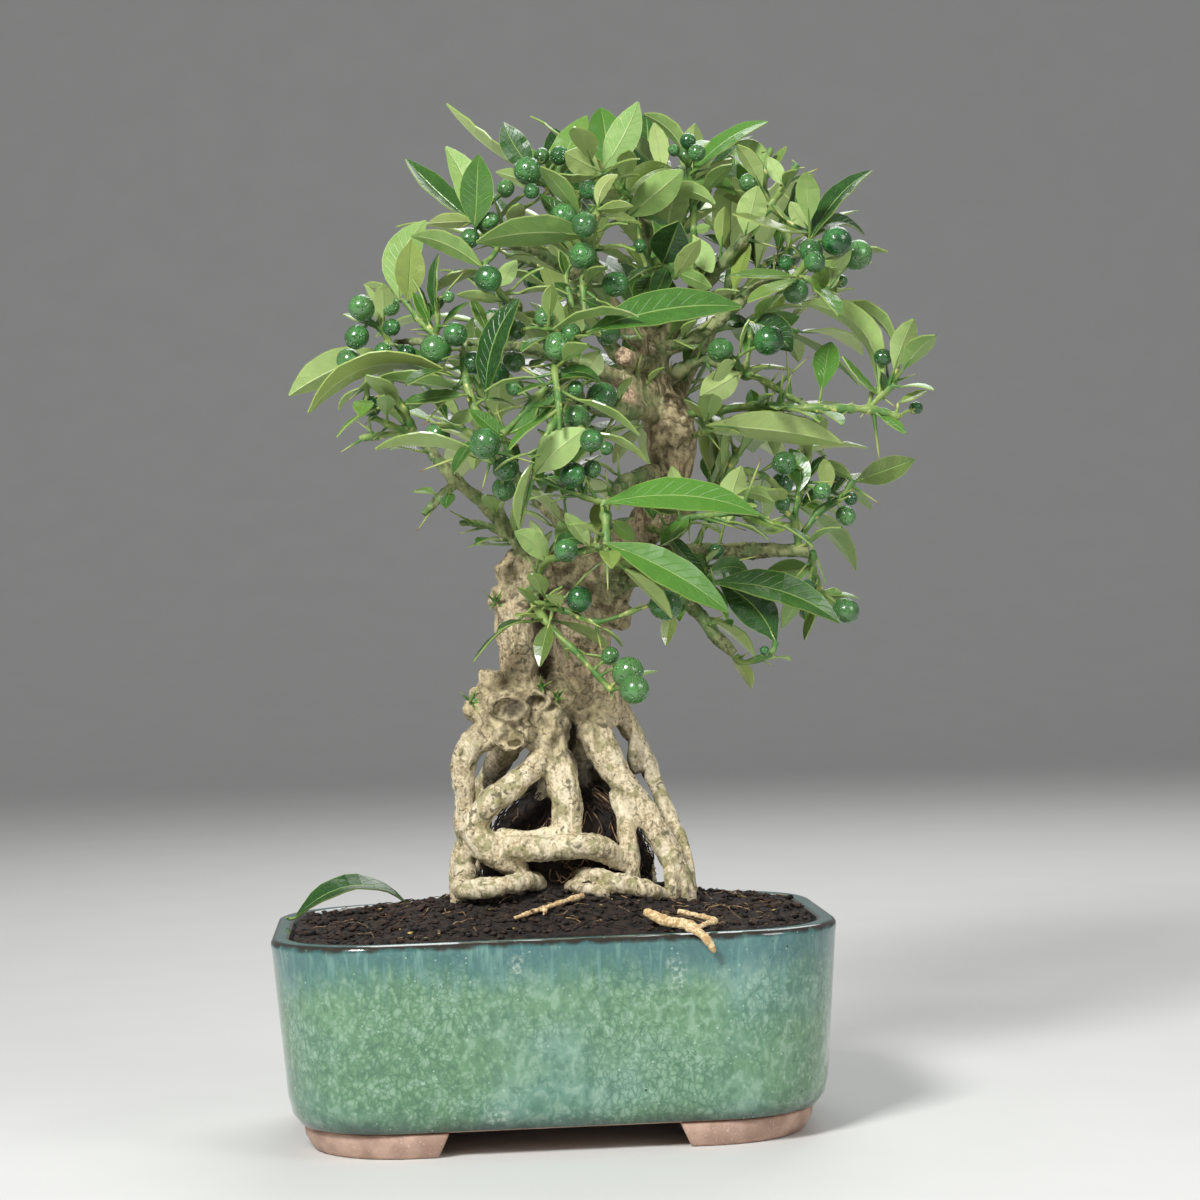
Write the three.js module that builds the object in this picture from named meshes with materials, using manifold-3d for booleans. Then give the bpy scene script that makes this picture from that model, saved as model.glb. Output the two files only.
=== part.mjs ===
// Kumquat bonsai in a glazed oval-cornered pot: pot, drain screens, soil, exposed roots and trunk in one piece,
// leafy sprays with thorns and unripe fruit, a fallen leaf and loose roots. Millimetres, +Z up, front at -Y.
import * as THREE from 'three';
import { mergeVertices } from 'three/addons/utils/BufferGeometryUtils.js';
import Module from 'manifold-3d';

const wasm = await Module();
wasm.setup();

// Pot
const POT_WIDTH = 190;
const POT_DEPTH = 140;
const POT_CORNER = 44;
const POT_TOP = 71.4;
const POT_TAPER = 4.5;
const FOOT_HEIGHT = 8;
const FOOT_INSET = 9;
const FOOT_SPLAY = 2.5;
const FOOT_THICKNESS = 12;
const FOOT_START_X = 38;
const FOOT_START_Y = 22;
const WALL = 6.5;
const POT_FLOOR = 7;
const CORNER_STEPS = 5;
const DRAIN_RADIUS = 7.5;
const DRAIN_OFFSET = 46;
const DRAIN_SIDES = 14;

// Drain screens
const SCREEN_SIZE = 24;
const SCREEN_THICKNESS = 1;
const SCREEN_HOLE = 5;
const SCREEN_PITCH = 7.5;
const SCREEN_HOLES_PER_SIDE = 2;

// Soil
const SOIL_EDGE = 69.5;
const SOIL_MOUND = 13;
const SOIL_MOUND_CENTRE_X = 5;
const SOIL_SPREAD_X = 62;
const SOIL_SPREAD_Y = 50;
const SOIL_ROUGHNESS = 0.7;
const SOIL_RINGS = [0.3, 0.55, 0.8, 0.97];

// Peat held inside the cage of roots: a steep heap on the soil, its rings as z, half width and half depth
const HEAP_CENTRE_X = 7;
const HEAP_CENTRE_Y = 9;
const HEAP_RINGS = [[60, 30, 22], [82, 30, 21], [99, 25, 17], [111, 17, 12]];
const HEAP_TOP = 116;
const HEAP_SIDES = 14;

// Distance under which points merge, sizes to try under which facets merge, the gap that touching pieces keep,
// and the least room round blades, twigs and fruit
const WELD = 1e-3;
const DETAILS = [0.12, 0.1, 0.08, 0.06, 0.04, 0.02];
const TOUCH_GAP = 0.35;
const BLADE_ROOM = 2.2;
const TWIG_ROOM = 0.9;
const FRUIT_ROOM = 0.5;

// Wood
const THICK_WOOD = 4.5;
const THIN_WOOD = 2.6;
const TWIG_SIDES = 4;
const LIMB_SETBACK = 1.2;
const BARK_UNEVENNESS = 0.14;
const LUMP_UNEVENNESS = 0.12;
const LUMP_DEPTH_SHARE = 0.9;
const WOOD_SEED = 11;

// Leaves, fruit and thorns
const BLADE_KEEL = 0.75;
const BLADE_TOP = 0.45;
const LEAF_PROPORTION = 0.34;
const WIDEST_LEAF = 14;
const PETIOLE_SIZE = 1.3;
const LEAF_STATIONS = [[0.04, 0.16], [0.38, 1], [0.78, 0.8]];
const SHORT_LEAF = 27;
const SHORT_LEAF_STATIONS = [[0.04, 0.2], [0.52, 1]];
const LEAF_SAMPLES = 9;
const SAMPLE_SPREAD = 0.38;
const LEAF_BASE_SHARE = 0.35;
const FRUIT_SWELL = 1.12;
const SMALLEST_FRUIT = 4.4;
const SHORTEST_THORN = 10;
const STALK_RADIUS = 0.8;
const THORN_RADIUS = 0.75;
const DEPTH_SHIFTS = [0, -6, 6, -12, 12, -18, 18, -24, 24];
const FRUIT_SHIFTS = [0, -4, 4, -8, 8, -12, 12];

// Sprays grown by rule
const TURN_PER_LEAF = 2.4;
const GROWN_LEAF_LENGTH = 37;
const GROWN_LEAF_SPREAD = 9;
const GROWN_TWIG_RADIUS = 1.5;
const GROWN_FRUIT_RADIUS = 4.6;
const FIRST_GROWN_SEED = 100;
const GROWN_SHIFTS = [0, 0.35, -0.35, 0.7, -0.7, 1.05, -1.05];

// Places are read off a front elevation, as the tree is seen from this eye point: x across, z up, both on the
// plane through the trunk, and then how far behind that plane (+) or in front of it (-) the place really lies.
const EYE = new THREE.Vector3(-50, -1039, 180.5);
const TOP = 1;
const UNDER = -1;

// Roots and trunk: each place as x, z, depth and radius
const ROOTS_AND_TRUNK = [
  // Left trunk
  [[-7, 143, -6, 8.3], [-7, 161, -8, 7.3], [-8, 175, -8, 7.3], [-4, 187, -6, 8.3]],
  // Right trunk
  [[21, 136, 2, 9], [17, 153, 2, 10.4], [14, 167, 0, 9.4], [11, 182, 0, 9.4]],
  // Upper trunk
  [[18, 183, 3, 9], [28, 196, 4, 7.6], [39, 207, 2, 6.6], [47, 222, 0, 6.9], [48, 235, 0, 8.7],
    [46, 244, 0, 8.7], [43, 254, 0, 4.8], [43, 268, 2, 4.2]],
  // Trunk web
  [[2, 146, 4, 5.5], [3, 164, 5, 5.2], [3, 181, 4, 6.2]],
  // Outer left root
  [[-13, 135, -14, 4.8], [-24, 133, -14, 4.5], [-28, 125, -12, 4.3], [-28, 113, -10, 3.8],
    [-28, 102, -8, 3.8], [-25, 95, -8, 3.8]],
  // Second left root
  [[1, 128, -14, 4.2], [-10, 118, -17, 4.2], [-19, 112, -17, 4.2], [-25, 104, -15, 4.5]],
  // Middle root
  [[2, 134, -10, 6.9], [5, 123, -12, 6.2], [7, 112, -14, 4.8], [7, 97, -15, 5.5]],
  // Cross root
  [[-15, 96, -20, 3.8], [1, 95, -22, 4.5], [17, 95, -20, 4.5], [26, 89, -14, 3.8]],
  // Thin cross root
  [[-17, 101, -14, 1.7], [-8, 100, -17, 1.7], [3, 101, -16, 1.7]],
  // Low left root
  [[-27, 105, -15, 4.2], [-22, 97, -16, 5.5], [-14, 92, -16, 4.5], [-7, 84, -14, 2.8]],
  // Left heel
  [[-25, 101, -8, 4.2], [-29, 93, -6, 4.8], [-30, 81, -6, 4.2], [-30, 70, -6, 3.1]],
  // Front left log
  [[-27, 89, -6, 3.1], [-30, 82, -19, 3.5], [-23, 82, -27, 3.5], [-14, 83, -26, 3.5],
    [-6, 84, -17, 3.1], [-1, 81, -4, 2.4]],
  // Front right log
  [[8, 82, -3, 2.4], [13, 85, -16, 3.1], [25, 82, -22, 3.3], [35, 79, -23, 3.1], [41, 76, -13, 2.4]],
  // Short log
  [[6, 82, -8, 2.1], [10, 81, -21, 2.1], [18, 79, -25, 2.1], [22, 73, -21, 1.7]],
  // Post root
  [[25, 114, -8, 3.5], [28, 99, -12, 3.1], [29, 83, -14, 3.1], [29, 71, -14, 2.4]],
  // Long diagonal root
  [[16, 138, -6, 6.2], [23, 123, -8, 5.2], [35, 105, -10, 4.5], [43, 90, -12, 4.2], [48, 78, -14, 3.1],
    [49, 70, -14, 2.1]],
  // Root prong
  [[42, 90, -14, 2.8], [43, 81, -17, 2.4], [43, 69, -18, 1.7]],
  // Right back root
  [[24, 146, 6, 4.2], [33, 130, 7, 3.1], [38, 117, 6, 2.8], [44, 101, 2, 2.8], [48, 89, -6, 2.8],
    [49, 78, -12, 2.4]],
  // Ear root
  [[23, 148, 4, 2.8], [29, 142, 5, 2.1], [31, 135, 5, 2.1], [31, 128, 5, 2.1], [32, 120, 4, 2.1]],
  // Knob stub
  [[-13, 147, -8, 4.8], [-18, 152, -12, 4.2], [-18, 157, -13, 3.8]],
  // Rear left root
  [[10, 146, 3, 6.2], [6, 134, 12, 6.6], [-2, 115, 26, 5.2], [-10, 95, 34, 4.5], [-15, 76, 38, 3.1]],
  // Rear right root
  [[15, 146, 3, 5.5], [17, 134, 13, 6.2], [23, 111, 30, 4.8], [32, 90, 36, 4.2], [36, 74, 40, 3.1]],
  // Rear middle root
  [[13, 141, 4, 5.2], [11, 127, 14, 5.2], [10, 101, 40, 4.2], [8, 75, 50, 3.1]],
  // Left back root
  [[-4, 142, -4, 5.2], [-11, 133, 2, 4.8], [-21, 116, 18, 4.2], [-25, 95, 24, 4.2], [-30, 77, 27, 3.1]],
  // Inner root
  [[8, 139, 0, 4.8], [5, 125, 2, 4.8], [-2, 102, 6, 4.2], [0, 77, 4, 3.5]],
  // Buried root
  [[-30, 70, -6, 3.1], [-25, 69, 30, 2.8], [4, 68, 46, 2.8], [36, 69, 38, 2.8], [49, 70, 6, 2.4],
    [48, 65, -14, 2.4], [29, 67, -14, 2.4], [3, 67, -2, 2.8], [-26, 68, -8, 3.1]],
];

// Limbs and old twigs: each place as x, z, depth and radius
const LIMBS = [
  // Left limb
  [[-3, 197, -8, 3.1], [-9, 205, -12, 2.8], [-19, 216, -18, 2.4], [-28, 224, -20, 2.4],
    [-35, 233, -22, 2.1], [-42, 241, -24, 1.7]],
  // Left stub
  [[-27, 223, -20, 1.7], [-33, 218, -23, 1.6], [-40, 211, -26, 1.6]],
  // Knobby twig
  [[-3, 197, -12, 1.4], [-16, 207, -18, 1.2], [-28, 209, -20, 1]],
  // Level limb
  [[43, 251, -2, 3.8], [28, 258, -16, 3.1], [14, 263, -26, 2.4], [1, 268, -31, 2.1],
    [-11, 270, -31, 1.6], [-31, 272, -28, 1.4], [-49, 272, -22, 1.2]],
  // Upper left limb
  [[42, 266, 3, 3.8], [33, 276, 0, 3.5], [25, 288, -4, 3.1], [21, 304, -8, 2.4], [16, 317, -10, 1.7]],
  // Left fork
  [[25, 288, -4, 2.4], [11, 297, -18, 2.1], [1, 303, -26, 1.7], [-9, 306, -30, 1.4]],
  // Top limb
  [[43, 267, 4, 3.5], [45, 284, 14, 3.1], [44, 301, 16, 2.4], [40, 315, 12, 1.7]],
  // Upper right limb
  [[44, 267, 4, 3.5], [57, 284, 0, 2.8], [71, 300, -5, 2.1], [85, 316, -6, 1.4]],
  // Right limb
  [[46, 266, 1, 2.8], [61, 273, -8, 2.4], [78, 286, -14, 2.1], [93, 291, -18, 1.4]],
  // Long right limb
  [[47, 256, 4, 2.8], [60, 263, 0, 2.3], [74, 257, -6, 1.7]],
  // Middle right limb
  [[21, 190, 2, 4.2], [36, 195, -2, 3.1], [57, 196, -6, 2.8], [78, 196, -8, 2.8], [96, 195, -9, 2.3]],
  // Lower right limb
  [[23, 185, -2, 3.5], [37, 187, -6, 2.4], [52, 178, -12, 2.4], [61, 167, -16, 2.4],
    [68, 159, -18, 2.1]],
  // Front limb
  [[41, 224, -4, 3.5], [31, 221, -28, 2.4], [24, 214, -48, 1.7]],
  // Front left limb
  [[42, 246, -4, 3.5], [27, 246, -30, 2.4], [16, 249, -44, 1.9], [9, 248, -50, 1.4]],
  // Burl twig
  [[-2, 185, -12, 2.1], [-2, 180, -22, 2.1]],
  // Cut stub
  [[43, 261, -2, 3.1], [36, 263, -12, 3.1], [31, 266, -20, 3.5]],
  // Small cut stub
  [[41, 249, -3, 3.1], [36, 250, -12, 3.1], [32, 251, -18, 3.5]],
  // Back left limb
  [[44, 239, 6, 4.2], [37, 254, 28, 3.1], [24, 274, 42, 2.4], [13, 288, 50, 1.6]],
  // Back right limb
  [[47, 247, 6, 3.8], [60, 269, 32, 2.8], [74, 286, 48, 1.6]],
  // Back top limb
  [[43, 266, 6, 3.1], [44, 287, 36, 2.4], [42, 304, 48, 1.6]],
  // Low back left limb
  [[22, 193, 10, 4.2], [8, 209, 30, 3.1], [-5, 222, 42, 2.1], [-15, 233, 48, 1.6]],
  // Low back right limb
  [[36, 203, 6, 3.8], [57, 214, 30, 2.8], [72, 224, 46, 1.6]],
  // Back middle limb
  [[47, 232, 6, 3.5], [46, 245, 42, 2.4], [45, 256, 64, 1.6]],
];

// Burl and root swellings: x, z, depth, radius across and radius upward
const LUMPS = [
  [-5, 190, -6, 9.4, 9.4],
  [6, 185, 0, 10.4, 9],
  [21, 185, 4, 11.8, 10.4],
  [25, 176, 2, 7.6, 6.2],
  [-13, 182, -8, 4.5, 4.8],
  [13, 193, 0, 12.5, 6.9],
  [-20, 145, -11, 7.6, 6.9],
  [-11, 141, -14, 11.8, 10.7],
  [1, 136, -12, 8.3, 13.2],
  [2, 147, -8, 10.4, 9],
  [12, 142, -2, 9.7, 9],
  [48, 238, -6, 8.3, 6.2],
];

// Sprays placed by hand. Twigs: first and last radius, then places as x, z, depth. Leaves: base and tip as
// x, z, depth, then apparent width, the face that shows, and bow to the left of the way the leaf points.
// Fruits: x, z, depth, radius. Thorns: foot and tip as x, z, depth.
const SPRAYS = [
  {
    name: 'spray_front_right',
    twigs: [[1.7, 1.2, [24, 214, -48], [24, 205, -54], [24, 196, -57]],
      [1.1, 0.7, [24, 214, -48], [13, 218, -50], [2, 223, -52]]],
    leaves: [[24, 214, -56, 78, 209, -50, 11.1, TOP, 4], [24, 200, -60, 66, 175, -52, 11.8, TOP, 2],
      [36, 215, -46, 49, 210, -40, 4.8, TOP, 0], [26, 208, -50, 34, 201, -44, 5.5, TOP, 0]],
    fruits: [[13, 224, -54, 4.5], [20, 226, -50, 3.1]],
    thorns: [[24, 196, -57, 24, 183, -60], [22, 215, -52, 16, 226, -56], [4, 222, -52, -2, 224, -54]],
  },
  {
    name: 'spray_front_upper',
    twigs: [[1.6, 1, [10, 265, -28], [10, 265, -38], [12, 269, -50], [19, 273, -58]],
      [1.4, 0.9, [10, 265, -38], [8, 261, -60], [9, 250, -64], [9, 240, -65]],
      [1, 0.8, [12, 269, -50], [9, 274, -56], [6, 275, -58]]],
    leaves: [[21, 274, -62, 74, 281, -56, 11.8, TOP, 3], [8, 275, -60, 38, 279, -60, 2.4, UNDER, 2],
      [24, 267, -48, 18, 258, -50, 9, UNDER, 0], [8, 257, -54, 24, 256, -46, 4.2, TOP, 3]],
    fruits: [[9, 269, -62, 4.8], [14, 273, -56, 3.8], [5, 279, -56, 3.5], [27, 273, -48, 4.2],
      [-5, 275, -46, 3.5]],
    thorns: [[8, 259, -50, -1, 262, -54], [8, 258, -50, 17, 254, -50], [9, 247, -54, 14, 250, -58]],
  },
  {
    name: 'spray_front_left',
    twigs: [[1.6, 1.1, [9, 248, -50], [8, 244, -56], [4, 237, -58], [0, 226, -58]],
      [1.5, 1, [9, 248, -50], [3, 250, -50], [-2, 247, -50], [-11, 239, -54]],
      [1.5, 1.5, [-2, 247, -50], [5, 255, -50]],
      [1.2, 0.8, [9, 248, -50], [16, 241, -56], [19, 233, -56]]],
    leaves: [[0, 225, -60, 18, 240, -62, 11.8, UNDER, 1], [-9, 239, -56, 9, 253, -60, 5.5, TOP, -2],
      [-6, 206, -50, -1, 229, -56, 3.8, UNDER, 1], [-10, 237, -52, -22, 248, -50, 5.5, TOP, 0]],
    fruits: [[15, 244, -58, 4.5], [20, 236, -60, 4.2], [25, 233, -56, 2.4], [15, 254, -52, 2.8],
      [-6, 255, -46, 3.1], [-6, 264, -44, 3.8], [24, 251, -48, 5.2]],
    thorns: [[0, 251, -50, -6, 257, -54], [-1, 249, -52, 10, 248, -60], [-11, 240, -52, -13, 249, -56]],
  },
  {
    name: 'spray_left_mid',
    twigs: [[1.6, 1.2, [-23, 271, -29], [-23, 268, -37], [-23, 259, -40], [-20, 248, -44], [-16, 240, -46]],
      [1.1, 0.9, [-16, 240, -46], [-15, 232, -48], [-12, 226, -46]]],
    leaves: [[-26, 259, -40, -78, 249, -30, 6.9, UNDER, -10], [-16, 252, -48, -4, 286, -54, 9, TOP, 3],
      [-15, 229, -48, -55, 236, -40, 4.2, UNDER, -3], [-24, 255, -38, -53, 260, -30, 4.8, UNDER, 0],
      [-23, 253, -42, -44, 251, -36, 4.2, TOP, 0], [-19, 247, -44, -29, 244, -40, 4.8, UNDER, 0]],
    fruits: [[-33, 269, -38, 5.2], [-26, 274, -34, 4.2], [-20, 264, -38, 4.2], [-12, 260, -44, 4.2],
      [-17, 236, -52, 5.5], [-10, 227, -48, 4.5], [-11, 220, -46, 4.2]],
    thorns: [[-24, 259, -40, -38, 243, -46], [-16, 235, -47, -40, 227, -40],
      [-16, 240, -46, -5, 235, -48]],
  },
  {
    name: 'spray_left_tip',
    twigs: [[1.3, 0.9, [-49, 272, -22], [-51, 276, -23], [-55, 279, -24]],
      [1.2, 0.8, [-49, 272, -22], [-54, 267, -24], [-57, 258, -24], [-57, 252, -24]]],
    leaves: [[-52, 269, -14, -84, 255, -4, 11.1, UNDER, -1],
      [-51, 276, -20, -56, 292, -16, 2.8, UNDER, 0]],
    fruits: [[-58, 284, -24, 4.5], [-48, 284, -24, 3.1], [-48, 277, -28, 3.1], [-60, 274, -26, 4.2],
      [-63, 266, -24, 4.2], [-51, 269, -28, 3.1], [-56, 250, -26, 3.8], [-43, 268, -28, 3.1]],
    thorns: [[-55, 279, -24, -61, 280, -20], [-57, 257, -24, -64, 252, -22],
      [-57, 255, -24, -49, 256, -28]],
  },
  {
    name: 'spray_left_low',
    twigs: [[1.5, 1, [-42, 241, -24], [-49, 243, -27], [-55, 246, -29]],
      [1.6, 1.2, [-42, 241, -24], [-46, 251, -28], [-51, 254, -28]],
      [1.6, 1, [-42, 241, -24], [-51, 240, -20], [-60, 239, -16]]],
    leaves: [[-46, 248, -26, -35, 254, -20, 4.2, TOP, 0]],
    fruits: [],
    thorns: [[-55, 246, -29, -58, 244, -30], [-50, 243, -27, -56, 238, -30],
      [-56, 239, -17, -57, 249, -15], [-51, 254, -28, -55, 253, -30]],
  },
  {
    name: 'spray_left_upper',
    twigs: [[1.4, 1, [-32, 272, -28], [-33, 274, -31], [-38, 279, -27], [-43, 286, -23]],
      [1, 0.8, [-33, 274, -31], [-32, 278, -33], [-32, 286, -34]]],
    leaves: [[-45, 287, -20, -35, 313, -6, 12.5, UNDER, 4],
      [-42, 286, -25, -40, 307, -28, 10.4, TOP, 0], [-45, 286, -22, -57, 292, -26, 2.8, UNDER, -1],
      [-32, 281, -34, -31, 302, -36, 3.1, TOP, 1], [-38, 280, -28, -29, 286, -34, 4.2, TOP, 0]],
    fruits: [[-28, 287, -36, 2.1]],
    thorns: [[-32, 285, -34, -22, 296, -38], [-35, 276, -29, -42, 276, -32]],
  },
  {
    name: 'spray_upper_left',
    twigs: [[1.4, 1, [-9, 306, -30], [-13, 308, -32], [-18, 313, -33]],
      [1.2, 0.9, [-9, 306, -30], [-12, 301, -34], [-15, 297, -36], [-10, 288, -38], [-7, 285, -38]]],
    leaves: [[-19, 313, -32, -41, 335, -22, 6.9, TOP, 1],
      [-18, 312, -34, -27, 339, -26, 9.7, UNDER, -2], [-18, 311, -37, -16, 336, -40, 11.8, TOP, 0],
      [-18, 313, -34, -34, 313, -28, 5.2, UNDER, 0], [-16, 297, -36, -40, 309, -24, 6.9, UNDER, -2],
      [-15, 296, -36, -34, 289, -32, 3.5, UNDER, -1], [-9, 285, -38, -25, 288, -36, 3.5, UNDER, 0],
      [-11, 290, -36, -4, 299, -30, 6.2, UNDER, 0]],
    fruits: [[-13, 313, -38, 3.5], [-20, 307, -36, 3.5], [-14, 293, -42, 4.8], [-7, 324, -30, 3.1]],
    thorns: [[-18, 313, -34, -23, 311, -38], [-15, 298, -36, -21, 302, -40],
      [-8, 287, -38, -3, 283, -40]],
  },
  {
    name: 'spray_top_left',
    twigs: [[1.5, 1, [16, 317, -10], [10, 323, -16], [4, 327, -20]],
      [1.1, 0.9, [16, 317, -10], [20, 323, -14], [25, 329, -18]]],
    leaves: [[2, 330, -22, -26, 354, -10, 3.1, UNDER, 3], [3, 330, -26, -7, 347, -20, 9.7, TOP, 1],
      [8, 325, -14, 22, 349, -6, 9.7, TOP, 0], [26, 329, -20, 14, 336, -28, 9.7, UNDER, 0],
      [26, 328, -22, 7, 329, -26, 2.8, UNDER, 2], [5, 325, -20, -10, 330, -14, 5.5, UNDER, 0]],
    fruits: [[1, 330, -28, 5], [6, 335, -16, 2.8], [12, 335, -20, 3.3], [2, 323, -24, 2.8],
      [22, 323, -18, 3.5]],
    thorns: [[10, 323, -16, 8, 318, -18], [20, 323, -14, 15, 320, -18]],
  },
  {
    name: 'spray_top_front',
    twigs: [[1.7, 1.2, [22, 299, -7], [22, 303, -26], [23, 310, -34], [25, 317, -37]],
      [1, 0.8, [22, 303, -26], [16, 298, -32], [13, 293, -34], [15, 282, -36]],
      [1.4, 0.9, [22, 302, -22], [19, 293, -28], [19, 281, -34]]],
    leaves: [[22, 307, -33, -18, 306, -40, 10.4, UNDER, -2], [22, 306, -32, 5, 322, -34, 6.9, TOP, 1],
      [25, 317, -36, 32, 328, -32, 4.8, UNDER, 2], [25, 316, -38, 37, 317, -32, 4.2, UNDER, 0],
      [25, 314, -38, 40, 311, -30, 2.8, TOP, 0], [13, 293, -34, 11, 302, -36, 2.8, TOP, 0],
      [19, 285, -34, 29, 280, -28, 5.5, TOP, 0], [15, 286, -34, 9, 291, -36, 4.8, TOP, 0]],
    fruits: [[13, 314, -42, 4.5], [20, 311, -44, 4.5], [19, 300, -40, 4.8], [30, 290, -34, 4.5]],
    thorns: [[25, 317, -37, 21, 318, -40], [19, 288, -32, 24, 296, -36], [16, 298, -32, 21, 296, -38]],
  },
  {
    name: 'spray_top',
    twigs: [[1.4, 1, [40, 315, 12], [35, 321, 4], [28, 328, -2]],
      [1.1, 0.8, [40, 315, 12], [47, 319, 6], [49, 322, 4]]],
    leaves: [[27, 330, -2, 40, 353, 4, 11.1, UNDER, -1], [35, 320, 4, 51, 330, 0, 8.3, TOP, 3],
      [35, 313, 4, 55, 329, -8, 11.8, UNDER, 0], [49, 322, 2, 34, 342, 8, 4.2, UNDER, -2],
      [39, 314, 8, 43, 299, -6, 6.2, TOP, 6], [49, 322, 2, 66, 317, -4, 5.5, UNDER, 2]],
    fruits: [[39, 303, -2, 2.4]],
    thorns: [[35, 321, 4, 30, 317, 0], [28, 328, -2, 26, 333, -4]],
  },
  {
    name: 'spray_top_mid',
    twigs: [[1.4, 0.9, [56, 285, 0], [58, 305, 4], [58, 320, 2], [57, 330, 0]]],
    leaves: [[57, 331, 0, 42, 349, 6, 4.8, UNDER, -3], [58, 328, -2, 85, 346, -6, 5.5, TOP, 2],
      [59, 327, 0, 66, 339, 4, 6.2, UNDER, 0], [58, 324, -2, 73, 320, -8, 4.8, TOP, 3],
      [58, 306, 0, 64, 293, -6, 7.6, UNDER, 0], [58, 308, 4, 64, 309, 0, 3.5, UNDER, 0]],
    fruits: [[57, 339, -2, 2.8], [60, 335, -6, 3.1], [56, 334, -8, 2.4], [52, 336, 0, 2.1]],
    thorns: [[58, 328, 0, 67, 330, -4], [58, 315, 2, 62, 314, 0]],
  },
  {
    name: 'spray_centre',
    twigs: [[1.5, 1, [44, 297, 15], [49, 297, 4], [51, 292, -8]]],
    leaves: [[47, 297, 4, 53, 311, -2, 13.9, TOP, 0], [49, 296, 0, 43, 284, -10, 6.9, TOP, 0],
      [51, 292, -8, 60, 305, -12, 6.2, UNDER, 0], [51, 294, -6, 64, 288, -16, 5.5, UNDER, 0]],
    fruits: [[46, 305, -4, 2.8]],
    thorns: [[51, 294, -6, 54, 299, -12]],
  },
  {
    name: 'spray_upper_right',
    twigs: [[1.4, 1, [85, 316, -6], [89, 321, -8], [95, 330, -10]],
      [1.3, 0.9, [85, 316, -6], [83, 322, -4], [84, 330, -4], [86, 336, -4]],
      [1.2, 0.9, [85, 316, -6], [92, 310, -8], [98, 306, -10]]],
    leaves: [[83, 326, -4, 73, 338, 0, 5.5, UNDER, -4], [90, 323, -8, 85, 333, -4, 5.5, UNDER, 0],
      [76, 306, -8, 81, 323, -14, 10.4, UNDER, 0], [96, 313, -10, 98, 324, -8, 6.2, TOP, 0],
      [98, 308, -12, 92, 317, -16, 6.2, UNDER, 0], [97, 306, -10, 72, 314, -14, 2.4, TOP, 1],
      [84, 316, -6, 69, 320, 2, 4.8, UNDER, 0], [85, 316, -6, 73, 301, -12, 4.2, TOP, 0]],
    fruits: [[78, 324, -8, 3.5]],
    thorns: [[95, 330, -10, 93, 332, -10], [95, 328, -10, 98, 329, -12], [85, 335, -4, 82, 335, -4],
      [89, 321, -8, 92, 318, -12], [84, 318, -6, 90, 311, -14]],
  },
  {
    name: 'spray_right_top',
    twigs: [[1.4, 1, [93, 291, -18], [97, 296, -20], [99, 304, -20]],
      [1.1, 0.8, [93, 291, -18], [100, 289, -20], [104, 286, -20]]],
    leaves: [[99, 304, -20, 121, 328, -14, 6.2, TOP, 2], [99, 304, -20, 118, 305, -12, 4.2, TOP, 5],
      [100, 298, -24, 113, 300, -30, 3.5, UNDER, -5], [104, 286, -20, 108, 294, -16, 4.8, UNDER, 0],
      [99, 286, -22, 105, 294, -24, 6.2, TOP, 0], [93, 291, -22, 70, 292, -18, 3.1, TOP, 0],
      [93, 290, -22, 76, 283, -24, 3.8, TOP, 0]],
    fruits: [[108, 303, -28, 5.2], [115, 298, -22, 5.2], [99, 300, -26, 4.2], [100, 296, -32, 3.8],
      [93, 286, -26, 4.5], [109, 289, -18, 2.4], [90, 296, -18, 2.8]],
    thorns: [[99, 304, -20, 103, 310, -18], [104, 286, -20, 109, 284, -22],
      [97, 296, -20, 92, 302, -24]],
  },
  {
    name: 'spray_centre_right',
    twigs: [[1.4, 1, [74, 257, -6], [79, 256, -10], [90, 249, -13], [97, 245, -15]],
      [1.3, 0.9, [74, 257, -6], [71, 262, -12], [68, 265, -14]],
      [1.1, 0.8, [74, 257, -6], [76, 266, -6], [77, 274, -6]]],
    leaves: [[76, 276, -8, 91, 265, -14, 11.8, TOP, 2], [73, 258, -8, 58, 250, -12, 10.4, UNDER, 0],
      [77, 275, -8, 66, 277, -8, 4.8, TOP, 0], [71, 262, -12, 63, 256, -18, 4.8, UNDER, 0],
      [76, 273, -6, 94, 277, -2, 7.6, TOP, 0]],
    fruits: [[66, 266, -20, 4.5], [83, 269, -22, 5.2]],
    thorns: [[85, 253, -12, 97, 263, -18], [83, 254, -11, 87, 259, -8], [90, 249, -13, 89, 265, -16]],
  },
  {
    name: 'spray_right_long',
    twigs: [[1.9, 1.2, [52, 244, -2], [76, 246, -16], [93, 245, -22], [117, 244, -22], [128, 241, -22]],
      [1.1, 0.9, [117, 244, -22], [121, 248, -22], [127, 254, -22], [128, 264, -22]],
      [0.9, 0.8, [117, 244, -22], [119, 250, -20], [122, 251, -20]]],
    leaves: [[121, 249, -22, 95, 282, -14, 7.6, UNDER, -10],
      [128, 263, -22, 108, 281, -16, 4.2, UNDER, -5], [121, 249, -22, 109, 263, -26, 2.1, TOP, 1],
      [128, 246, -22, 138, 250, -24, 2.4, TOP, 0], [123, 250, -22, 122, 257, -26, 2.8, TOP, 0]],
    fruits: [[123, 262, -24, 3.1], [134, 244, -22, 2.4]],
    thorns: [[127, 253, -22, 135, 256, -26], [97, 244, -22, 101, 230, -20],
      [86, 245, -20, 91, 258, -26], [127, 257, -22, 131, 264, -24], [65, 245, -10, 68, 234, -14],
      [124, 251, -22, 131, 255, -20], [117, 244, -22, 114, 241, -22], [111, 245, -22, 106, 241, -26]],
  },
  {
    name: 'spray_right_shade',
    twigs: [[1.3, 0.9, [54, 236, -2], [60, 238, -16], [62, 240, -18]]],
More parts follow.
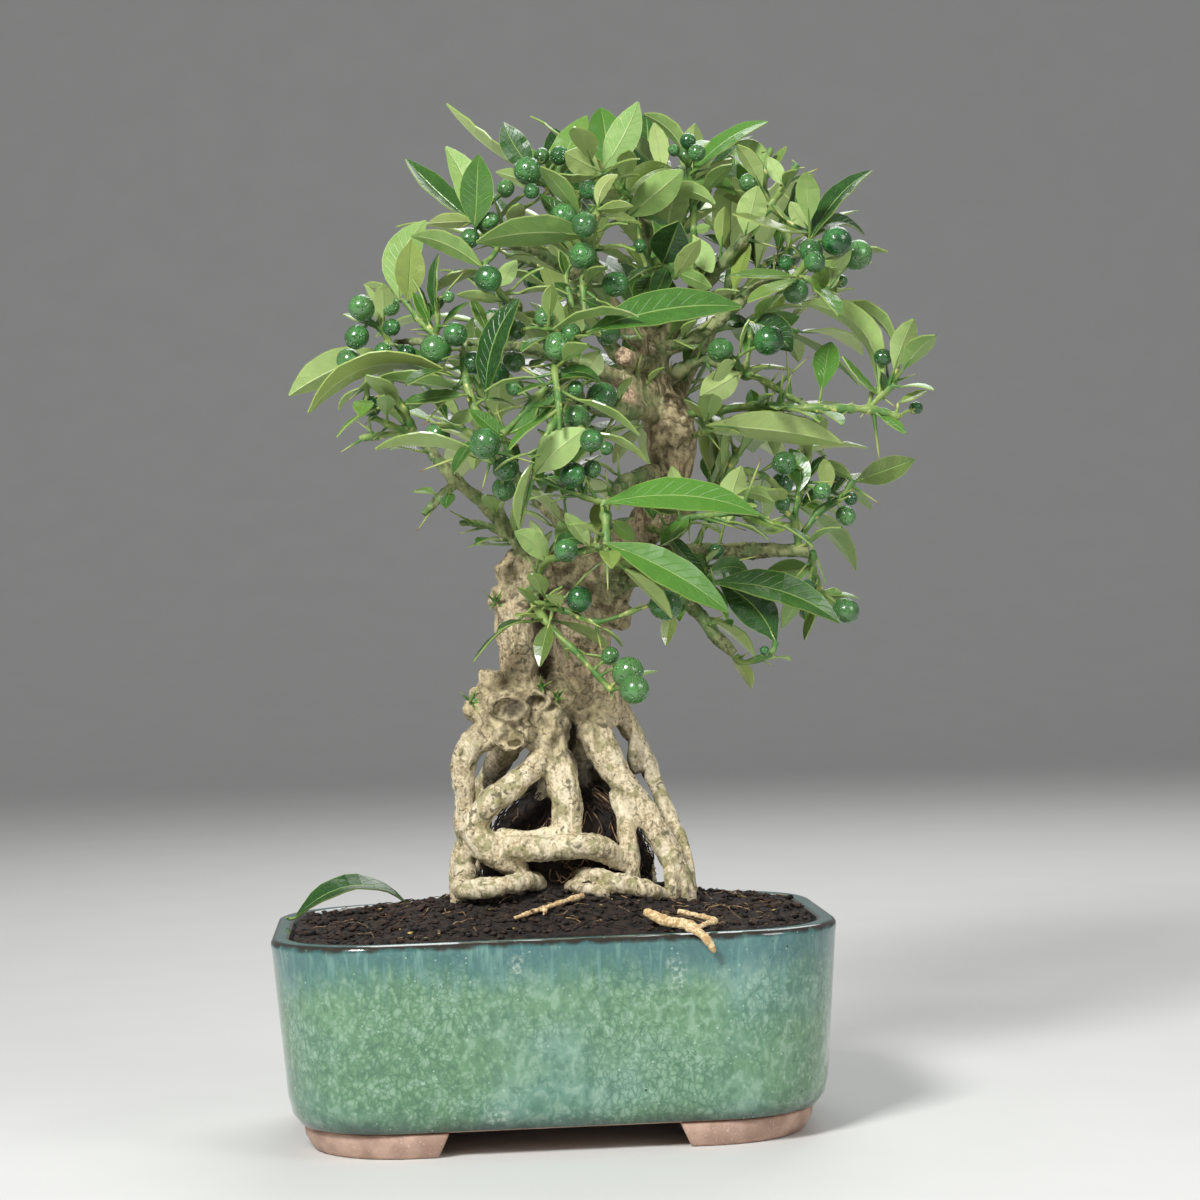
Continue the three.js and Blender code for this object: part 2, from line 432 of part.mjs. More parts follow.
    leaves: [[61, 240, -18, 108, 233, -14, 10.4, UNDER, 1], [61, 238, -18, 72, 237, -24, 2.8, UNDER, 0]],
    fruits: [],
    thorns: [[60, 238, -16, 65, 231, -20]],
  },
  {
    name: 'spray_right_mid',
    twigs: [[1.5, 1.1, [91, 195, -8], [91, 199, -10], [90, 206, -14], [92, 215, -15], [95, 223, -15]],
      [1.4, 1, [91, 199, -10], [99, 209, -10], [106, 213, -10], [111, 219, -10]],
      [1.1, 0.9, [90, 206, -14], [87, 209, -16], [85, 210, -16]]],
    leaves: [[95, 223, -15, 80, 242, -20, 4.8, UNDER, -6],
      [111, 219, -10, 97, 224, -4, 4.2, UNDER, -2], [112, 219, -10, 133, 226, -14, 9, TOP, 0],
      [85, 211, -16, 70, 216, -20, 4.8, UNDER, -2], [107, 213, -10, 93, 211, -14, 3.5, TOP, -3],
      [89, 205, -14, 71, 209, -18, 4.8, TOP, 3], [92, 216, -15, 89, 231, -8, 7.6, TOP, -2]],
    fruits: [[87, 226, -18, 4.2], [86, 212, -22, 2.8], [100, 216, -14, 3.1], [108, 207, -12, 3.5],
      [110, 213, -14, 2.4]],
    thorns: [[111, 217, -10, 120, 211, -12], [94, 219, -15, 105, 219, -18],
      [95, 223, -15, 94, 228, -15], [88, 208, -15, 81, 206, -18], [94, 219, -15, 96, 212, -18]],
  },
  {
    name: 'spray_right_middle',
    twigs: [[1.3, 0.9, [39, 205, -2], [44, 204, -16], [53, 208, -22], [71, 209, -22], [81, 207, -22]]],
    leaves: [[44, 205, -22, 59, 186, -28, 4.8, TOP, -1], [53, 208, -22, 43, 199, -30, 4.8, TOP, 0]],
    fruits: [],
    thorns: [[57, 208, -22, 73, 203, -24], [53, 208, -22, 53, 200, -24], [43, 204, -20, 41, 215, -20],
      [71, 209, -22, 79, 228, -24]],
  },
  {
    name: 'spray_right_low',
    twigs: [[1.4, 0.9, [57, 196, -6], [58, 189, -18], [61, 185, -24]]],
    leaves: [[61, 185, -24, 105, 170, -22, 10.4, TOP, 4], [59, 188, -22, 73, 189, -14, 7.6, TOP, 2],
      [58, 189, -20, 53, 196, -24, 4.8, TOP, 0]],
    fruits: [[62, 196, -18, 2.8]],
    thorns: [[61, 185, -24, 60, 191, -30], [72, 187, -14, 77, 194, -16]],
  },
  {
    name: 'spray_right_low_tip',
    twigs: [[1.4, 1, [68, 159, -18], [71, 157, -20], [80, 160, -20], [82, 164, -20]]],
    leaves: [[82, 164, -20, 63, 185, -12, 13.9, TOP, -3]],
    fruits: [[78, 161, -24, 1.7]],
    thorns: [[69, 158, -19, 67, 155, -19], [80, 160, -20, 76, 162, -24]],
  },
  {
    name: 'spray_right_end',
    twigs: [[1.4, 0.9, [96, 195, -9], [96, 188, -4], [99, 180, -2]]],
    leaves: [[96, 189, -4, 79, 188, 2, 8.3, UNDER, 0], [96, 186, -2, 84, 169, 4, 6.2, UNDER, 0],
      [99, 181, -2, 107, 176, 2, 6.9, UNDER, 0], [97, 184, -2, 91, 174, 6, 4.8, TOP, 0]],
    fruits: [[107, 174, 0, 4.5], [94, 183, -6, 2.4], [94, 174, 0, 3.5]],
    thorns: [[97, 184, -2, 93, 172, 6]],
  },
  {
    name: 'spray_front_low',
    twigs: [[1.5, 1.2, [-3, 188, -10], [0, 188, -26], [2, 194, -34], [8, 196, -40], [22, 199, -44]]],
    leaves: [[3, 194, -36, -8, 205, -44, 8.3, UNDER, -2], [6, 196, -40, 18, 200, -48, 4.8, TOP, 4],
      [10, 197, -40, 8, 208, -34, 6.2, UNDER, 0], [18, 199, -44, 10, 211, -46, 5.5, UNDER, 0],
      [2, 194, -34, -2, 209, -30, 4.8, UNDER, 0]],
    fruits: [[10, 198, -50, 4.2]],
    thorns: [[22, 199, -44, 26, 201, -46]],
  },
  {
    name: 'spray_burl',
    twigs: [[1.3, 1, [-2, 180, -22], [4, 171, -32], [11, 164, -36], [24, 149, -38]],
      [1.1, 0.9, [-2, 180, -22], [9, 177, -34], [20, 173, -38], [38, 178, -38]],
      [0.9, 0.8, [-2, 180, -22], [4, 180, -32], [8, 180, -34]]],
    leaves: [[-2, 180, -24, -7, 186, -30, 2.8, UNDER, 0]],
    fruits: [[14, 181, -38, 4.5], [44, 178, -38, 5.5], [24, 161, -40, 3.1], [30, 155, -42, 5.5],
      [32, 149, -46, 5.2]],
    thorns: [[20, 154, -38, 29, 159, -44], [32, 176, -38, 36, 179, -40], [24, 149, -38, 24, 145, -38],
      [11, 164, -36, 8, 164, -38]],
  },
];

// Sprays grown by rule, at the back and inside: name, first and last place of the twig, number of leaves
const GROWN_SPRAYS = [
  ['spray_back_left_high', [13, 288, 50], [-7, 301, 64], 6],
  ['spray_back_left_top', [18, 281, 46], [16, 311, 60], 5],
  ['spray_back_left_side', [24, 274, 42], [-16, 278, 54], 6],
  ['spray_back_left_inner', [32, 261, 34], [4, 253, 66], 5],
  ['spray_back_right_high', [74, 286, 48], [92, 300, 62], 6],
  ['spray_back_right_top', [68, 279, 42], [74, 311, 54], 5],
  ['spray_back_right_side', [63, 273, 36], [93, 272, 54], 5],
  ['spray_back_top_left', [43, 297, 44], [27, 323, 46], 5],
  ['spray_back_top_right', [43, 293, 40], [61, 321, 42], 5],
  ['spray_back_top', [42, 304, 48], [44, 318, 68], 5],
  ['spray_back_low_left', [-15, 233, 48], [-32, 243, 60], 5],
  ['spray_back_low_left_up', [-5, 222, 42], [-21, 260, 44], 5],
  ['spray_back_low_middle', [2, 215, 36], [14, 226, 66], 5],
  ['spray_back_low_right', [72, 224, 46], [89, 213, 58], 5],
  ['spray_back_low_right_up', [64, 219, 38], [85, 245, 56], 4],
  ['spray_back_middle_up', [45, 256, 64], [38, 277, 76], 6],
  ['spray_back_middle_right', [45, 251, 54], [64, 240, 72], 5],
  ['spray_back_middle_left', [46, 242, 34], [23, 247, 72], 5],
];

// Dead roots lying on the soil and over the rim: each place as x, y, z and radius
const LOOSE_ROOTS = [
  {
    name: 'loose_root_over_rim',
    rods: [
      [[29, -56, 77.6, 2.4], [35, -63, 75.2, 2.6], [41, -70, 74.9, 2.2], [46.5, -74.2, 70.4, 1.9], [49.5, -73.6, 65.6, 1.4]],
      [[40, -53, 77, 1], [51, -62, 74.6, 0.9], [47.5, -68, 74.2, 0.9], [44.5, -71.5, 73.2, 0.9]],
    ],
  },
  {
    name: 'loose_root_on_soil',
    rods: [
      [[-14, -50, 76.6, 0.7], [-3, -41, 78.8, 0.9], [10, -30, 81.2, 1]],
      [[-3, -41, 78.6, 0.7], [-4, -46, 76.9, 0.6]],
    ],
  },
];

const FALLEN_LEAF = { base: [-88, 10, 73.4], tip: [-49, 24, 76.6], bow: 8, width: 13 };

// Repeatable draws from 0 to 1
function draws(seed) {
  let state = seed >>> 0;
  return () => {
    state = (state + 0x6d2b79f5) >>> 0;
    let mixed = Math.imul(state ^ (state >>> 15), state | 1);
    mixed ^= mixed + Math.imul(mixed ^ (mixed >>> 7), mixed | 61);
    return ((mixed ^ (mixed >>> 14)) >>> 0) / 4294967296;
  };
}

// How much larger a thing is than it looks on the elevation, at a depth behind the trunk's plane
function scaleAt(depth) {
  return (depth - EYE.y) / -EYE.y;
}

// A place read off the elevation, slid along the line of sight to its depth
function seen(x, z, depth) {
  const onPlane = new THREE.Vector3(x, 0, z);
  return onPlane.sub(EYE).multiplyScalar(scaleAt(depth)).add(EYE);
}

function signedVolume(positions, triangles) {
  let volume = 0;
  const corner = (index) => new THREE.Vector3().fromArray(positions, 3 * index);
  for (let i = 0; i < triangles.length; i += 3) {
    const [a, b, c] = [0, 1, 2].map((k) => corner(triangles[i + k]));
    volume += a.dot(b.cross(c)) / 6;
  }
  return volume;
}

function solid(positions, triangles) {
  const outward = signedVolume(positions, triangles) > 0;
  const triVerts = new Uint32Array(outward ? triangles : [...triangles].reverse());
  return new wasm.Manifold(new wasm.Mesh({ numProp: 3, vertProperties: new Float32Array(positions), triVerts }));
}

function solidFrom(geometry) {
  const bare = geometry.index ? geometry.toNonIndexed() : geometry.clone();
  bare.deleteAttribute('normal');
  bare.deleteAttribute('uv');
  const merged = mergeVertices(bare, WELD);
  return solid(Array.from(merged.attributes.position.array), Array.from(merged.index.array));
}

// A closed skin through rings of equal numbers of points. A ring of one point closes the skin to a tip.
function loft(rings) {
  const positions = rings.flat().flatMap((point) => point.toArray());
  const starts = [];
  rings.reduce((count, ring) => {
    starts.push(count);
    return count + ring.length;
  }, 0);
  const triangles = [];
  for (let i = 0; i + 1 < rings.length; i += 1) {
    const sides = Math.max(rings[i].length, rings[i + 1].length);
    for (let k = 0; k < sides; k += 1) {
      const next = (k + 1) % sides;
      const [a, b] = [k, next].map((j) => starts[i] + (j % rings[i].length));
      const [c, d] = [k, next].map((j) => starts[i + 1] + (j % rings[i + 1].length));
      if (rings[i].length > 1) triangles.push(a, b, d);
      if (rings[i + 1].length > 1) triangles.push(a, d, c);
    }
  }
  const last = rings.length - 1;
  for (let k = 1; k + 1 < rings[0].length; k += 1) {
    triangles.push(starts[0], starts[0] + k + 1, starts[0] + k);
  }
  for (let k = 1; k + 1 < rings[last].length; k += 1) {
    triangles.push(starts[last], starts[last] + k, starts[last] + k + 1);
  }
  return solid(positions, triangles);
}

function joined(solids) {
  return wasm.Manifold.union(solids);
}

// The outer skin of the largest body, so that loose scraps are dropped and sealed hollows are filled
function largestBody(shape) {
  const bodies = shape.decompose();
  return bodies.reduce((best, body) => (body.volume() > best.volume() ? body : best));
}

function geometryOf(shape) {
  const { vertProperties, triVerts } = shape.getMesh();
  const geometry = new THREE.BufferGeometry();
  geometry.setAttribute('position', new THREE.BufferAttribute(vertProperties, 3));
  geometry.setIndex(new THREE.BufferAttribute(triVerts, 1));
  return geometry;
}

// Whether every edge of a geometry lies between exactly two of its faces
function isClosed(geometry) {
  const { array } = mergeVertices(geometry, WELD).index;
  const uses = new Map();
  array.forEach((start, i) => {
    const end = array[i % 3 === 2 ? i - 2 : i + 1];
    const edge = `${Math.min(start, end)} ${Math.max(start, end)}`;
    uses.set(edge, (uses.get(edge) ?? 0) + 1);
  });
  return [...uses.values()].every((count) => count === 2);
}

// A named mesh of one body, moved so that the origin lands where it belongs, with its finest facets merged
function meshOf({ name, shape, finish }, shift) {
  const moved = solidFrom(geometryOf(shape.translate(shift.toArray())));
  const choices = DETAILS.map((detail) => geometryOf(largestBody(solidFrom(geometryOf(moved.simplify(detail))))));
  const geometry = choices.find(isClosed);
  geometry.computeVertexNormals();
  const mesh = new THREE.Mesh(geometry, new THREE.MeshStandardMaterial(finish));
  mesh.name = name;
  return mesh;
}

// Directions across a path at each of its points, turned as little as the bends allow
function framesAlong(points) {
  const frames = [];
  let normal = null;
  points.forEach((point, i) => {
    const before = points[Math.max(i - 1, 0)];
    const after = points[Math.min(i + 1, points.length - 1)];
    const along = after.clone().sub(before).normalize();
    if (!normal) {
      const steep = Math.abs(along.z) > 0.9;
      normal = new THREE.Vector3(steep ? 1 : 0, 0, steep ? 0 : 1);
    }
    normal = normal.clone().addScaledVector(along, -normal.dot(along)).normalize();
    frames.push({ normal, across: along.clone().cross(normal) });
  });
  return frames;
}

// A tapered, slightly uneven round rod through points with a radius at each. Extra room goes all round it.
function rod(points, radii, { sides = TWIG_SIDES, unevenness = 0, random = () => 0.5, extra = 0 } = {}) {
  const frames = framesAlong(points);
  const last = points.length - 1;
  const rings = points.map((point, i) => {
    const ring = [];
    const middle = point.clone();
    if (i === 0) middle.addScaledVector(points[0].clone().sub(points[1]).normalize(), extra);
    if (i === last) middle.addScaledVector(points[last].clone().sub(points[last - 1]).normalize(), extra);
    for (let k = 0; k < sides; k += 1) {
      const angle = (2 * Math.PI * k) / sides;
      const radius = radii[i] * (1 + unevenness * (random() - 0.5) * 2) + extra / Math.cos(Math.PI / sides);
      ring.push(middle.clone()
        .addScaledVector(frames[i].across, radius * Math.cos(angle))
        .addScaledVector(frames[i].normal, radius * Math.sin(angle)));
    }
    return ring;
  });
  return loft(rings);
}

// Pot, all one fired piece
function potRing(inset, z) {
  const halfX = POT_WIDTH / 2 - inset;
  const halfY = POT_DEPTH / 2 - inset;
  const corner = POT_CORNER - inset;
  const ring = [];
  for (let quarter = 0; quarter < 4; quarter += 1) {
    const signX = quarter === 0 || quarter === 3 ? 1 : -1;
    const signY = quarter < 2 ? 1 : -1;
    for (let step = 0; step <= CORNER_STEPS; step += 1) {
      const angle = (Math.PI / 2) * (quarter + step / CORNER_STEPS);
      ring.push(new THREE.Vector3(
        signX * (halfX - corner) + corner * Math.cos(angle),
        signY * (halfY - corner) + corner * Math.sin(angle),
        z,
      ));
    }
  }
  return ring;
}

const potFloorTop = FOOT_HEIGHT + POT_FLOOR;

function innerInset(z) {
  return WALL + (POT_TAPER * (POT_TOP - z)) / (POT_TOP - FOOT_HEIGHT);
}

function makePot() {
  const rimRound = 1;
  const body = loft([
    potRing(POT_TAPER + 9, FOOT_HEIGHT),
    potRing(POT_TAPER + 3.6, FOOT_HEIGHT + 1.2),
    potRing(POT_TAPER + 0.9, FOOT_HEIGHT + 5),
    potRing(POT_TAPER - 0.4, FOOT_HEIGHT + 11),
    potRing(0.4, POT_TOP - 4.5),
    potRing(0, POT_TOP - 2.4),
    potRing(0.3, POT_TOP - rimRound),
    potRing(rimRound + 0.2, POT_TOP),
    potRing(WALL - rimRound, POT_TOP),
    potRing(innerInset(POT_TOP - rimRound), POT_TOP - rimRound),
    potRing(innerInset(potFloorTop), potFloorTop),
  ]);
  const footTop = FOOT_HEIGHT + 0.5;
  const skirt = loft([potRing(FOOT_INSET + FOOT_SPLAY, 0), potRing(FOOT_INSET, footTop)])
    .subtract(loft([
      potRing(FOOT_INSET + FOOT_SPLAY + FOOT_THICKNESS, -1),
      potRing(FOOT_INSET + FOOT_SPLAY + FOOT_THICKNESS, footTop + 1),
    ]));
  const cornerBoxes = [[-1, -1], [1, -1], [1, 1], [-1, 1]].map(([signX, signY]) => {
    const box = new THREE.BoxGeometry(POT_WIDTH, POT_DEPTH, 4 * footTop);
    box.translate(signX * (FOOT_START_X + POT_WIDTH / 2), signY * (FOOT_START_Y + POT_DEPTH / 2), 0);
    return solidFrom(box);
  });
  const feet = cornerBoxes.map((box) => skirt.intersect(box));
  const drains = [-1, 1].map((side) => {
    const drain = new THREE.CylinderGeometry(DRAIN_RADIUS, DRAIN_RADIUS, 4 * potFloorTop, DRAIN_SIDES);
    drain.rotateX(Math.PI / 2);
    drain.translate(side * DRAIN_OFFSET, 0, 0);
    return solidFrom(drain);
  });
  return joined([body, ...feet]).subtract(joined(drains));
}

function makeScreen(side) {
  const bottom = potFloorTop + TOUCH_GAP;
  const plate = new THREE.BoxGeometry(SCREEN_SIZE, SCREEN_SIZE, SCREEN_THICKNESS);
  plate.translate(side * DRAIN_OFFSET, 0, bottom + SCREEN_THICKNESS / 2);
  const holes = [];
  for (let row = 0; row < SCREEN_HOLES_PER_SIDE; row += 1) {
    for (let column = 0; column < SCREEN_HOLES_PER_SIDE; column += 1) {
      const hole = new THREE.BoxGeometry(SCREEN_HOLE, SCREEN_HOLE, 4 * SCREEN_THICKNESS);
      const middle = (SCREEN_HOLES_PER_SIDE - 1) / 2;
      hole.translate(
        side * DRAIN_OFFSET + (column - middle) * SCREEN_PITCH,
        (row - middle) * SCREEN_PITCH,
        bottom,
      );
      holes.push(solidFrom(hole));
    }
  }
  return solidFrom(plate).subtract(joined(holes));
}

// Soil, filled to the rim and mounded against the roots
function soilHeight(x, y) {
  const fromX = (x - SOIL_MOUND_CENTRE_X) / SOIL_SPREAD_X;
  const fromY = y / SOIL_SPREAD_Y;
  const ripple = Math.sin(x * 0.31 + 1.2) * Math.cos(y * 0.37) + Math.sin(x * 0.13 - y * 0.21);
  return SOIL_EDGE + SOIL_MOUND * Math.exp(-fromX * fromX - fromY * fromY) + SOIL_ROUGHNESS * ripple;
}

function makeSoil(hollows) {
  const bottom = potFloorTop + SCREEN_THICKNESS + 2 * TOUCH_GAP;
  const edge = potRing(innerInset(SOIL_EDGE) + TOUCH_GAP, SOIL_EDGE);
  const tops = [...SOIL_RINGS].reverse().map((share) => edge.map(({ x, y }) => (
    new THREE.Vector3(x * share, y * share, soilHeight(x * share, y * share)))));
  const centre = [new THREE.Vector3(0, 0, soilHeight(0, 0))];
  const filled = loft([potRing(innerInset(bottom) + TOUCH_GAP, bottom), edge, ...tops, centre]);
  return largestBody(filled.add(makeHeap()).subtract(hollows));
}

function makeHeap() {
  const rings = HEAP_RINGS.map(([z, across, deep]) => Array.from({ length: HEAP_SIDES }, (_, i) => {
    const turn = (2 * Math.PI * i) / HEAP_SIDES;
    return new THREE.Vector3(HEAP_CENTRE_X + across * Math.cos(turn), HEAP_CENTRE_Y + deep * Math.sin(turn), z);
  }));
  return loft([...rings, [new THREE.Vector3(HEAP_CENTRE_X, HEAP_CENTRE_Y, HEAP_TOP)]]);
}

// Roots, trunk, burl and limbs, grown as one piece
function woodPath(row) {
  return {
    points: row.map(([x, z, depth]) => seen(x, z, depth)),
    radii: row.map(([, , depth, radius]) => radius * scaleAt(depth)),
  };
}

// A limb stops just short of the place where the twigs of a spray meet
function limbPath(row) {
  const { points, radii } = woodPath(row);
  const [end, before] = [...points].reverse();
  end.addScaledVector(before.clone().sub(end).normalize(), LIMB_SETBACK);
  return { points, radii };
}

const woodPaths = [...ROOTS_AND_TRUNK.map(woodPath), ...LIMBS.map(limbPath)];

function makeWood(extra) {
  const random = draws(WOOD_SEED);
  const rods = woodPaths.map(({ points, radii }) => {
    const thickest = Math.max(...radii);
    const sides = 4 + Number(thickest > THIN_WOOD) + Number(thickest > THICK_WOOD);
    return rod(points, radii, { sides, unevenness: BARK_UNEVENNESS, random, extra });
  });
  const lumps = LUMPS.map(([x, z, depth, across, upward]) => {
    const ball = new THREE.OctahedronGeometry(1, 1);
    ball.deleteAttribute('normal');
    ball.deleteAttribute('uv');
    const { attributes: { position }, index } = mergeVertices(ball, WELD);
    const centre = seen(x, z, depth);
    for (let i = 0; i < position.count; i += 1) {
      const uneven = 1 + LUMP_UNEVENNESS * (random() - 0.5) * 2;
      position.setXYZ(
        i,
        centre.x + position.getX(i) * (across * uneven + extra),
        centre.y + position.getY(i) * (Math.min(across, upward) * LUMP_DEPTH_SHARE * uneven + extra),
        centre.z + position.getZ(i) * (upward * uneven + extra),
      );
    }
    return solid(Array.from(position.array), Array.from(index.array));
  });
  return largestBody(joined([...rods, ...lumps]));
}

// Room that placed pieces take up, as small balls, each with the spray that owns it
const taken = [];

function takeRoom(owner, balls) {
  balls.forEach((ball) => taken.push({ ...ball, owner }));
}

function ballsAlong(points, radii, room) {
  const balls = [];
  for (let i = 0; i + 1 < points.length; i += 1) {
    const steps = Math.max(1, Math.ceil(points[i].distanceTo(points[i + 1]) / 3));
    for (let k = 0; k <= steps; k += 1) {
      const share = k / steps;
      balls.push({
        centre: points[i].clone().lerp(points[i + 1], share),
        radius: radii[i] + (radii[i + 1] - radii[i]) * share + room,
        joint: true,
      });
    }
  }
  return balls;
}

// Whether balls keep clear of what is taken. A spray's own twigs and leaf bases, its joints, may always touch,
// and with ownToo false so may the rest of the spray.
function isClear(owner, balls, ownToo) {
  return balls.every((ball) => taken.every((other) => {
    const mayTouch = other.owner === owner && (!ownToo || ball.joint || other.joint);
    return mayTouch || ball.centre.distanceTo(other.centre) > ball.radius + other.radius;
  }));
}

// Nearest point on a spray's twigs
function nearestOnTwigs(twigs, place) {
  let best = null;
  twigs.forEach(({ points }) => {
    for (let i = 0; i + 1 < points.length; i += 1) {
      const onTwig = new THREE.Line3(points[i], points[i + 1]).closestPointToPoint(place, true, new THREE.Vector3());
      if (!best || onTwig.distanceTo(place) < best.distanceTo(place)) best = onTwig;
    }
  });
  return best;
}

// A leaf from its foot on the twig through its base to its tip. Its blade bows, and its upper face looks along
// facing, which is turned square to the blade.
function leafShape({ foot, base, tip, bowTo, width, facing }) {
  const curve = new THREE.QuadraticBezierCurve3(base, bowTo, tip);
  const crossAt = (share) => {
    const along = curve.getTangent(share);
    const up = facing.clone().addScaledVector(along, -facing.dot(along)).normalize();
    return { centre: curve.getPoint(share), up, side: along.cross(up) };
  };
  const ringAt = ({ centre, up, side }, wide, over, keel) => [
    centre.clone().addScaledVector(side, wide / 2).addScaledVector(up, over),
    centre.clone().addScaledVector(side, -wide / 2).addScaledVector(up, over),
    centre.clone().addScaledVector(up, -keel),
  ];
  const stations = base.distanceTo(tip) < SHORT_LEAF ? SHORT_LEAF_STATIONS : LEAF_STATIONS;
  const start = { ...crossAt(0), centre: foot };
  const rings = [
    ringAt(start, PETIOLE_SIZE, PETIOLE_SIZE / 2, PETIOLE_SIZE / 2),
    ...stations.map(([share, full]) => ringAt(crossAt(share), full * width, BLADE_TOP, BLADE_KEEL)),
    [tip],
  ];
  const balls = [];
  for (let k = 1; k < LEAF_SAMPLES; k += 1) {
    const share = k / (LEAF_SAMPLES - 0.5);
    const { centre, side } = crossAt(share);
    [-SAMPLE_SPREAD, 0, SAMPLE_SPREAD].forEach((spread) => balls.push({
      centre: centre.clone().addScaledVector(side, spread * width * Math.sin(Math.PI * Math.min(share + 0.1, 1))),
      radius: BLADE_ROOM,
      joint: share < LEAF_BASE_SHARE,
    }));
  }
  return { rings, balls };
}

// A leaf read off the elevation: base, tip, apparent width, the face that shows, and bow
function placedLeaf(row, twigs, shift) {
  const [baseX, baseZ, baseDepth, tipX, tipZ, tipDepth, apparent, shows, bow] = row;
  const base = seen(baseX, baseZ, baseDepth + shift / 2);
  const tip = seen(tipX, tipZ, tipDepth + shift);
  const along = tip.clone().sub(base);
  const length = along.length();
  along.normalize();
  const middle = base.clone().lerp(tip, 0.5);
  const shown = apparent * scaleAt((baseDepth + tipDepth + shift) / 2);
  const width = Math.max(shown, Math.min(LEAF_PROPORTION * length + 1, WIDEST_LEAF));
  const toEye = EYE.clone().sub(middle).normalize();
  const square = toEye.addScaledVector(along, -toEye.dot(along)).normalize();
  const edgeways = along.clone().cross(square);
  if (edgeways.z < 0) edgeways.negate();
  const turned = Math.acos(Math.min(1, shown / width));
  const facing = square.multiplyScalar(shows * Math.cos(turned)).addScaledVector(edgeways, Math.sin(turned));
  const leftward = new THREE.Vector3(-(tipZ - baseZ), 0, tipX - baseX).normalize();
  const bowTo = middle.addScaledVector(leftward, 2 * bow);
  return leafShape({ foot: nearestOnTwigs(twigs, base), base, tip, bowTo, width, facing });
}

function fruitShape(centre, radius, twigs) {
  const ball = new THREE.IcosahedronGeometry(radius * FRUIT_SWELL, 0);
  ball.translate(centre.x, centre.y, centre.z);
  const foot = nearestOnTwigs(twigs, centre);
  const stalk = rod([foot, centre], [STALK_RADIUS, STALK_RADIUS], { sides: 3 });
  return {
    pieces: [solidFrom(ball), stalk],
    balls: [{ centre, radius: radius + FRUIT_ROOM, joint: false }],
  };
}

function thornShape(foot, tip) {
  const [frame] = framesAlong([foot, tip]);
  const ring = [0, 1, 2].map((k) => foot.clone()
    .addScaledVector(frame.across, THORN_RADIUS * Math.cos((2 * Math.PI * k) / 3))
    .addScaledVector(frame.normal, THORN_RADIUS * Math.sin((2 * Math.PI * k) / 3)));
  return {
    rings: [ring, [tip]],
    balls: ballsAlong([foot.clone().lerp(tip, 0.35), tip], [0, 0], THORN_RADIUS),
  };
}

// The first of several shapes that keeps clear of the other sprays takes its room
function firstClear(owner, makeShapes) {
  const shapes = makeShapes.map((makeShape) => makeShape());
  const clear = shapes.find(({ balls }) => isClear(owner, balls, true))
    ?? shapes.find(({ balls }) => isClear(owner, balls, false));
  if (clear) takeRoom(owner, clear.balls);
  return clear;
}

function twigPaths(rows) {
  return rows.map(([start, end, ...places]) => {
    const points = places.map(([x, z, depth]) => seen(x, z, depth));
    const radii = points.map((point, i) => start + ((end - start) * i) / (points.length - 1));
    return { points, radii };
  });
}

function twigSolids(twigs) {
  return twigs.map(({ points, radii }) => rod(points, radii));
}

// A spray placed by hand
function placedSpray({ name, leaves, fruits, thorns }, twigs) {
  const pieces = twigSolids(twigs);
  leaves.forEach((row) => {
    const leaf = firstClear(name, DEPTH_SHIFTS.map((shift) => () => placedLeaf(row, twigs, shift)));
    if (leaf) pieces.push(loft(leaf.rings));
  });
  fruits.forEach(([x, z, depth, radius]) => {
    const fruit = firstClear(name, FRUIT_SHIFTS.map((shift) => () => (
      fruitShape(seen(x, z, depth + shift), radius * scaleAt(depth), twigs))));
    if (fruit && radius >= SMALLEST_FRUIT) pieces.push(...fruit.pieces);
  });
  thorns.forEach(([footX, footZ, footDepth, tipX, tipZ, tipDepth]) => {
    const tip = seen(tipX, tipZ, tipDepth);
    const foot = nearestOnTwigs(twigs, seen(footX, footZ, footDepth));
    const thorn = firstClear(name, [() => thornShape(foot, tip)]);
    if (thorn && foot.distanceTo(tip) >= SHORTEST_THORN) pieces.push(loft(thorn.rings));
  });
  return pieces;
}

// A spray grown by rule: leaves in a spiral along a twig, their upper faces to the light, with a fruit and a
// thorn in some leaf axils
function grownTwig([, start, end]) {
  const points = [seen(...start), seen(...end)];
  const middle = points[0].clone().lerp(points[1], 0.5);
  middle.z += 3;
  return [{ points: [points[0], middle, points[1]], radii: [GROWN_TWIG_RADIUS, 1.2, 0.9] }];
}

function grownLeaf(twig, share, turn, length, lean) {
  const [start, middle, end] = twig.points;
  const foot = share < 0.5 ? start.clone().lerp(middle, 2 * share) : middle.clone().lerp(end, 2 * share - 1);
  const along = end.clone().sub(start).normalize();
  const [frame] = framesAlong([start, end]);
  const outward = frame.across.clone().multiplyScalar(Math.cos(turn)).addScaledVector(frame.normal, Math.sin(turn));
  const direction = outward.multiplyScalar(Math.cos(lean)).addScaledVector(along, Math.sin(lean)).normalize();
  const base = foot.clone().addScaledVector(direction, 3);
  const tip = base.clone().addScaledVector(direction, length);
  tip.z -= 0.12 * length;
  const bowTo = base.clone().lerp(tip, 0.5);
  bowTo.z += 0.14 * length;
  const facing = new THREE.Vector3(0.25 * direction.x, 0.25 * direction.y - 0.1, 1);
  return leafShape({ foot, base, tip, bowTo, width: LEAF_PROPORTION * length + 1, facing });
}

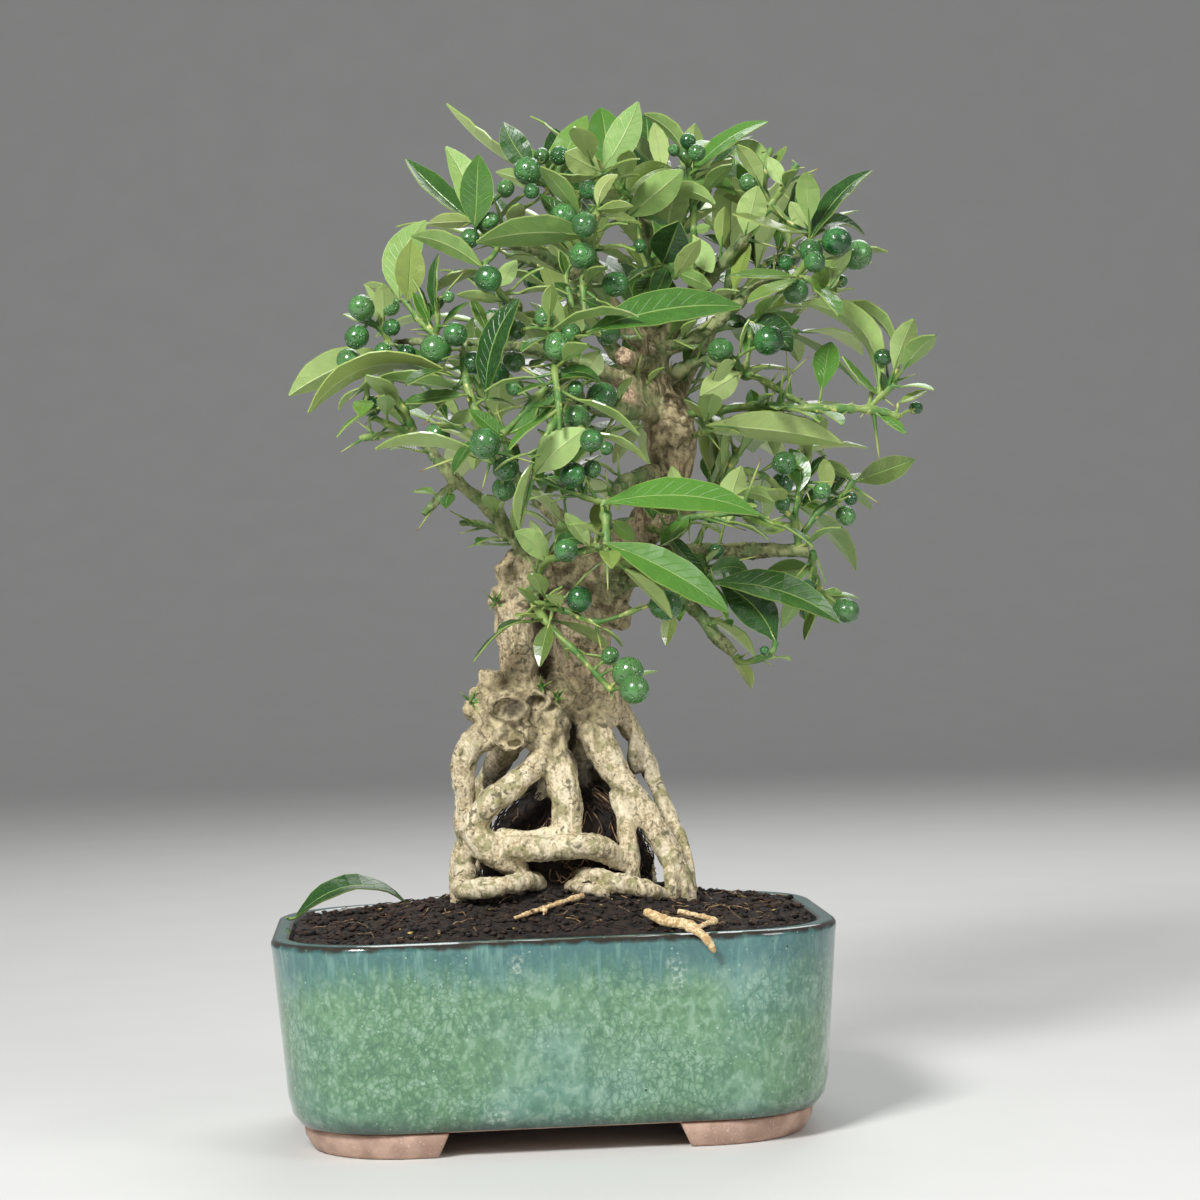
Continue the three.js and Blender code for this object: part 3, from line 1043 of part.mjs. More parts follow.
function grownSpray([name, , , count], twigs, seed) {
  const random = draws(seed);
  const [twig] = twigs;
  const pieces = twigSolids(twigs);
  for (let i = 0; i < count; i += 1) {
    const share = 0.25 + (0.75 * i) / (count - 1);
    const turn = TURN_PER_LEAF * i + random();
    const length = GROWN_LEAF_LENGTH + GROWN_LEAF_SPREAD * (random() * 2 - 1);
    const lean = 0.35 + 0.9 * share * share + 0.2 * random();
    const leaf = firstClear(name, GROWN_SHIFTS.map((turnBy) => () => (
      grownLeaf(twig, share, turn + turnBy, length, lean))));
    if (leaf) pieces.push(loft(leaf.rings));
    const direction = new THREE.Vector3(random() - 0.5, random() * 0.8, random() - 0.7).normalize();
    const foot = twig.points[1].clone().lerp(twig.points[2], random());
    if (i % 4 === 1) {
      const radius = GROWN_FRUIT_RADIUS * (0.75 + 0.3 * random());
      const centre = foot.clone().addScaledVector(direction, radius + 2.5);
      const fruit = firstClear(name, [() => fruitShape(centre, radius, twigs)]);
      if (fruit) pieces.push(...fruit.pieces);
    }
    if (i % 4 === 2) {
      const tip = foot.clone().addScaledVector(direction, -11);
      const thorn = firstClear(name, [() => thornShape(foot, tip)]);
      if (thorn) pieces.push(loft(thorn.rings));
    }
  }
  return pieces;
}

// Loose pieces on the soil
function makeFallenLeaf() {
  const base = new THREE.Vector3(...FALLEN_LEAF.base);
  const tip = new THREE.Vector3(...FALLEN_LEAF.tip);
  const bowTo = base.clone().lerp(tip, 0.5);
  bowTo.z += 2 * FALLEN_LEAF.bow;
  const foot = base.clone().add(new THREE.Vector3(-3, -1, 0.4));
  const facing = new THREE.Vector3(0, -0.35, 1);
  return loft(leafShape({ foot, base, tip, bowTo, width: FALLEN_LEAF.width, facing }).rings);
}

function makeLooseRoot(rows, extra) {
  return joined(rows.map((row) => rod(
    row.map(([x, y, z]) => new THREE.Vector3(x, y, z)),
    row.map(([, , , radius]) => radius),
    { extra },
  )));
}

const FINISHES = {
  pot: { color: 0x5a8c78, roughness: 0.22, metalness: 0 },
  screen: { color: 0x1c1d1c, roughness: 0.7, metalness: 0 },
  soil: { color: 0x2a1d14, roughness: 0.95, metalness: 0 },
  wood: { color: 0xa8946c, roughness: 0.85, metalness: 0 },
  leaf: { color: 0x4f8a3c, roughness: 0.45, metalness: 0 },
  root: { color: 0xc9a878, roughness: 0.8, metalness: 0 },
};

const wood = makeWood(0);
const woodRoom = makeWood(TOUCH_GAP);
const looseRootRoom = LOOSE_ROOTS.map(({ rods }) => makeLooseRoot(rods, TOUCH_GAP));
const nodes = [
  { name: 'pot', shape: makePot(), finish: FINISHES.pot },
  { name: 'drain_screen_left', shape: makeScreen(-1), finish: FINISHES.screen },
  { name: 'drain_screen_right', shape: makeScreen(1), finish: FINISHES.screen },
  { name: 'soil', shape: makeSoil(joined([woodRoom, ...looseRootRoom])), finish: FINISHES.soil },
  { name: 'trunk_and_roots', shape: wood, finish: FINISHES.wood },
  ...LOOSE_ROOTS.map(({ name, rods }) => ({ name, shape: makeLooseRoot(rods, 0), finish: FINISHES.root })),
  { name: 'fallen_leaf', shape: makeFallenLeaf(), finish: FINISHES.leaf },
];

// Wood and every spray's twigs take their room before any leaf is placed
const placed = SPRAYS.map((spray) => ({ spray, twigs: twigPaths(spray.twigs) }));
const grown = GROWN_SPRAYS.map((row) => ({ row, twigs: grownTwig(row) }));
woodPaths.forEach(({ points, radii }) => takeRoom('trunk_and_roots', ballsAlong(points, radii, TWIG_ROOM)));
placed.forEach(({ spray, twigs }) => twigs.forEach(({ points, radii }) => (
  takeRoom(spray.name, ballsAlong(points, radii, TWIG_ROOM)))));
grown.forEach(({ row, twigs }) => twigs.forEach(({ points, radii }) => (
  takeRoom(row[0], ballsAlong(points, radii, TWIG_ROOM)))));

placed.forEach(({ spray, twigs }) => {
  const shape = joined(placedSpray(spray, twigs)).subtract(woodRoom);
  nodes.push({ name: spray.name, shape: largestBody(shape), finish: FINISHES.leaf });
});
grown.forEach(({ row, twigs }, i) => {
  const shape = joined(grownSpray(row, twigs, FIRST_GROWN_SEED + i)).subtract(woodRoom);
  nodes.push({ name: row[0], shape: largestBody(shape), finish: FINISHES.leaf });
});

// The origin is at the middle of the whole tree's footprint, on the surface that it stands on
const boxes = nodes.map(({ shape }) => shape.boundingBox());
const [lowX, lowY, lowZ] = [0, 1, 2].map((axis) => Math.min(...boxes.map(({ min }) => min[axis])));
const [highX, highY] = [0, 1].map((axis) => Math.max(...boxes.map(({ max }) => max[axis])));
const shift = new THREE.Vector3(-(lowX + highX) / 2, -(lowY + highY) / 2, -lowZ);

const tree = new THREE.Group();
tree.name = 'kumquat_bonsai';
nodes.forEach((node) => tree.add(meshOf(node, shift)));

export default tree;
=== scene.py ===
"""Looks of a kumquat bonsai in a glazed pot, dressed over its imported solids.

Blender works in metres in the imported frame. The tree's own sizes are in millimetres about the pot's centre,
with +X to the right, +Y to the back and +Z up, and to_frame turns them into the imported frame.
"""

import logging
import math
from contextlib import contextmanager
from dataclasses import dataclass, field
from enum import Enum
from functools import cache
from typing import Callable, Iterator

import bpy
import numpy as np
from mathutils import Matrix, Vector

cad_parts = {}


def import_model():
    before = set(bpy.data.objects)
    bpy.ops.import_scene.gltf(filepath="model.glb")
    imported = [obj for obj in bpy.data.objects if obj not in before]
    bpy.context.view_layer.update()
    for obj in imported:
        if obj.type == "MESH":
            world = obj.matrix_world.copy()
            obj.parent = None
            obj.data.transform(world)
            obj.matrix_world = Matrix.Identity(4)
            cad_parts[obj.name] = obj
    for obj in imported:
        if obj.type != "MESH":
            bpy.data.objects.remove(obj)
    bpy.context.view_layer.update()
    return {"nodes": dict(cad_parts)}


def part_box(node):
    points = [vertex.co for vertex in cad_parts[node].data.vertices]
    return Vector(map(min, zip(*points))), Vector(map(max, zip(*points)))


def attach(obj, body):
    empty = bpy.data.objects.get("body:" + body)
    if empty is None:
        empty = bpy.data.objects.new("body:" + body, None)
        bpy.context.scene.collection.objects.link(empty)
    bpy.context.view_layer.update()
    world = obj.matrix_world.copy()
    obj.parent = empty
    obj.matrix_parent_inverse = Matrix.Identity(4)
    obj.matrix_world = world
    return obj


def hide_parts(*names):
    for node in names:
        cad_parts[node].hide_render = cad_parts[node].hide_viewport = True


Array = np.ndarray
Material = bpy.types.Material
Object = bpy.types.Object
Socket = bpy.types.NodeSocket

LOG = logging.getLogger("kumquat_bonsai")
INNER_SHOOTS = "inner_shoots"

# A millimetre in metres, and a metre in millimetres
MM = 0.001
METRE = 1000

# The solids' draws turn by this rounded circle, so the scene's do too
FULL_TURN = 6.28

# Starts of the rows of draws, and the room kept round twigs and blades
WOOD_SEED, BUD_SEED, LEAF_SEED, ROOT_SEED = 11, 33, 5, 8
GROWTH_SEED, SHOOT_SEED, LIMB_SEED, SPRAY_SEED = 100, 300, 400, 500
TWIG_ROOM, BLADE_ROOM, SMALL_BLADE_ROOM = 0.9, 2.2, 1.2

ORIGIN = (0, 0, 0)
UP = np.array([0.0, 0.0, 1.0])

# Places are read off a front elevation, as the tree is seen from this eye point: x across, z up, both on the
# plane through the trunk, and then how far behind that plane (+) or in front of it (-) the place lies.
EYE = np.array([-50.0, -1039.0, 180.5])


class Face(Enum):
    """Which face of a leaf shows from the front."""

    TOP = 1
    UNDER = -1


TOP = Face.TOP
UNDER = Face.UNDER


def colour(red: int, green: int, blue: int) -> tuple[float, float, float, float]:
    """Gives the linear colour of an 8-bit screen colour.

    Args:
        red: red from 0 to 255.
        green: green from 0 to 255.
        blue: blue from 0 to 255.

    Returns:
        Linear red, green, blue and an alpha of 1.
    """

    def linear(value: int) -> float:
        """Gives one channel's linear value."""
        share = value / 255
        return share / 12.92 if share <= 0.04045 else ((share + 0.055) / 1.055) ** 2.4

    return linear(red), linear(green), linear(blue), 1.0


def draws(seed: int) -> Iterator[float]:
    """Yields repeatable draws from 0 to 1, the same as the solids were grown with.

    Args:
        seed: the start of the row of draws.

    Yields:
        The next draw.
    """
    word = 0xFFFFFFFF
    state = seed & word
    while True:
        state = (state + 0x6D2B79F5) & word
        mixed = ((state ^ (state >> 15)) * (state | 1)) & word
        mixed ^= (mixed + (((mixed ^ (mixed >> 7)) * (mixed | 61)) & word)) & word
        yield (mixed ^ (mixed >> 14)) / 4294967296


def scale_at(depth: float) -> float:
    """Gives how much larger a thing is than on the elevation, at a depth behind its plane."""
    return (depth - EYE[1]) / -EYE[1]


def seen(x: float, z: float, depth: float) -> Array:
    """Slides a place read off the elevation along the line of sight to its depth."""
    return (np.array([x, 0.0, z]) - EYE) * scale_at(depth) + EYE


def unit(vector: Array) -> Array:
    """Gives a vector's direction at length 1."""
    return vector / max(float(np.linalg.norm(vector)), 1e-9)


def between(first: Array, second: Array, share: float) -> Array:
    """Gives the point a share of the way from one point to another."""
    return first + (second - first) * share


def leaning(along: Array, turn: float, lean: float) -> Array:
    """Gives a direction outward from a twig at a turn round it, leaning along it."""
    across, normal = across_and_normal(along)
    outward = across * math.cos(turn) + normal * math.sin(turn)
    return outward * math.cos(lean) + along * math.sin(lean)


def across_and_normal(along: Array) -> tuple[Array, Array]:
    """Gives two directions square to a direction and to each other.

    Args:
        along: a direction of length 1.

    Returns:
        The direction across and the one nearest to upward, or to +X on a steep path.
    """
    start = np.array([1.0, 0.0, 0.0]) if abs(along[2]) > 0.9 else np.array([0.0, 0.0, 1.0])
    normal = unit(start - along * float(np.dot(start, along)))
    return np.cross(along, normal), normal


def smooth_path(points: Array, radii: Array, step: float) -> tuple[Array, Array]:
    """Rounds a path's bends without leaving its points.

    Args:
        points: the path's points.
        radii: the radius at each.
        step: about how far apart the new points lie.

    Returns:
        The new points and the radius at each.
    """
    padded = np.vstack([2 * points[0] - points[1], points, 2 * points[-1] - points[-2]])
    places, sizes = [points[0]], [radii[0]]
    for i in range(len(points) - 1):
        a, b, c, d = padded[i:i + 4]
        count = max(2, int(np.ceil(np.linalg.norm(c - b) / step)))
        for k in range(1, count + 1):
            t = k / count
            places.append(0.5
                          * (2 * b + (c - a) * t + (2 * a - 5 * b + 4 * c - d) * t * t
                             + (3 * b - a - 3 * c + d) * t * t * t))
            sizes.append(radii[i] + (radii[i + 1] - radii[i]) * t * t * (3 - 2 * t))
    return np.array(places), np.array(sizes)


@cache
def pot_centre() -> Array:
    """Finds the middle of the pot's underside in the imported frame."""
    low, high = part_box("pot")
    return np.array([(low.x + high.x) / 2, (low.y + high.y) / 2, low.z])


def to_frame(points: Array) -> Array:
    """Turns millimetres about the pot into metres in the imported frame."""
    return np.asarray(points) * MM + pot_centre()


def placed(x: float, y: float, z: float) -> tuple[float, float, float]:
    """Gives one place about the pot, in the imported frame."""
    return tuple(float(value) for value in to_frame(np.array([x, y, z])))


def deselect_all() -> None:
    """Leaves nothing selected, so that an operator acts on what is selected next."""
    if bpy.context.object and bpy.context.object.mode != "OBJECT":
        bpy.ops.object.mode_set(mode="OBJECT")
    bpy.ops.object.select_all(action="DESELECT")


def make_active(piece: Object) -> None:
    """Selects one object alone and makes it active."""
    deselect_all()
    piece.select_set(True)
    bpy.context.view_layer.objects.active = piece


def shape_selected(piece: Object, chosen: Callable[[Vector], bool], shape: Callable[[], None]) -> None:
    """Shapes the chosen vertices of a mesh in edit mode.

    Args:
        piece: the mesh's object.
        chosen: says whether a vertex at a place is taken.
        shape: runs the operators.
    """
    make_active(piece)
    bpy.ops.object.mode_set(mode="EDIT")
    bpy.ops.mesh.select_mode(type="VERT")
    bpy.ops.mesh.select_all(action="DESELECT")
    bpy.ops.object.mode_set(mode="OBJECT")
    for vertex in piece.data.vertices:
        vertex.select = chosen(vertex.co)
    bpy.ops.object.mode_set(mode="EDIT")
    shape()
    bpy.ops.object.mode_set(mode="OBJECT")


def resize_where(piece: Object, chosen: Callable[[Vector], bool], value: tuple,
                 centre: tuple = ORIGIN) -> None:
    """Resizes the chosen vertices of a mesh about a centre."""
    shape_selected(piece, chosen, lambda: bpy.ops.transform.resize(value=value, center_override=centre))


@contextmanager
def editing(piece: Object) -> Iterator[None]:
    """Opens a mesh in edit mode with all of it selected, and closes it again."""
    make_active(piece)
    bpy.ops.object.mode_set(mode="EDIT")
    bpy.ops.mesh.select_all(action="SELECT")
    yield
    bpy.ops.object.mode_set(mode="OBJECT")


def face_outward() -> None:
    """Turns all faces of the mesh in edit mode outward."""
    bpy.ops.mesh.select_all(action="SELECT")
    bpy.ops.mesh.normals_make_consistent(inside=False)


def apply_modifier(piece: Object, kind: str, **settings: object) -> None:
    """Adds a modifier to a mesh and applies it.

    Args:
        piece: the mesh's object.
        kind: the modifier's type.
        settings: the modifier's own settings.
    """
    make_active(piece)
    modifier = piece.modifiers.new(kind.lower(), kind)
    for key, value in settings.items():
        setattr(modifier, key, value)
    bpy.ops.object.modifier_apply(modifier=modifier.name)


def displace(piece: Object, kind: str, size: float, strength: float, **settings: object) -> None:
    """Moves a mesh's surface in and out with a texture.

    Args:
        piece: the mesh's object.
        kind: the texture's type.
        size: about how large its forms are, in millimetres.
        strength: how far it reaches, in millimetres.
        settings: more of the modifier's own settings.
    """
    texture = bpy.data.textures.new(kind.lower(), kind)
    texture.noise_scale = size * MM
    settings.setdefault("texture_coords", "LOCAL")
    apply_modifier(piece, "DISPLACE", texture=texture, strength=strength * MM, mid_level=0.5, **settings)


def paint(piece: Object, *materials: Material) -> None:
    """Gives a mesh these materials alone."""
    piece.data.materials.clear()
    for material in materials:
        piece.data.materials.append(material)


def join(pieces: list[Object], name: str) -> Object:
    """Joins meshes into one, with a name of its own.

    Args:
        pieces: the objects; the first one stays.
        name: the joined object's name.

    Returns:
        The joined object.
    """
    make_active(pieces[0])
    for piece in pieces:
        piece.select_set(True)
    if len(pieces) > 1:
        bpy.ops.object.join()
    joined = bpy.context.view_layer.objects.active
    joined.name = name
    joined.data.name = name
    return joined


def settle(piece: Object) -> None:
    """Puts a mesh's place into its vertices, so that its object is at the origin, unturned and unscaled."""
    make_active(piece)
    bpy.ops.object.transform_apply(location=True, rotation=True, scale=True)


def smooth(piece: Object, degrees: float) -> None:
    """Shades a mesh smooth, apart from edges sharper than an angle."""
    make_active(piece)
    bpy.ops.object.shade_smooth_by_angle(angle=math.radians(degrees))


def copy_of(template: Object, vertices: Array) -> Object:
    """Copies a modelled shape with its own mesh, and moves the copy's vertices.

    Args:
        template: the modelled shape.
        vertices: the new places, in metres.

    Returns:
        The copy.
    """
    made = template.copy()
    made.data = template.data.copy()
    move_vertices(made, vertices)
    bpy.context.scene.collection.objects.link(made)
    return made


def vertices_of(piece: Object) -> Array:
    """Gives a mesh's vertices as rows of numbers."""
    places = np.zeros(3 * len(piece.data.vertices), np.float32)
    piece.data.vertices.foreach_get("co", places)
    return places.reshape(-1, 3).astype(float)


def move_vertices(piece: Object, places: Array) -> None:
    """Puts a mesh's vertices at new places, in metres."""
    piece.data.vertices.foreach_set("co", places.astype(np.float32).ravel())


def note(piece: Object, name: str, value: float | Array) -> None:
    """Stores a number at each vertex, for a material to read.

    Args:
        piece: the mesh's object.
        name: the attribute's name.
        value: one number, or one for each vertex.
    """
    attribute = piece.data.attributes.get(name) or piece.data.attributes.new(name, "FLOAT", "POINT")
    values = np.broadcast_to(np.asarray(value, np.float32), (len(piece.data.vertices),))
    attribute.data.foreach_set("value", np.ascontiguousarray(values))


def tubes(name: str, paths: list[tuple[Array, Array]], sides: int, step: float) -> Object:
    """Makes round rods along paths, as one mesh.

    Args:
        name: the object's name.
        paths: for each rod, its points and its radii in millimetres.
        sides: how many sides a rod has, an even number.
        step: about how far apart the rods' rings lie.

    Returns:
        The mesh's object.
    """
    deselect_all()
    bpy.ops.curve.primitive_bezier_curve_add()
    rods = bpy.context.object
    rods.name = name
    rods.location = (0, 0, 0)
    rods.data.dimensions = "3D"
    rods.data.splines.clear()
    for points, radii in paths:
        places, sizes = smooth_path(np.asarray(points, float), np.asarray(radii, float), step)
        spline = rods.data.splines.new("POLY")
        spline.points.add(len(places) - 1)
        rows = np.hstack([to_frame(places), np.ones((len(places), 1))])
        spline.points.foreach_set("co", rows.astype(np.float32).ravel())
        spline.points.foreach_set("radius", sizes.astype(np.float32))
        spline.use_smooth = True
    rods.data.bevel_depth = MM
    rods.data.bevel_resolution = max(sides // 2 - 2, 0)
    rods.data.use_fill_caps = True
    bpy.ops.object.convert(target="MESH")
    return bpy.context.object


# Materials

class Shader:
    """A material's nodes, added one by one around its Principled surface."""

    def __init__(self, name: str, **settings: float) -> None:
        """Starts a material.

        Args:
            name: the material's name.
            settings: values of the surface's own sockets, with _ for each space.
        """
        self.material = bpy.data.materials.new(name)
        self.material.use_nodes = True
        self.tree = self.material.node_tree
        self.surface = self.tree.nodes["Principled BSDF"]
        for key, value in settings.items():
            self.surface.inputs[key.replace("_", " ")].default_value = value
        self.position = self.node("ShaderNodeTexCoord").outputs["Object"]
        self.base: Socket | None = None

    def node(self, kind: str, inputs: dict | None = None, **settings: object) -> bpy.types.Node:
        """Adds a node.

        Args:
            kind: the node's type.
            inputs: for each input by name or number, a socket to link or a value.
            settings: the node's own settings.

        Returns:
            The node.
        """
        made = self.tree.nodes.new(kind)
        for key, value in settings.items():
            setattr(made, key, value)
        for key, value in (inputs or {}).items():
            if isinstance(value, Socket):
                self.tree.links.new(value, made.inputs[key])
            else:
                made.inputs[key].default_value = value
        return made

    def stretched(self, scale: tuple[float, float, float]) -> Socket:
        """Gives object coordinates, stretched by a factor on each axis."""
        return self.node("ShaderNodeMapping", {0: self.position, "Scale": scale}).outputs[0]

    def noise(self, size: float, detail: float, vector: Socket | None = None, warp: float = 0.0) -> Socket:
        """Gives cloudy noise from 0 to 1.

        Args:
            size: about how large a cloud is, in millimetres.
            detail: how many finer layers it has.
            vector: the coordinates, or None for the object's own.
            warp: how far it twists itself.

        Returns:
            The noise's value.
        """
        inputs = {"Vector": vector or self.position, "Scale": METRE / size}
        inputs.update({"Detail": detail, "Distortion": warp})
        return self.node("ShaderNodeTexNoise", inputs).outputs[0]

    def cells(self, size: float, feature: str = "F1", vector: Socket | None = None) -> Socket:
        """Gives the distance in a pattern of cells of a size in millimetres."""
        inputs = {"Vector": vector or self.position, "Scale": METRE / size}
        return self.node("ShaderNodeTexVoronoi", inputs, feature=feature).outputs["Distance"]

    def warped(self, vector: Socket, size: float, reach: float) -> Socket:
        """Gives coordinates pushed about by clouds of a size, as far as a reach in millimetres."""
        inputs = {"Vector": self.position, "Scale": METRE / size}
        cloud = self.node("ShaderNodeTexNoise", inputs).outputs["Color"]
        centred = {0: cloud, 1: (0.5, 0.5, 0.5)}
        push = self.node("ShaderNodeVectorMath", centred, operation="SUBTRACT").outputs[0]
        inputs = {0: push, 1: (2 * reach * MM,) * 3, 2: vector}
        return self.node("ShaderNodeVectorMath", inputs, operation="MULTIPLY_ADD").outputs[0]

    def reckon(self, operation: str, first: object, second: object = 0.0) -> Socket:
        """Gives the result of a sum on two values."""
        return self.node("ShaderNodeMath", {0: first, 1: second}, operation=operation).outputs[0]

    def times(self, first: object, second: object) -> Socket:
        """Gives the product of two values."""
        return self.reckon("MULTIPLY", first, second)

    def plus(self, first: object, second: object) -> Socket:
        """Gives the sum of two values."""
        return self.reckon("ADD", first, second)

    def spread(self, value: Socket, low: float, high: float) -> Socket:
        """Stretches the part of a value from low to high over 0 to 1, smoothly and no further."""
        inputs = {"Value": value, "From Min": low, "From Max": high}
        return self.node("ShaderNodeMapRange", inputs, interpolation_type="SMOOTHSTEP").outputs[0]

    def patches(self, size: float, detail: float, low: float, high: float, warp: float = 0.0) -> Socket:
        """Gives the part of a noise from low to high, as clouds from 0 to 1."""
        return self.spread(self.noise(size, detail, warp=warp), low, high)

    def blend(self, share: object, first: object, second: object) -> Socket:
        """Gives a share of the way from one colour to another."""
        return self.node("ShaderNodeMix", {0: share, 6: first, 7: second}, data_type="RGBA").outputs[2]

    def tint(self, share: Socket, tone: object, strength: float = 1.0) -> None:
        """Takes the surface's colour a share of the way to a tone, at most as far as a strength."""
        self.base = self.blend(self.times(share, strength), self.base, tone)

    def stored(self, name: str) -> Socket:
        """Reads a number stored at the vertices."""
        return self.node("ShaderNodeAttribute", attribute_name=name).outputs["Fac"]

    def axis(self, name: str) -> Socket:
        """Gives one of the object's coordinates, in metres."""
        return self.node("ShaderNodeSeparateXYZ", {0: self.position}).outputs[name]

    def finish(self, rough: Socket | None = None, relief: Socket | None = None, depth: float = 0.1,
               strength: float = 1.0) -> Material:
        """Links colour, roughness and relief to the surface.

        Args:
            rough: the roughness, or None to leave the surface's own.
            relief: the height from 0 to 1, or None.
            depth: how deep the relief is, in millimetres.
            strength: how strongly the relief shows.

        Returns:
            The material.
        """
        self.tree.links.new(self.base, self.surface.inputs["Base Color"])
        if rough:
            self.tree.links.new(rough, self.surface.inputs["Roughness"])
        if relief:
            inputs = {"Height": relief, "Distance": depth * MM, "Strength": strength}
            bump = self.node("ShaderNodeBump", inputs)
            self.tree.links.new(bump.outputs[0], self.surface.inputs["Normal"])
        return self.material


@dataclass(frozen=True)
class Glaze:
    """Green glaze that breaks brown along the lip, with streaks, crackle and mineral stains."""

    top: float
    foot: float
    middle: tuple = colour(88, 128, 112)
    pale: tuple = colour(122, 156, 142)
    moss: tuple = colour(96, 134, 100)
    teal: tuple = colour(56, 100, 104)
    brown: tuple = colour(44, 30, 22)
    stains: tuple = ((-14.0, 63.0, 3.0, 5.0), (38.0, 58.0, 4.0, 8.0), (-22.0, 14.0, 5.0, 3.0))

    def material(self) -> Material:
        """Builds the glaze."""
        shader = Shader("pot_glaze", Roughness=0.16, IOR=1.5, Coat_Weight=0.4, Coat_Roughness=0.05)
        cloud = shader.noise(34, 4)
        streak = shader.noise(2.6, 4, shader.stretched((1, 1, 0.1)), warp=0.4)
        cell = shader.noise(3.4, 2, shader.stretched((1, 1, 0.75)), warp=0.6)
        clouded = shader.blend(shader.spread(cloud, 0.35, 0.65), self.middle, self.pale)
        green = shader.spread(shader.noise(52, 3, shader.stretched((1, 1, 1.6))), 0.36, 0.62)
        shader.base = shader.blend(green, clouded, self.moss)
        shader.tint(shader.spread(cell, 0.5, 0.66), colour(150, 178, 158), 0.4)
        shader.tint(shader.spread(cell, 0.48, 0.34), colour(60, 98, 80), 0.45)
        self.crackle(shader)
        self.run(shader, cloud, streak)
        specks = shader.times(shader.spread(shader.cells(2.6), 0.17, 0.06), shader.patches(9, 3, 0.48, 0.6))
        shader.tint(specks, colour(170, 196, 178), 0.6)
        pits = shader.times(shader.spread(shader.cells(7.0), 0.07, 0.04), shader.patches(21, 2, 0.5, 0.55))
        shader.tint(pits, colour(30, 52, 44))
        stain = shader.times(self.stain(shader), shader.patches(1.6, 4, 0.42, 0.62))
        shader.tint(stain, colour(176, 192, 176), 0.55)
        rough = shader.plus(0.13, shader.times(shader.plus(stain, specks), 0.3))
        relief = shader.plus(shader.times(cloud, 0.8), shader.times(cell, 0.25))
        relief = shader.reckon("SUBTRACT", relief, shader.times(pits, 0.5))
        return shader.finish(rough, relief, depth=0.5, strength=0.35)

    def crackle(self, shader: Shader) -> None:
        """Adds the net of darker lines round pale hearts, and sparse pale hairlines."""
        places = shader.warped(shader.stretched((1, 1, 0.7)), 3.2, 1.9)
        shader.tint(shader.spread(shader.cells(2.1, "F1", places), 0.45, 0.1), colour(150, 180, 156), 0.3)
        net = shader.spread(shader.cells(2.1, "DISTANCE_TO_EDGE", places), 0.16, 0.02)
        shader.tint(shader.times(net, shader.patches(24, 3, 0.35, 0.58)), colour(58, 98, 76), 0.5)
        hairline = shader.spread(shader.cells(4.2, "DISTANCE_TO_EDGE"), 0.022, 0.0)
        shader.tint(shader.times(hairline, shader.patches(36, 2, 0.54, 0.66)), colour(172, 200, 182), 0.35)

    def run(self, shader: Shader, cloud: Socket, streak: Socket) -> None:
        """Adds what the glaze does as it runs: teal and streaks above, a dark pool below, and a brown lip.

        Args:
            shader: the glaze's nodes.
            cloud: wide clouds.
            streak: upright streaks.
        """
        height = shader.axis("Z")
        wander = shader.plus(shader.times(cloud, 0.016), shader.times(streak, 0.02))
        band = shader.spread(shader.plus(height, wander), (self.top - 1) * MM, (self.top + 13) * MM)
        shader.tint(band, self.teal, 0.8)
        upper = shader.spread(height, (self.top - 34) * MM, (self.top - 6) * MM)
        shader.tint(shader.times(shader.spread(streak, 0.52, 0.72), upper), colour(120, 160, 146), 0.5)
        foot_line = shader.plus(height, shader.times(shader.noise(12, 3), 0.007))
        pooled = shader.spread(foot_line, (self.foot + 11) * MM, (self.foot + 3) * MM)
        shader.tint(pooled, colour(26, 38, 32), 0.85)
        lip_line = shader.plus(height, shader.times(shader.noise(5, 4), 0.0036))
        lip = shader.spread(lip_line, (self.top - 0.9) * MM, (self.top + 1.0) * MM)
        edges = shader.spread(height, (self.top - 0.03) * MM, (self.top - 0.3) * MM)
        shader.tint(shader.times(lip, edges), self.brown, 0.93)

    def stain(self, shader: Shader) -> Socket:
        """Masks the pot's mineral stains, each given by x, height, half its width and half its height."""
        mask = None
        for x, z, width, drop in self.stains:
            place = placed(x, 0, z)
            wobble = shader.times(shader.reckon("SUBTRACT", shader.noise(5, 3), 0.5), 0.006)
            aside = shader.reckon("SUBTRACT", shader.plus(shader.axis("X"), wobble), place[0])
            aside = shader.reckon("DIVIDE", shader.reckon("ABSOLUTE", aside), width * MM)
            along = shader.reckon("ABSOLUTE", shader.reckon("SUBTRACT", shader.axis("Z"), place[2]))
            along = shader.reckon("DIVIDE", along, drop * MM)
            one = shader.spread(shader.reckon("MAXIMUM", aside, along), 1.0, 0.2)
            mask = one if mask is None else shader.reckon("MAXIMUM", mask, one)
        return mask


@dataclass(frozen=True)
class BareClay:
    """Unglazed pinkish clay of the pot's feet and underside."""

    middle: tuple = colour(188, 158, 140)
    dark: tuple = colour(160, 130, 114)
    pale: tuple = colour(208, 192, 178)

    def material(self) -> Material:
        """Builds the clay."""
        shader = Shader("bare_clay", Roughness=0.8)
        grit = shader.noise(0.7, 4)
        shader.base = shader.blend(shader.patches(9, 4, 0.35, 0.65), self.middle, self.dark)
        shader.tint(shader.spread(grit, 0.6, 0.75), self.pale)
        return shader.finish(relief=grit, depth=0.3, strength=0.5)


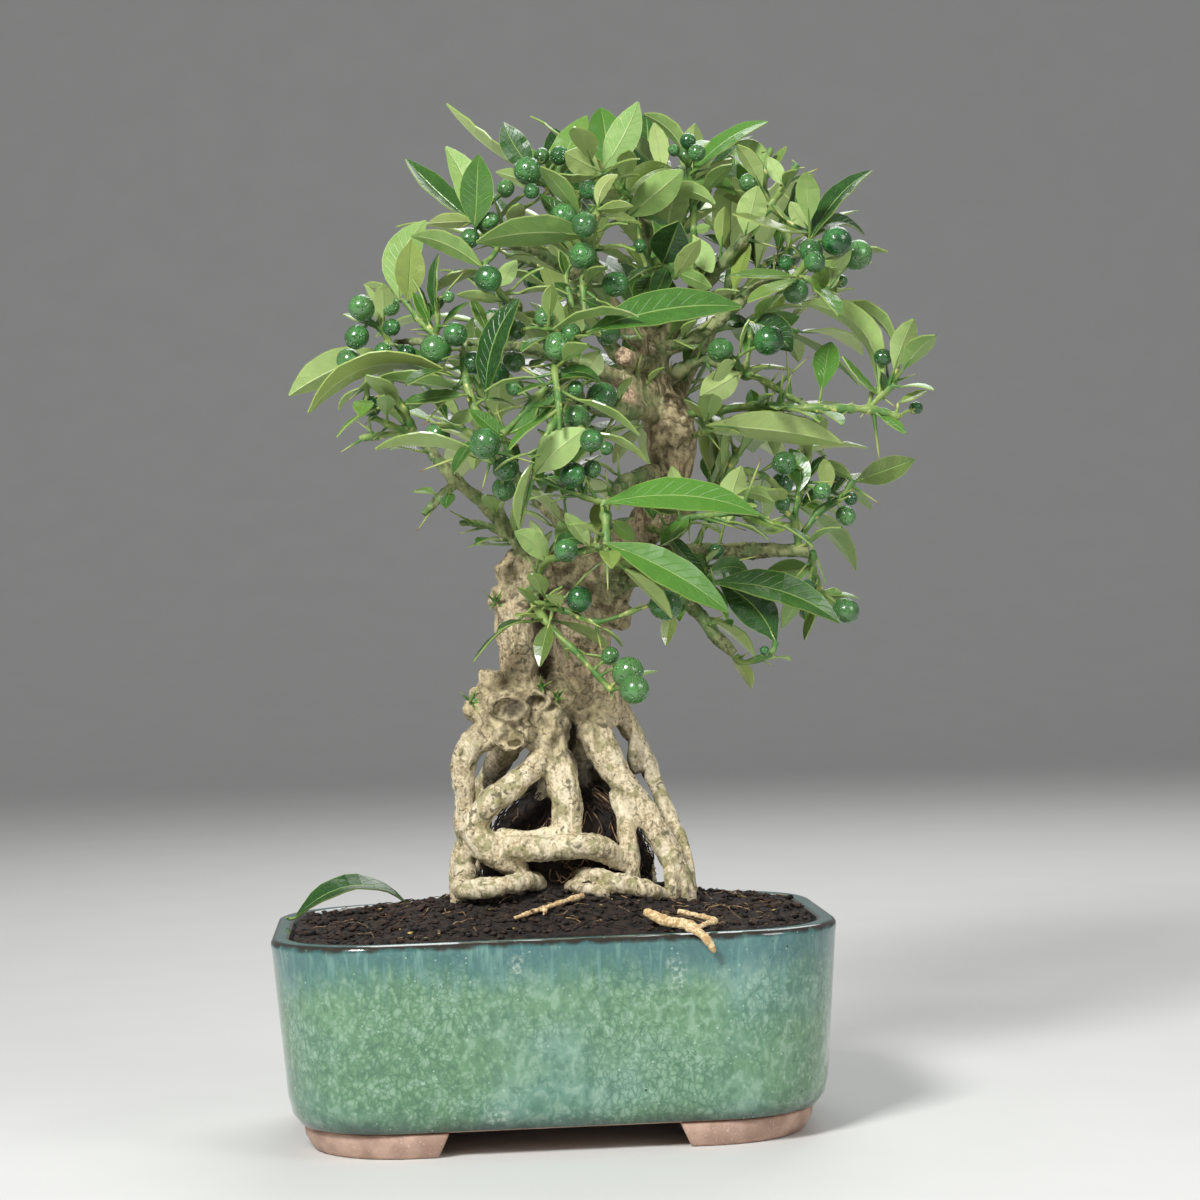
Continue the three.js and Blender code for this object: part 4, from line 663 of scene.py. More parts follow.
@dataclass(frozen=True)
class Bark:
    """Bark: cream roots with green algae, a grey-tan trunk, ridged upper wood and olive limbs."""

    root_top: tuple = (0.128, 0.168)
    trunk_top: tuple = (0.195, 0.232)
    low_dark_band: tuple = (0.094, 0.082)

    def material(self) -> Material:
        """Builds the bark."""
        shader = Shader("bark", Roughness=0.86)
        height = shader.plus(shader.axis("Z"), shader.times(shader.noise(30, 3), 0.02))
        fibre = shader.noise(1.5, 6, shader.stretched((1, 1, 0.2)), warp=0.5)
        blotch = shader.noise(7, 5)
        fine = shader.noise(0.9, 5)
        patchy = shader.spread(shader.plus(shader.times(fibre, 0.5), shader.times(fine, 0.5)), 0.36, 0.62)
        shader.base = shader.blend(patchy, colour(154, 136, 102), colour(218, 204, 172))
        shader.tint(shader.patches(8, 5, 0.48, 0.6, warp=0.5), colour(228, 218, 192), 0.4)
        shader.tint(shader.patches(5.5, 6, 0.5, 0.6, warp=0.8), colour(124, 122, 74), 0.7)
        root = shader.base
        shader.base = shader.blend(patchy, colour(128, 112, 84), colour(190, 176, 144))
        shader.tint(shader.spread(blotch, 0.52, 0.66), colour(196, 164, 126), 0.4)
        lower = shader.blend(shader.spread(height, *self.root_top), root, shader.base)
        upper = shader.blend(shader.spread(fibre, 0.38, 0.6), colour(98, 80, 58), colour(188, 168, 132))
        shader.base = shader.blend(shader.spread(height, *self.trunk_top), lower, upper)
        flake = shader.blend(shader.patches(3.2, 5, 0.4, 0.62), colour(104, 92, 64), colour(190, 176, 136))
        shader.tint(shader.stored("burl"), flake, 0.75)
        green = shader.blend(shader.patches(6, 3, 0.4, 0.6), colour(88, 112, 62), colour(134, 140, 94))
        shader.tint(shader.stored("young"), green)
        cut = shader.blend(shader.spread(fine, 0.4, 0.6), colour(150, 122, 98), colour(196, 170, 142))
        shader.tint(shader.stored("cut"), cut, 0.8)
        mould = shader.times(shader.patches(2.6, 6, 0.52, 0.62, warp=0.8), shader.spread(blotch, 0.4, 0.56))
        shader.tint(mould, colour(58, 52, 34), 0.75)
        lichen = shader.times(shader.patches(1.7, 4, 0.6, 0.7), shader.patches(13, 3, 0.45, 0.6))
        shader.tint(lichen, colour(218, 212, 178), 0.6)
        # Darker towards the soil, below these heights.
        shader.tint(shader.spread(height, *self.low_dark_band), colour(58, 44, 30), 0.6)
        # Painted shade: dark brown inside the cage of roots and round the carved recesses, where shade falls.
        shader.tint(shader.stored("hollow"), colour(36, 26, 18), 0.75)
        shader.tint(shader.spread(fine, 0.42, 0.3), colour(60, 48, 32), 0.3)
        relief = shader.plus(shader.times(fibre, 0.6), shader.times(fine, 0.4))
        return shader.finish(relief=relief, depth=1.0, strength=0.8)


@dataclass(frozen=True)
class TwigSkin:
    """Smooth green skin of young twigs, leaf stalks and fruit stalks, with pale patches."""

    green: tuple = colour(74, 116, 50)
    light: tuple = colour(122, 144, 74)
    knot: tuple = colour(190, 188, 112)

    def material(self) -> Material:
        """Builds the twig skin."""
        shader = Shader("twig_skin", Roughness=0.5)
        fibre = shader.noise(0.8, 3)
        shader.base = shader.blend(shader.patches(7, 3, 0.4, 0.6), self.green, self.light)
        shader.tint(shader.patches(3.1, 4, 0.58, 0.7), self.knot)
        shader.tint(shader.spread(fibre, 0.6, 0.75), colour(84, 92, 48), 0.4)
        return shader.finish(relief=fibre, depth=0.15, strength=0.5)


@dataclass(frozen=True)
class ThornSkin:
    """Green thorns that pale towards their brown tips."""

    def material(self) -> Material:
        """Builds the thorn skin."""
        shader = Shader("thorn_skin", Roughness=0.45)
        along = shader.stored("along")
        shader.base = shader.blend(shader.spread(along, 0.25, 0.75), colour(78, 116, 52),
                                   colour(158, 168, 96))
        shader.tint(shader.spread(along, 0.86, 0.98), colour(128, 84, 44))
        return shader.finish(relief=shader.noise(1.2, 3), depth=0.08, strength=0.4)


@dataclass(frozen=True)
class Blade:
    """One side of a leaf, with its midrib, side veins and margin drawn along the leaf's own map."""

    side: Face
    dark: tuple
    pale: tuple
    rib: tuple
    edge: tuple
    gloss: float
    yellow: tuple = colour(150, 164, 84)
    vein_count: float = 11.0
    vein_slant: float = 0.34

    def material(self) -> Material:
        """Builds this side of the blade."""
        shader = Shader(f"leaf_{self.side.name.lower()}", Roughness=self.gloss, Subsurface_Weight=0.06,
                        Subsurface_Scale=0.002, Specular_IOR_Level=0.55)
        spot = shader.node("ShaderNodeUVMap", uv_map="leaf_map").outputs[0]
        parts = shader.node("ShaderNodeSeparateXYZ", {0: spot})
        from_rib = shader.reckon("ABSOLUTE", shader.reckon("SUBTRACT", parts.outputs["X"], 0.5))
        mottle = shader.noise(4.5, 4)
        share = shader.plus(shader.times(shader.stored("tone"), 0.75), shader.times(mottle, 0.35))
        shader.base = shader.blend(shader.spread(share, 0.05, 1.0), self.dark, self.pale)
        shader.tint(shader.spread(shader.stored("age"), 0.7, 1.0), self.yellow, 0.6)
        slant = shader.reckon("SUBTRACT", parts.outputs["Y"], shader.times(from_rib, self.vein_slant))
        wave = shader.reckon("FRACT", shader.times(slant, self.vein_count))
        vein = shader.spread(shader.reckon("ABSOLUTE", shader.reckon("SUBTRACT", wave, 0.5)), 0.09, 0.0)
        vein = shader.times(vein, shader.spread(from_rib, 0.46, 0.3))
        shader.tint(vein, self.rib, 0.07)
        shader.tint(shader.spread(shader.cells(1.3, "DISTANCE_TO_EDGE"), 0.08, 0.0), self.rib, 0.1)
        rib = shader.spread(from_rib, 0.035, 0.012)
        shader.tint(rib, self.rib, 0.6)
        shader.tint(shader.spread(from_rib, 0.475, 0.497), self.edge, 0.55)
        spots = shader.times(shader.spread(shader.cells(3.5), 0.1, 0.05), shader.patches(14, 2, 0.5, 0.6))
        shader.tint(spots, self.edge, 0.4)
        sunk = -float(self.side.value)
        height = shader.plus(shader.times(rib, sunk), shader.times(vein, 0.35 * sunk))
        height = shader.plus(height, shader.times(mottle, 0.5))
        return shader.finish(relief=height, depth=0.35, strength=0.6)


@dataclass(frozen=True)
class FruitSkin:
    """Glossy dark green citrus skin with oil pores."""

    deep: tuple = colour(16, 62, 28)
    green: tuple = colour(48, 108, 52)
    light: tuple = colour(104, 150, 84)

    def material(self) -> Material:
        """Builds the fruit's skin."""
        shader = Shader("fruit_skin", Roughness=0.2, Specular_IOR_Level=0.8, Subsurface_Weight=0.05,
                        Subsurface_Scale=0.002)
        pores = shader.spread(shader.cells(1.25), 0.42, 0.1)
        shader.base = shader.blend(shader.patches(6, 3, 0.4, 0.62), self.deep, self.green)
        shader.tint(shader.stored("tone"), self.light, 0.5)
        shader.tint(pores, colour(110, 158, 90), 0.35)
        return shader.finish(relief=shader.reckon("SUBTRACT", 1.0, pores), depth=0.5, strength=1.0)


@dataclass(frozen=True)
class Peat:
    """Dark damp peat, with brown and reddish grains."""

    def material(self) -> Material:
        """Builds the peat."""
        shader = Shader("peat", Roughness=0.92)
        grains = shader.noise(2.2, 5)
        shader.base = shader.blend(shader.spread(grains, 0.35, 0.62), colour(15, 11, 9), colour(44, 31, 23))
        shader.tint(shader.spread(shader.cells(2.4), 0.16, 0.06), colour(84, 60, 42))
        shader.tint(shader.patches(16, 2, 0.55, 0.7), colour(48, 42, 26), 0.5)
        return shader.finish(relief=grains, depth=1.4, strength=0.9)


@dataclass(frozen=True)
class Mottled:
    """A matt surface clouded from one tone to another: grains, fibres, chips, or a fruit's cap."""

    name: str
    first: tuple
    second: tuple
    rough: float = 0.88
    clouds: tuple = (3.0, 4)
    pits: tuple = (0.6, 3)
    depth: float = 0.2
    strength: float = 0.6

    def material(self) -> Material:
        """Builds the surface."""
        shader = Shader(self.name, Roughness=self.rough)
        shader.base = shader.blend(shader.patches(*self.clouds, 0.4, 0.6), self.first, self.second)
        return shader.finish(relief=shader.noise(*self.pits), depth=self.depth, strength=self.strength)


@dataclass(frozen=True)
class DeadRoot:
    """Dry ochre root, split along its length, with dark scars."""

    def material(self) -> Material:
        """Builds the dead root's surface."""
        shader = Shader("dead_root", Roughness=0.85)
        fibre = shader.noise(1.6, 5, warp=1.2)
        shader.base = shader.blend(shader.spread(fibre, 0.38, 0.62), colour(222, 200, 156),
                                   colour(176, 140, 94))
        shader.tint(shader.patches(4, 4, 0.6, 0.68), colour(86, 60, 38))
        return shader.finish(relief=fibre, depth=0.5, strength=0.7)


@dataclass(frozen=True)
class ScreenPlastic:
    """Black moulded plastic of the drain screens."""

    def material(self) -> Material:
        """Builds the plastic."""
        shader = Shader("screen_plastic", Roughness=0.55)
        dust = shader.noise(2.5, 4)
        shader.base = shader.blend(shader.spread(dust, 0.5, 0.75), colour(24, 25, 24), colour(58, 52, 44))
        return shader.finish(relief=dust, depth=0.1, strength=0.4)


@dataclass(frozen=True)
class FloorFinish:
    """Plain pale floor."""

    def material(self) -> Material:
        """Builds the floor's surface."""
        shader = Shader("floor", Roughness=0.7)
        shader.base = shader.blend(shader.patches(60, 3, 0.3, 0.7), colour(205, 205, 202),
                                   colour(207, 207, 204))
        return shader.finish()


# Roots and trunk: each place as x, z, depth and radius
ROOTS_AND_TRUNK: list = [
    # Left trunk
    [[-7, 143, -6, 8.3], [-7, 161, -8, 7.3], [-8, 175, -8, 7.3], [-4, 187, -6, 8.3]],
    # Right trunk
    [[21, 136, 2, 9], [17, 153, 2, 10.4], [14, 167, 0, 9.4], [11, 182, 0, 9.4]],
    # Upper trunk
    [[18, 183, 3, 9], [28, 196, 4, 7.6], [39, 207, 2, 6.6], [47, 222, 0, 6.9], [48, 235, 0, 8.7],
     [46, 244, 0, 8.7], [43, 254, 0, 4.8], [43, 268, 2, 4.2]],
    # Trunk web
    [[2, 146, 4, 5.5], [3, 164, 5, 5.2], [3, 181, 4, 6.2]],
    # Outer left root
    [[-13, 135, -14, 4.8], [-24, 133, -14, 4.5], [-28, 125, -12, 4.3], [-28, 113, -10, 3.8],
     [-28, 102, -8, 3.8], [-25, 95, -8, 3.8]],
    # Second left root
    [[1, 128, -14, 4.2], [-10, 118, -17, 4.2], [-19, 112, -17, 4.2], [-25, 104, -15, 4.5]],
    # Middle root
    [[2, 134, -10, 6.9], [5, 123, -12, 6.2], [7, 112, -14, 4.8], [7, 97, -15, 5.5]],
    # Cross root
    [[-15, 96, -20, 3.8], [1, 95, -22, 4.5], [17, 95, -20, 4.5], [26, 89, -14, 3.8]],
    # Thin cross root
    [[-17, 101, -14, 1.7], [-8, 100, -17, 1.7], [3, 101, -16, 1.7]],
    # Low left root
    [[-27, 105, -15, 4.2], [-22, 97, -16, 5.5], [-14, 92, -16, 4.5], [-7, 84, -14, 2.8]],
    # Left heel
    [[-25, 101, -8, 4.2], [-29, 93, -6, 4.8], [-30, 81, -6, 4.2], [-30, 70, -6, 3.1]],
    # Front left log
    [[-27, 89, -6, 3.1], [-30, 82, -19, 3.5], [-23, 82, -27, 3.5], [-14, 83, -26, 3.5],
     [-6, 84, -17, 3.1], [-1, 81, -4, 2.4]],
    # Front right log
    [[8, 82, -3, 2.4], [13, 85, -16, 3.1], [25, 82, -22, 3.3], [35, 79, -23, 3.1], [41, 76, -13, 2.4]],
    # Short log
    [[6, 82, -8, 2.1], [10, 81, -21, 2.1], [18, 79, -25, 2.1], [22, 73, -21, 1.7]],
    # Post root
    [[25, 114, -8, 3.5], [28, 99, -12, 3.1], [29, 83, -14, 3.1], [29, 71, -14, 2.4]],
    # Long diagonal root
    [[16, 138, -6, 6.2], [23, 123, -8, 5.2], [35, 105, -10, 4.5], [43, 90, -12, 4.2],
     [48, 78, -14, 3.1], [49, 70, -14, 2.1]],
    # Root prong
    [[42, 90, -14, 2.8], [43, 81, -17, 2.4], [43, 69, -18, 1.7]],
    # Right back root
    [[24, 146, 6, 4.2], [33, 130, 7, 3.1], [38, 117, 6, 2.8], [44, 101, 2, 2.8], [48, 89, -6, 2.8],
     [49, 78, -12, 2.4]],
    # Ear root
    [[23, 148, 4, 2.8], [29, 142, 5, 2.1], [31, 135, 5, 2.1], [31, 128, 5, 2.1], [32, 120, 4, 2.1]],
    # Knob stub
    [[-13, 147, -8, 4.8], [-18, 152, -12, 4.2], [-18, 157, -13, 3.8]],
    # Rear left root
    [[10, 146, 3, 6.2], [6, 134, 12, 6.6], [-2, 115, 26, 5.2], [-10, 95, 34, 4.5], [-15, 76, 38, 3.1]],
    # Rear right root
    [[15, 146, 3, 5.5], [17, 134, 13, 6.2], [23, 111, 30, 4.8], [32, 90, 36, 4.2], [36, 74, 40, 3.1]],
    # Rear middle root
    [[13, 141, 4, 5.2], [11, 127, 14, 5.2], [10, 101, 40, 4.2], [8, 75, 50, 3.1]],
    # Left back root
    [[-4, 142, -4, 5.2], [-11, 133, 2, 4.8], [-21, 116, 18, 4.2], [-25, 95, 24, 4.2],
     [-30, 77, 27, 3.1]],
    # Inner root
    [[8, 139, 0, 4.8], [5, 125, 2, 4.8], [-2, 102, 6, 4.2], [0, 77, 4, 3.5]],
    # Buried root
    [[-30, 70, -6, 3.1], [-25, 69, 30, 2.8], [4, 68, 46, 2.8], [36, 69, 38, 2.8], [49, 70, 6, 2.4],
     [48, 65, -14, 2.4], [29, 67, -14, 2.4], [3, 67, -2, 2.8], [-26, 68, -8, 3.1]],
]

# Limbs and old twigs: each place as x, z, depth and radius
LIMBS: list = [
    # Left limb
    [[-3, 197, -8, 3.1], [-9, 205, -12, 2.8], [-19, 216, -18, 2.4], [-28, 224, -20, 2.4],
     [-35, 233, -22, 2.1], [-42, 241, -24, 1.7]],
    # Left stub
    [[-27, 223, -20, 1.7], [-33, 218, -23, 1.6], [-40, 211, -26, 1.6]],
    # Knobby twig
    [[-3, 197, -12, 1.4], [-16, 207, -18, 1.2], [-28, 209, -20, 1]],
    # Level limb
    [[43, 251, -2, 3.8], [28, 258, -16, 3.1], [14, 263, -26, 2.4], [1, 268, -31, 2.1],
     [-11, 270, -31, 1.6], [-31, 272, -28, 1.4], [-49, 272, -22, 1.2]],
    # Upper left limb
    [[42, 266, 3, 3.8], [33, 276, 0, 3.5], [25, 288, -4, 3.1], [21, 304, -8, 2.4], [16, 317, -10, 1.7]],
    # Left fork
    [[25, 288, -4, 2.4], [11, 297, -18, 2.1], [1, 303, -26, 1.7], [-9, 306, -30, 1.4]],
    # Top limb
    [[43, 267, 4, 3.5], [45, 284, 14, 3.1], [44, 301, 16, 2.4], [40, 315, 12, 1.7]],
    # Upper right limb
    [[44, 267, 4, 3.5], [57, 284, 0, 2.8], [71, 300, -5, 2.1], [85, 316, -6, 1.4]],
    # Right limb
    [[46, 266, 1, 2.8], [61, 273, -8, 2.4], [78, 286, -14, 2.1], [93, 291, -18, 1.4]],
    # Long right limb
    [[47, 256, 4, 2.8], [60, 263, 0, 2.3], [74, 257, -6, 1.7]],
    # Middle right limb
    [[21, 190, 2, 4.2], [36, 195, -2, 3.1], [57, 196, -6, 2.8], [78, 196, -8, 2.8], [96, 195, -9, 2.3]],
    # Lower right limb
    [[23, 185, -2, 3.5], [37, 187, -6, 2.4], [52, 178, -12, 2.4], [61, 167, -16, 2.4],
     [68, 159, -18, 2.1]],
    # Front limb
    [[41, 224, -4, 3.5], [31, 221, -28, 2.4], [24, 214, -48, 1.7]],
    # Front left limb
    [[42, 246, -4, 3.5], [27, 246, -30, 2.4], [16, 249, -44, 1.9], [9, 248, -50, 1.4]],
    # Burl twig
    [[-2, 185, -12, 2.1], [-2, 180, -22, 2.1]],
    # Cut stub
    [[43, 261, -2, 3.1], [36, 263, -12, 3.1], [31, 266, -20, 3.5]],
    # Small cut stub
    [[41, 249, -3, 3.1], [36, 250, -12, 3.1], [32, 251, -18, 3.5]],
    # Back left limb
    [[44, 239, 6, 4.2], [37, 254, 28, 3.1], [24, 274, 42, 2.4], [13, 288, 50, 1.6]],
    # Back right limb
    [[47, 247, 6, 3.8], [60, 269, 32, 2.8], [74, 286, 48, 1.6]],
    # Back top limb
    [[43, 266, 6, 3.1], [44, 287, 36, 2.4], [42, 304, 48, 1.6]],
    # Low back left limb
    [[22, 193, 10, 4.2], [8, 209, 30, 3.1], [-5, 222, 42, 2.1], [-15, 233, 48, 1.6]],
    # Low back right limb
    [[36, 203, 6, 3.8], [57, 214, 30, 2.8], [72, 224, 46, 1.6]],
    # Back middle limb
    [[47, 232, 6, 3.5], [46, 245, 42, 2.4], [45, 256, 64, 1.6]],
]

# Which limbs end in a pale cut
CUT_STUBS = (15, 16)


# Burl and root swellings: x, z, depth, radius across and radius upward
LUMPS: list = [
    [-5, 190, -6, 9.4, 9.4],
    [6, 185, 0, 10.4, 9],
    [21, 185, 4, 11.8, 10.4],
    [25, 176, 2, 7.6, 6.2],
    [-13, 182, -8, 4.5, 4.8],
    [13, 193, 0, 12.5, 6.9],
    [-20, 145, -11, 7.6, 6.9],
    [-11, 141, -14, 11.8, 10.7],
    [1, 136, -12, 8.3, 13.2],
    [2, 147, -8, 10.4, 9],
    [12, 142, -2, 9.7, 9],
    [48, 238, -6, 8.3, 6.2],
]


# Room that placed pieces take, so that the fine sprays stand where the solids do

@dataclass
class Balls:
    """Small balls that stand for a piece: their centres, radii, and which of them are joints."""

    centres: Array
    radii: Array
    joints: Array


@dataclass
class Room:
    """All the room that is taken, with the spray that owns each ball."""

    centres: Array = field(default_factory=lambda: np.zeros((0, 3)))
    radii: Array = field(default_factory=lambda: np.zeros(0))
    joints: Array = field(default_factory=lambda: np.zeros(0, bool))
    owners: Array = field(default_factory=lambda: np.zeros(0, "U40"))

    def take(self, owner: str, balls: Balls) -> None:
        """Adds a piece's balls under its owner's name."""
        self.centres = np.vstack([self.centres, balls.centres])
        self.radii = np.concatenate([self.radii, balls.radii])
        self.joints = np.concatenate([self.joints, balls.joints])
        self.owners = np.concatenate([self.owners, np.full(len(balls.radii), owner, "U40")])

    def is_clear(self, owner: str, balls: Balls, own_too: bool) -> bool:
        """Says whether a piece keeps clear of what is taken.

        Args:
            owner: the spray that the piece belongs to.
            balls: the piece's balls.
            own_too: whether it also keeps clear of its own spray, apart from joints.

        Returns:
            Whether it does.
        """
        middle = balls.centres.mean(axis=0)
        reach = np.linalg.norm(balls.centres - middle, axis=1).max() + 12
        near = np.linalg.norm(self.centres - middle, axis=1) < reach
        apart = np.linalg.norm(self.centres[near][None] - balls.centres[:, None], axis=2)
        clear = apart > self.radii[near][None] + balls.radii[:, None]
        own = (self.owners[near] == owner)[None]
        free = own & (balls.joints[:, None] | self.joints[near][None]) if own_too else own
        return bool(np.all(clear | free))


def balls_along(points: Array, radii: Array, room: float) -> Balls:
    """Sets balls along a rod, at most 3 mm apart."""
    centres, sizes = [], []
    for i in range(len(points) - 1):
        steps = max(1, math.ceil(float(np.linalg.norm(points[i] - points[i + 1])) / 3))
        for k in range(steps + 1):
            centres.append(between(points[i], points[i + 1], k / steps))
            sizes.append(radii[i] + (radii[i + 1] - radii[i]) * k / steps + room)
    return Balls(np.array(centres), np.array(sizes), np.ones(len(sizes), bool))


@dataclass
class Twig:
    """A twig's points and radii."""

    points: Array
    radii: Array


def nearest_on(twigs: list[Twig], place: Array) -> Array:
    """Finds the nearest point on a spray's twigs."""
    best, least = None, 1e9
    for twig in twigs:
        for start, end in zip(twig.points[:-1], twig.points[1:]):
            span = end - start
            share = min(max(float(np.dot(place - start, span) / np.dot(span, span)), 0.0), 1.0)
            point = start + span * share
            away = float(np.linalg.norm(point - place))
            if away < least:
                best, least = point, away
    return best


@dataclass
class Leaf:
    """A leaf from its foot on the twig through its base to its tip; its upper face looks along facing."""

    foot: Array
    base: Array
    tip: Array
    bow_to: Array
    width: float
    facing: Array
    blade_room: float = BLADE_ROOM

    def centre_at(self, share: float) -> Array:
        """Gives the midrib's place at a share of the blade."""
        return self.base * (1 - share) ** 2 + self.bow_to * 2 * share * (1 - share) + self.tip * share ** 2

    def frame_at(self, share: float) -> tuple[Array, Array, Array]:
        """Gives the directions along, up from the upper face and to the side, at a share of the blade."""
        along = unit((self.bow_to - self.base) * (1 - share) + (self.tip - self.bow_to) * share)
        up = unit(self.facing - along * float(np.dot(self.facing, along)))
        return along, up, np.cross(along, up)

    def balls(self) -> Balls:
        """Stands balls for the blade."""
        centres, joints = [], []
        for k in range(1, 9):
            share = k / 8.5
            side = self.frame_at(share)[2]
            for spread in (-0.38, 0.0, 0.38):
                reach = spread * self.width * math.sin(math.pi * min(share + 0.1, 1.0))
                centres.append(self.centre_at(share) + side * reach)
                joints.append(share < 0.35)
        return Balls(np.array(centres), np.full(len(joints), self.blade_room), np.array(joints))


@dataclass
class Fruit:
    """A fruit on a short stalk."""

    centre: Array
    radius: float
    foot: Array

    def balls(self) -> Balls:
        """Stands one ball for the fruit."""
        return Balls(self.centre[None], np.array([self.radius + 0.5]), np.zeros(1, bool))


@dataclass
class Thorn:
    """A thorn from its foot on the twig to its tip."""

    foot: Array
    tip: Array

    def balls(self) -> Balls:
        """Stands balls for the outer part of the thorn."""
        return balls_along(np.array([between(self.foot, self.tip, 0.35), self.tip]), np.zeros(2), 0.75)


def first_clear(room: Room, owner: str, choices: list) -> object | None:
    """Takes the room of the first of several pieces that keeps clear, and gives that piece or None."""
    for own_too in (True, False):
        for piece in choices:
            if room.is_clear(owner, piece.balls(), own_too):
                room.take(owner, piece.balls())
                return piece
    return None


def kept(pieces: list) -> list:
    """Gives the pieces that found clear room."""
    return [piece for piece in pieces if piece]


@dataclass
class Spray:
    """A leafy spray read off the elevation. Twigs: first and last radius, then places as x, z, depth. Leaves:
    base and tip as x, z, depth, then apparent width, the face that shows, and bow to the left of the way the
    leaf points. Fruits: x, z, depth, radius. Thorns: foot and tip as x, z, depth."""

    name: str
    twigs: list
    leaves: list
    fruits: list
    thorns: list
    depth_shifts: tuple = (0, -6, 6, -12, 12, -18, 18, -24, 24)
    fruit_shifts: tuple = (0, -4, 4, -8, 8, -12, 12)
    proportion: float = 0.34
    widest: float = 14.0

    def paths(self) -> list[Twig]:
        """Gives the twigs' places and radii."""
        return [Twig(np.array([seen(*place) for place in places]), np.linspace(start, end, len(places)))
                for start, end, *places in self.twigs]

    def grow(self, twigs: list[Twig], room: Room) -> tuple[list[Leaf], list[Fruit], list[Thorn]]:
        """Places the leaves, fruits and thorns where they keep clear.

        Args:
            twigs: this spray's twigs.
            room: the room taken so far.

        Returns:
            The leaves, fruits and thorns.
        """
        leaves = [first_clear(room, self.name, [self.leaf(row, twigs, shift) for shift in self.depth_shifts])
                  for row in self.leaves]
        fruits = [first_clear(room, self.name, [self.fruit(row, twigs, shift) for shift in self.fruit_shifts])
                  for row in self.fruits]
        thorns = [first_clear(room, self.name, [Thorn(nearest_on(twigs, seen(*row[:3])), seen(*row[3:]))])
                  for row in self.thorns]
        return kept(leaves), kept(fruits), kept(thorns)

    def fruit(self, row: list, twigs: list[Twig], shift: float) -> Fruit:
        """Makes one fruit, at its depth plus a shift."""
        x, z, depth, radius = row
        centre = seen(x, z, depth + shift)
        return Fruit(centre, radius * scale_at(depth), nearest_on(twigs, centre))

    def leaf(self, row: list, twigs: list[Twig], shift: float) -> Leaf:
        """Makes one leaf.

        Args:
            row: the leaf as read off the elevation.
            twigs: this spray's twigs.
            shift: how far back the tip moves; the base moves half as far.

        Returns:
            The leaf.
        """
        base_x, base_z, base_depth, tip_x, tip_z, tip_depth, apparent, shows, bow = row
        base = seen(base_x, base_z, base_depth + shift / 2)
        tip = seen(tip_x, tip_z, tip_depth + shift)
        length = float(np.linalg.norm(tip - base))
        along = unit(tip - base)
        middle = between(base, tip, 0.5)
        shown = apparent * scale_at((base_depth + tip_depth + shift) / 2)
        width = max(shown, min(self.proportion * length + 1, self.widest))
        to_eye = unit(EYE - middle)
        square = unit(to_eye - along * float(np.dot(to_eye, along)))
        edgeways = np.cross(along, square)
        if edgeways[2] < 0:
            edgeways = -edgeways
        turned = math.acos(min(1.0, shown / width))
        facing = square * shows.value * math.cos(turned) + edgeways * math.sin(turned)
        leftward = unit(np.array([-(tip_z - base_z), 0.0, tip_x - base_x]))
        return Leaf(nearest_on(twigs, base), base, tip, middle + leftward * 2 * bow, width, facing)


@dataclass
class GrownSpray:
    """A spray grown by rule: leaves in a spiral along one twig, with a fruit and a thorn in some axils."""

    name: str
    start: tuple
    end: tuple
    count: int
    seed: int = 0
    turns: tuple = (0, 0.35, -0.35, 0.7, -0.7, 1.05, -1.05)
    spiral: float = 2.4
    blade_length: float = 37.0
    blade_spread: float = 9.0
    fruit_radius: float = 4.6
    stalk_length: float = 2.5
    thorn_length: float = 11.0

    def paths(self) -> list[Twig]:
        """Gives the twig's places and radii."""
        start, end = seen(*self.start), seen(*self.end)
        middle = between(start, end, 0.5) + UP * 3
        return [Twig(np.array([start, middle, end]), np.array([1.5, 1.2, 0.9]))]

    def leaf(self, twig: Twig, share: float, turn: float, length: float, lean: float) -> Leaf:
        """Makes one leaf.

        Args:
            twig: the twig that it stands on.
            share: where along the twig.
            turn: which way round the twig.
            length: the blade's length.
            lean: how far it leans along the twig.

        Returns:
            The leaf.
        """
        start, middle, end = twig.points
        foot = between(start, middle, 2 * share) if share < 0.5 else between(middle, end, 2 * share - 1)
        along = unit(end - start)
        direction = unit(leaning(along, turn, lean))
        base = foot + direction * 3
        tip = base + direction * length - UP * (0.12 * length)
        bow_to = between(base, tip, 0.5) + UP * (0.14 * length)
        facing = np.array([0.25 * direction[0], 0.25 * direction[1] - 0.1, 1.0])
        return Leaf(foot, base, tip, bow_to, 0.34 * length + 1, facing)

    def grow(self, twigs: list[Twig], room: Room) -> tuple[list[Leaf], list[Fruit], list[Thorn]]:
        """Grows the leaves, fruits and thorns where they keep clear.

        Args:
            twigs: this spray's one twig.
            room: the room taken so far.

        Returns:
            The leaves, fruits and thorns.
        """
        draw = draws(self.seed)
        twig = twigs[0]
        leaves, fruits, thorns = [], [], []
        for i in range(self.count):
            share = 0.25 + 0.75 * i / (self.count - 1)
            turn = self.spiral * i + next(draw)
            length = self.blade_length + self.blade_spread * (next(draw) * 2 - 1)
            lean = 0.35 + 0.9 * share * share + 0.2 * next(draw)
            choices = [self.leaf(twig, share, turn + more, length, lean) for more in self.turns]
            leaves.append(first_clear(room, self.name, choices))
            direction = unit(np.array([next(draw) - 0.5, next(draw) * 0.8, next(draw) - 0.7]))
            foot = between(twig.points[1], twig.points[2], next(draw))
            if i % 4 == 1:
                radius = self.fruit_radius * (0.75 + 0.3 * next(draw))
                centre = foot + direction * (radius + self.stalk_length)
                fruit = Fruit(centre, radius, nearest_on(twigs, centre))
                fruits.append(first_clear(room, self.name, [fruit]))
            if i % 4 == 2:
                thorn = Thorn(foot, foot - direction * self.thorn_length)
                thorns.append(first_clear(room, self.name, [thorn]))
        return kept(leaves), kept(fruits), kept(thorns)


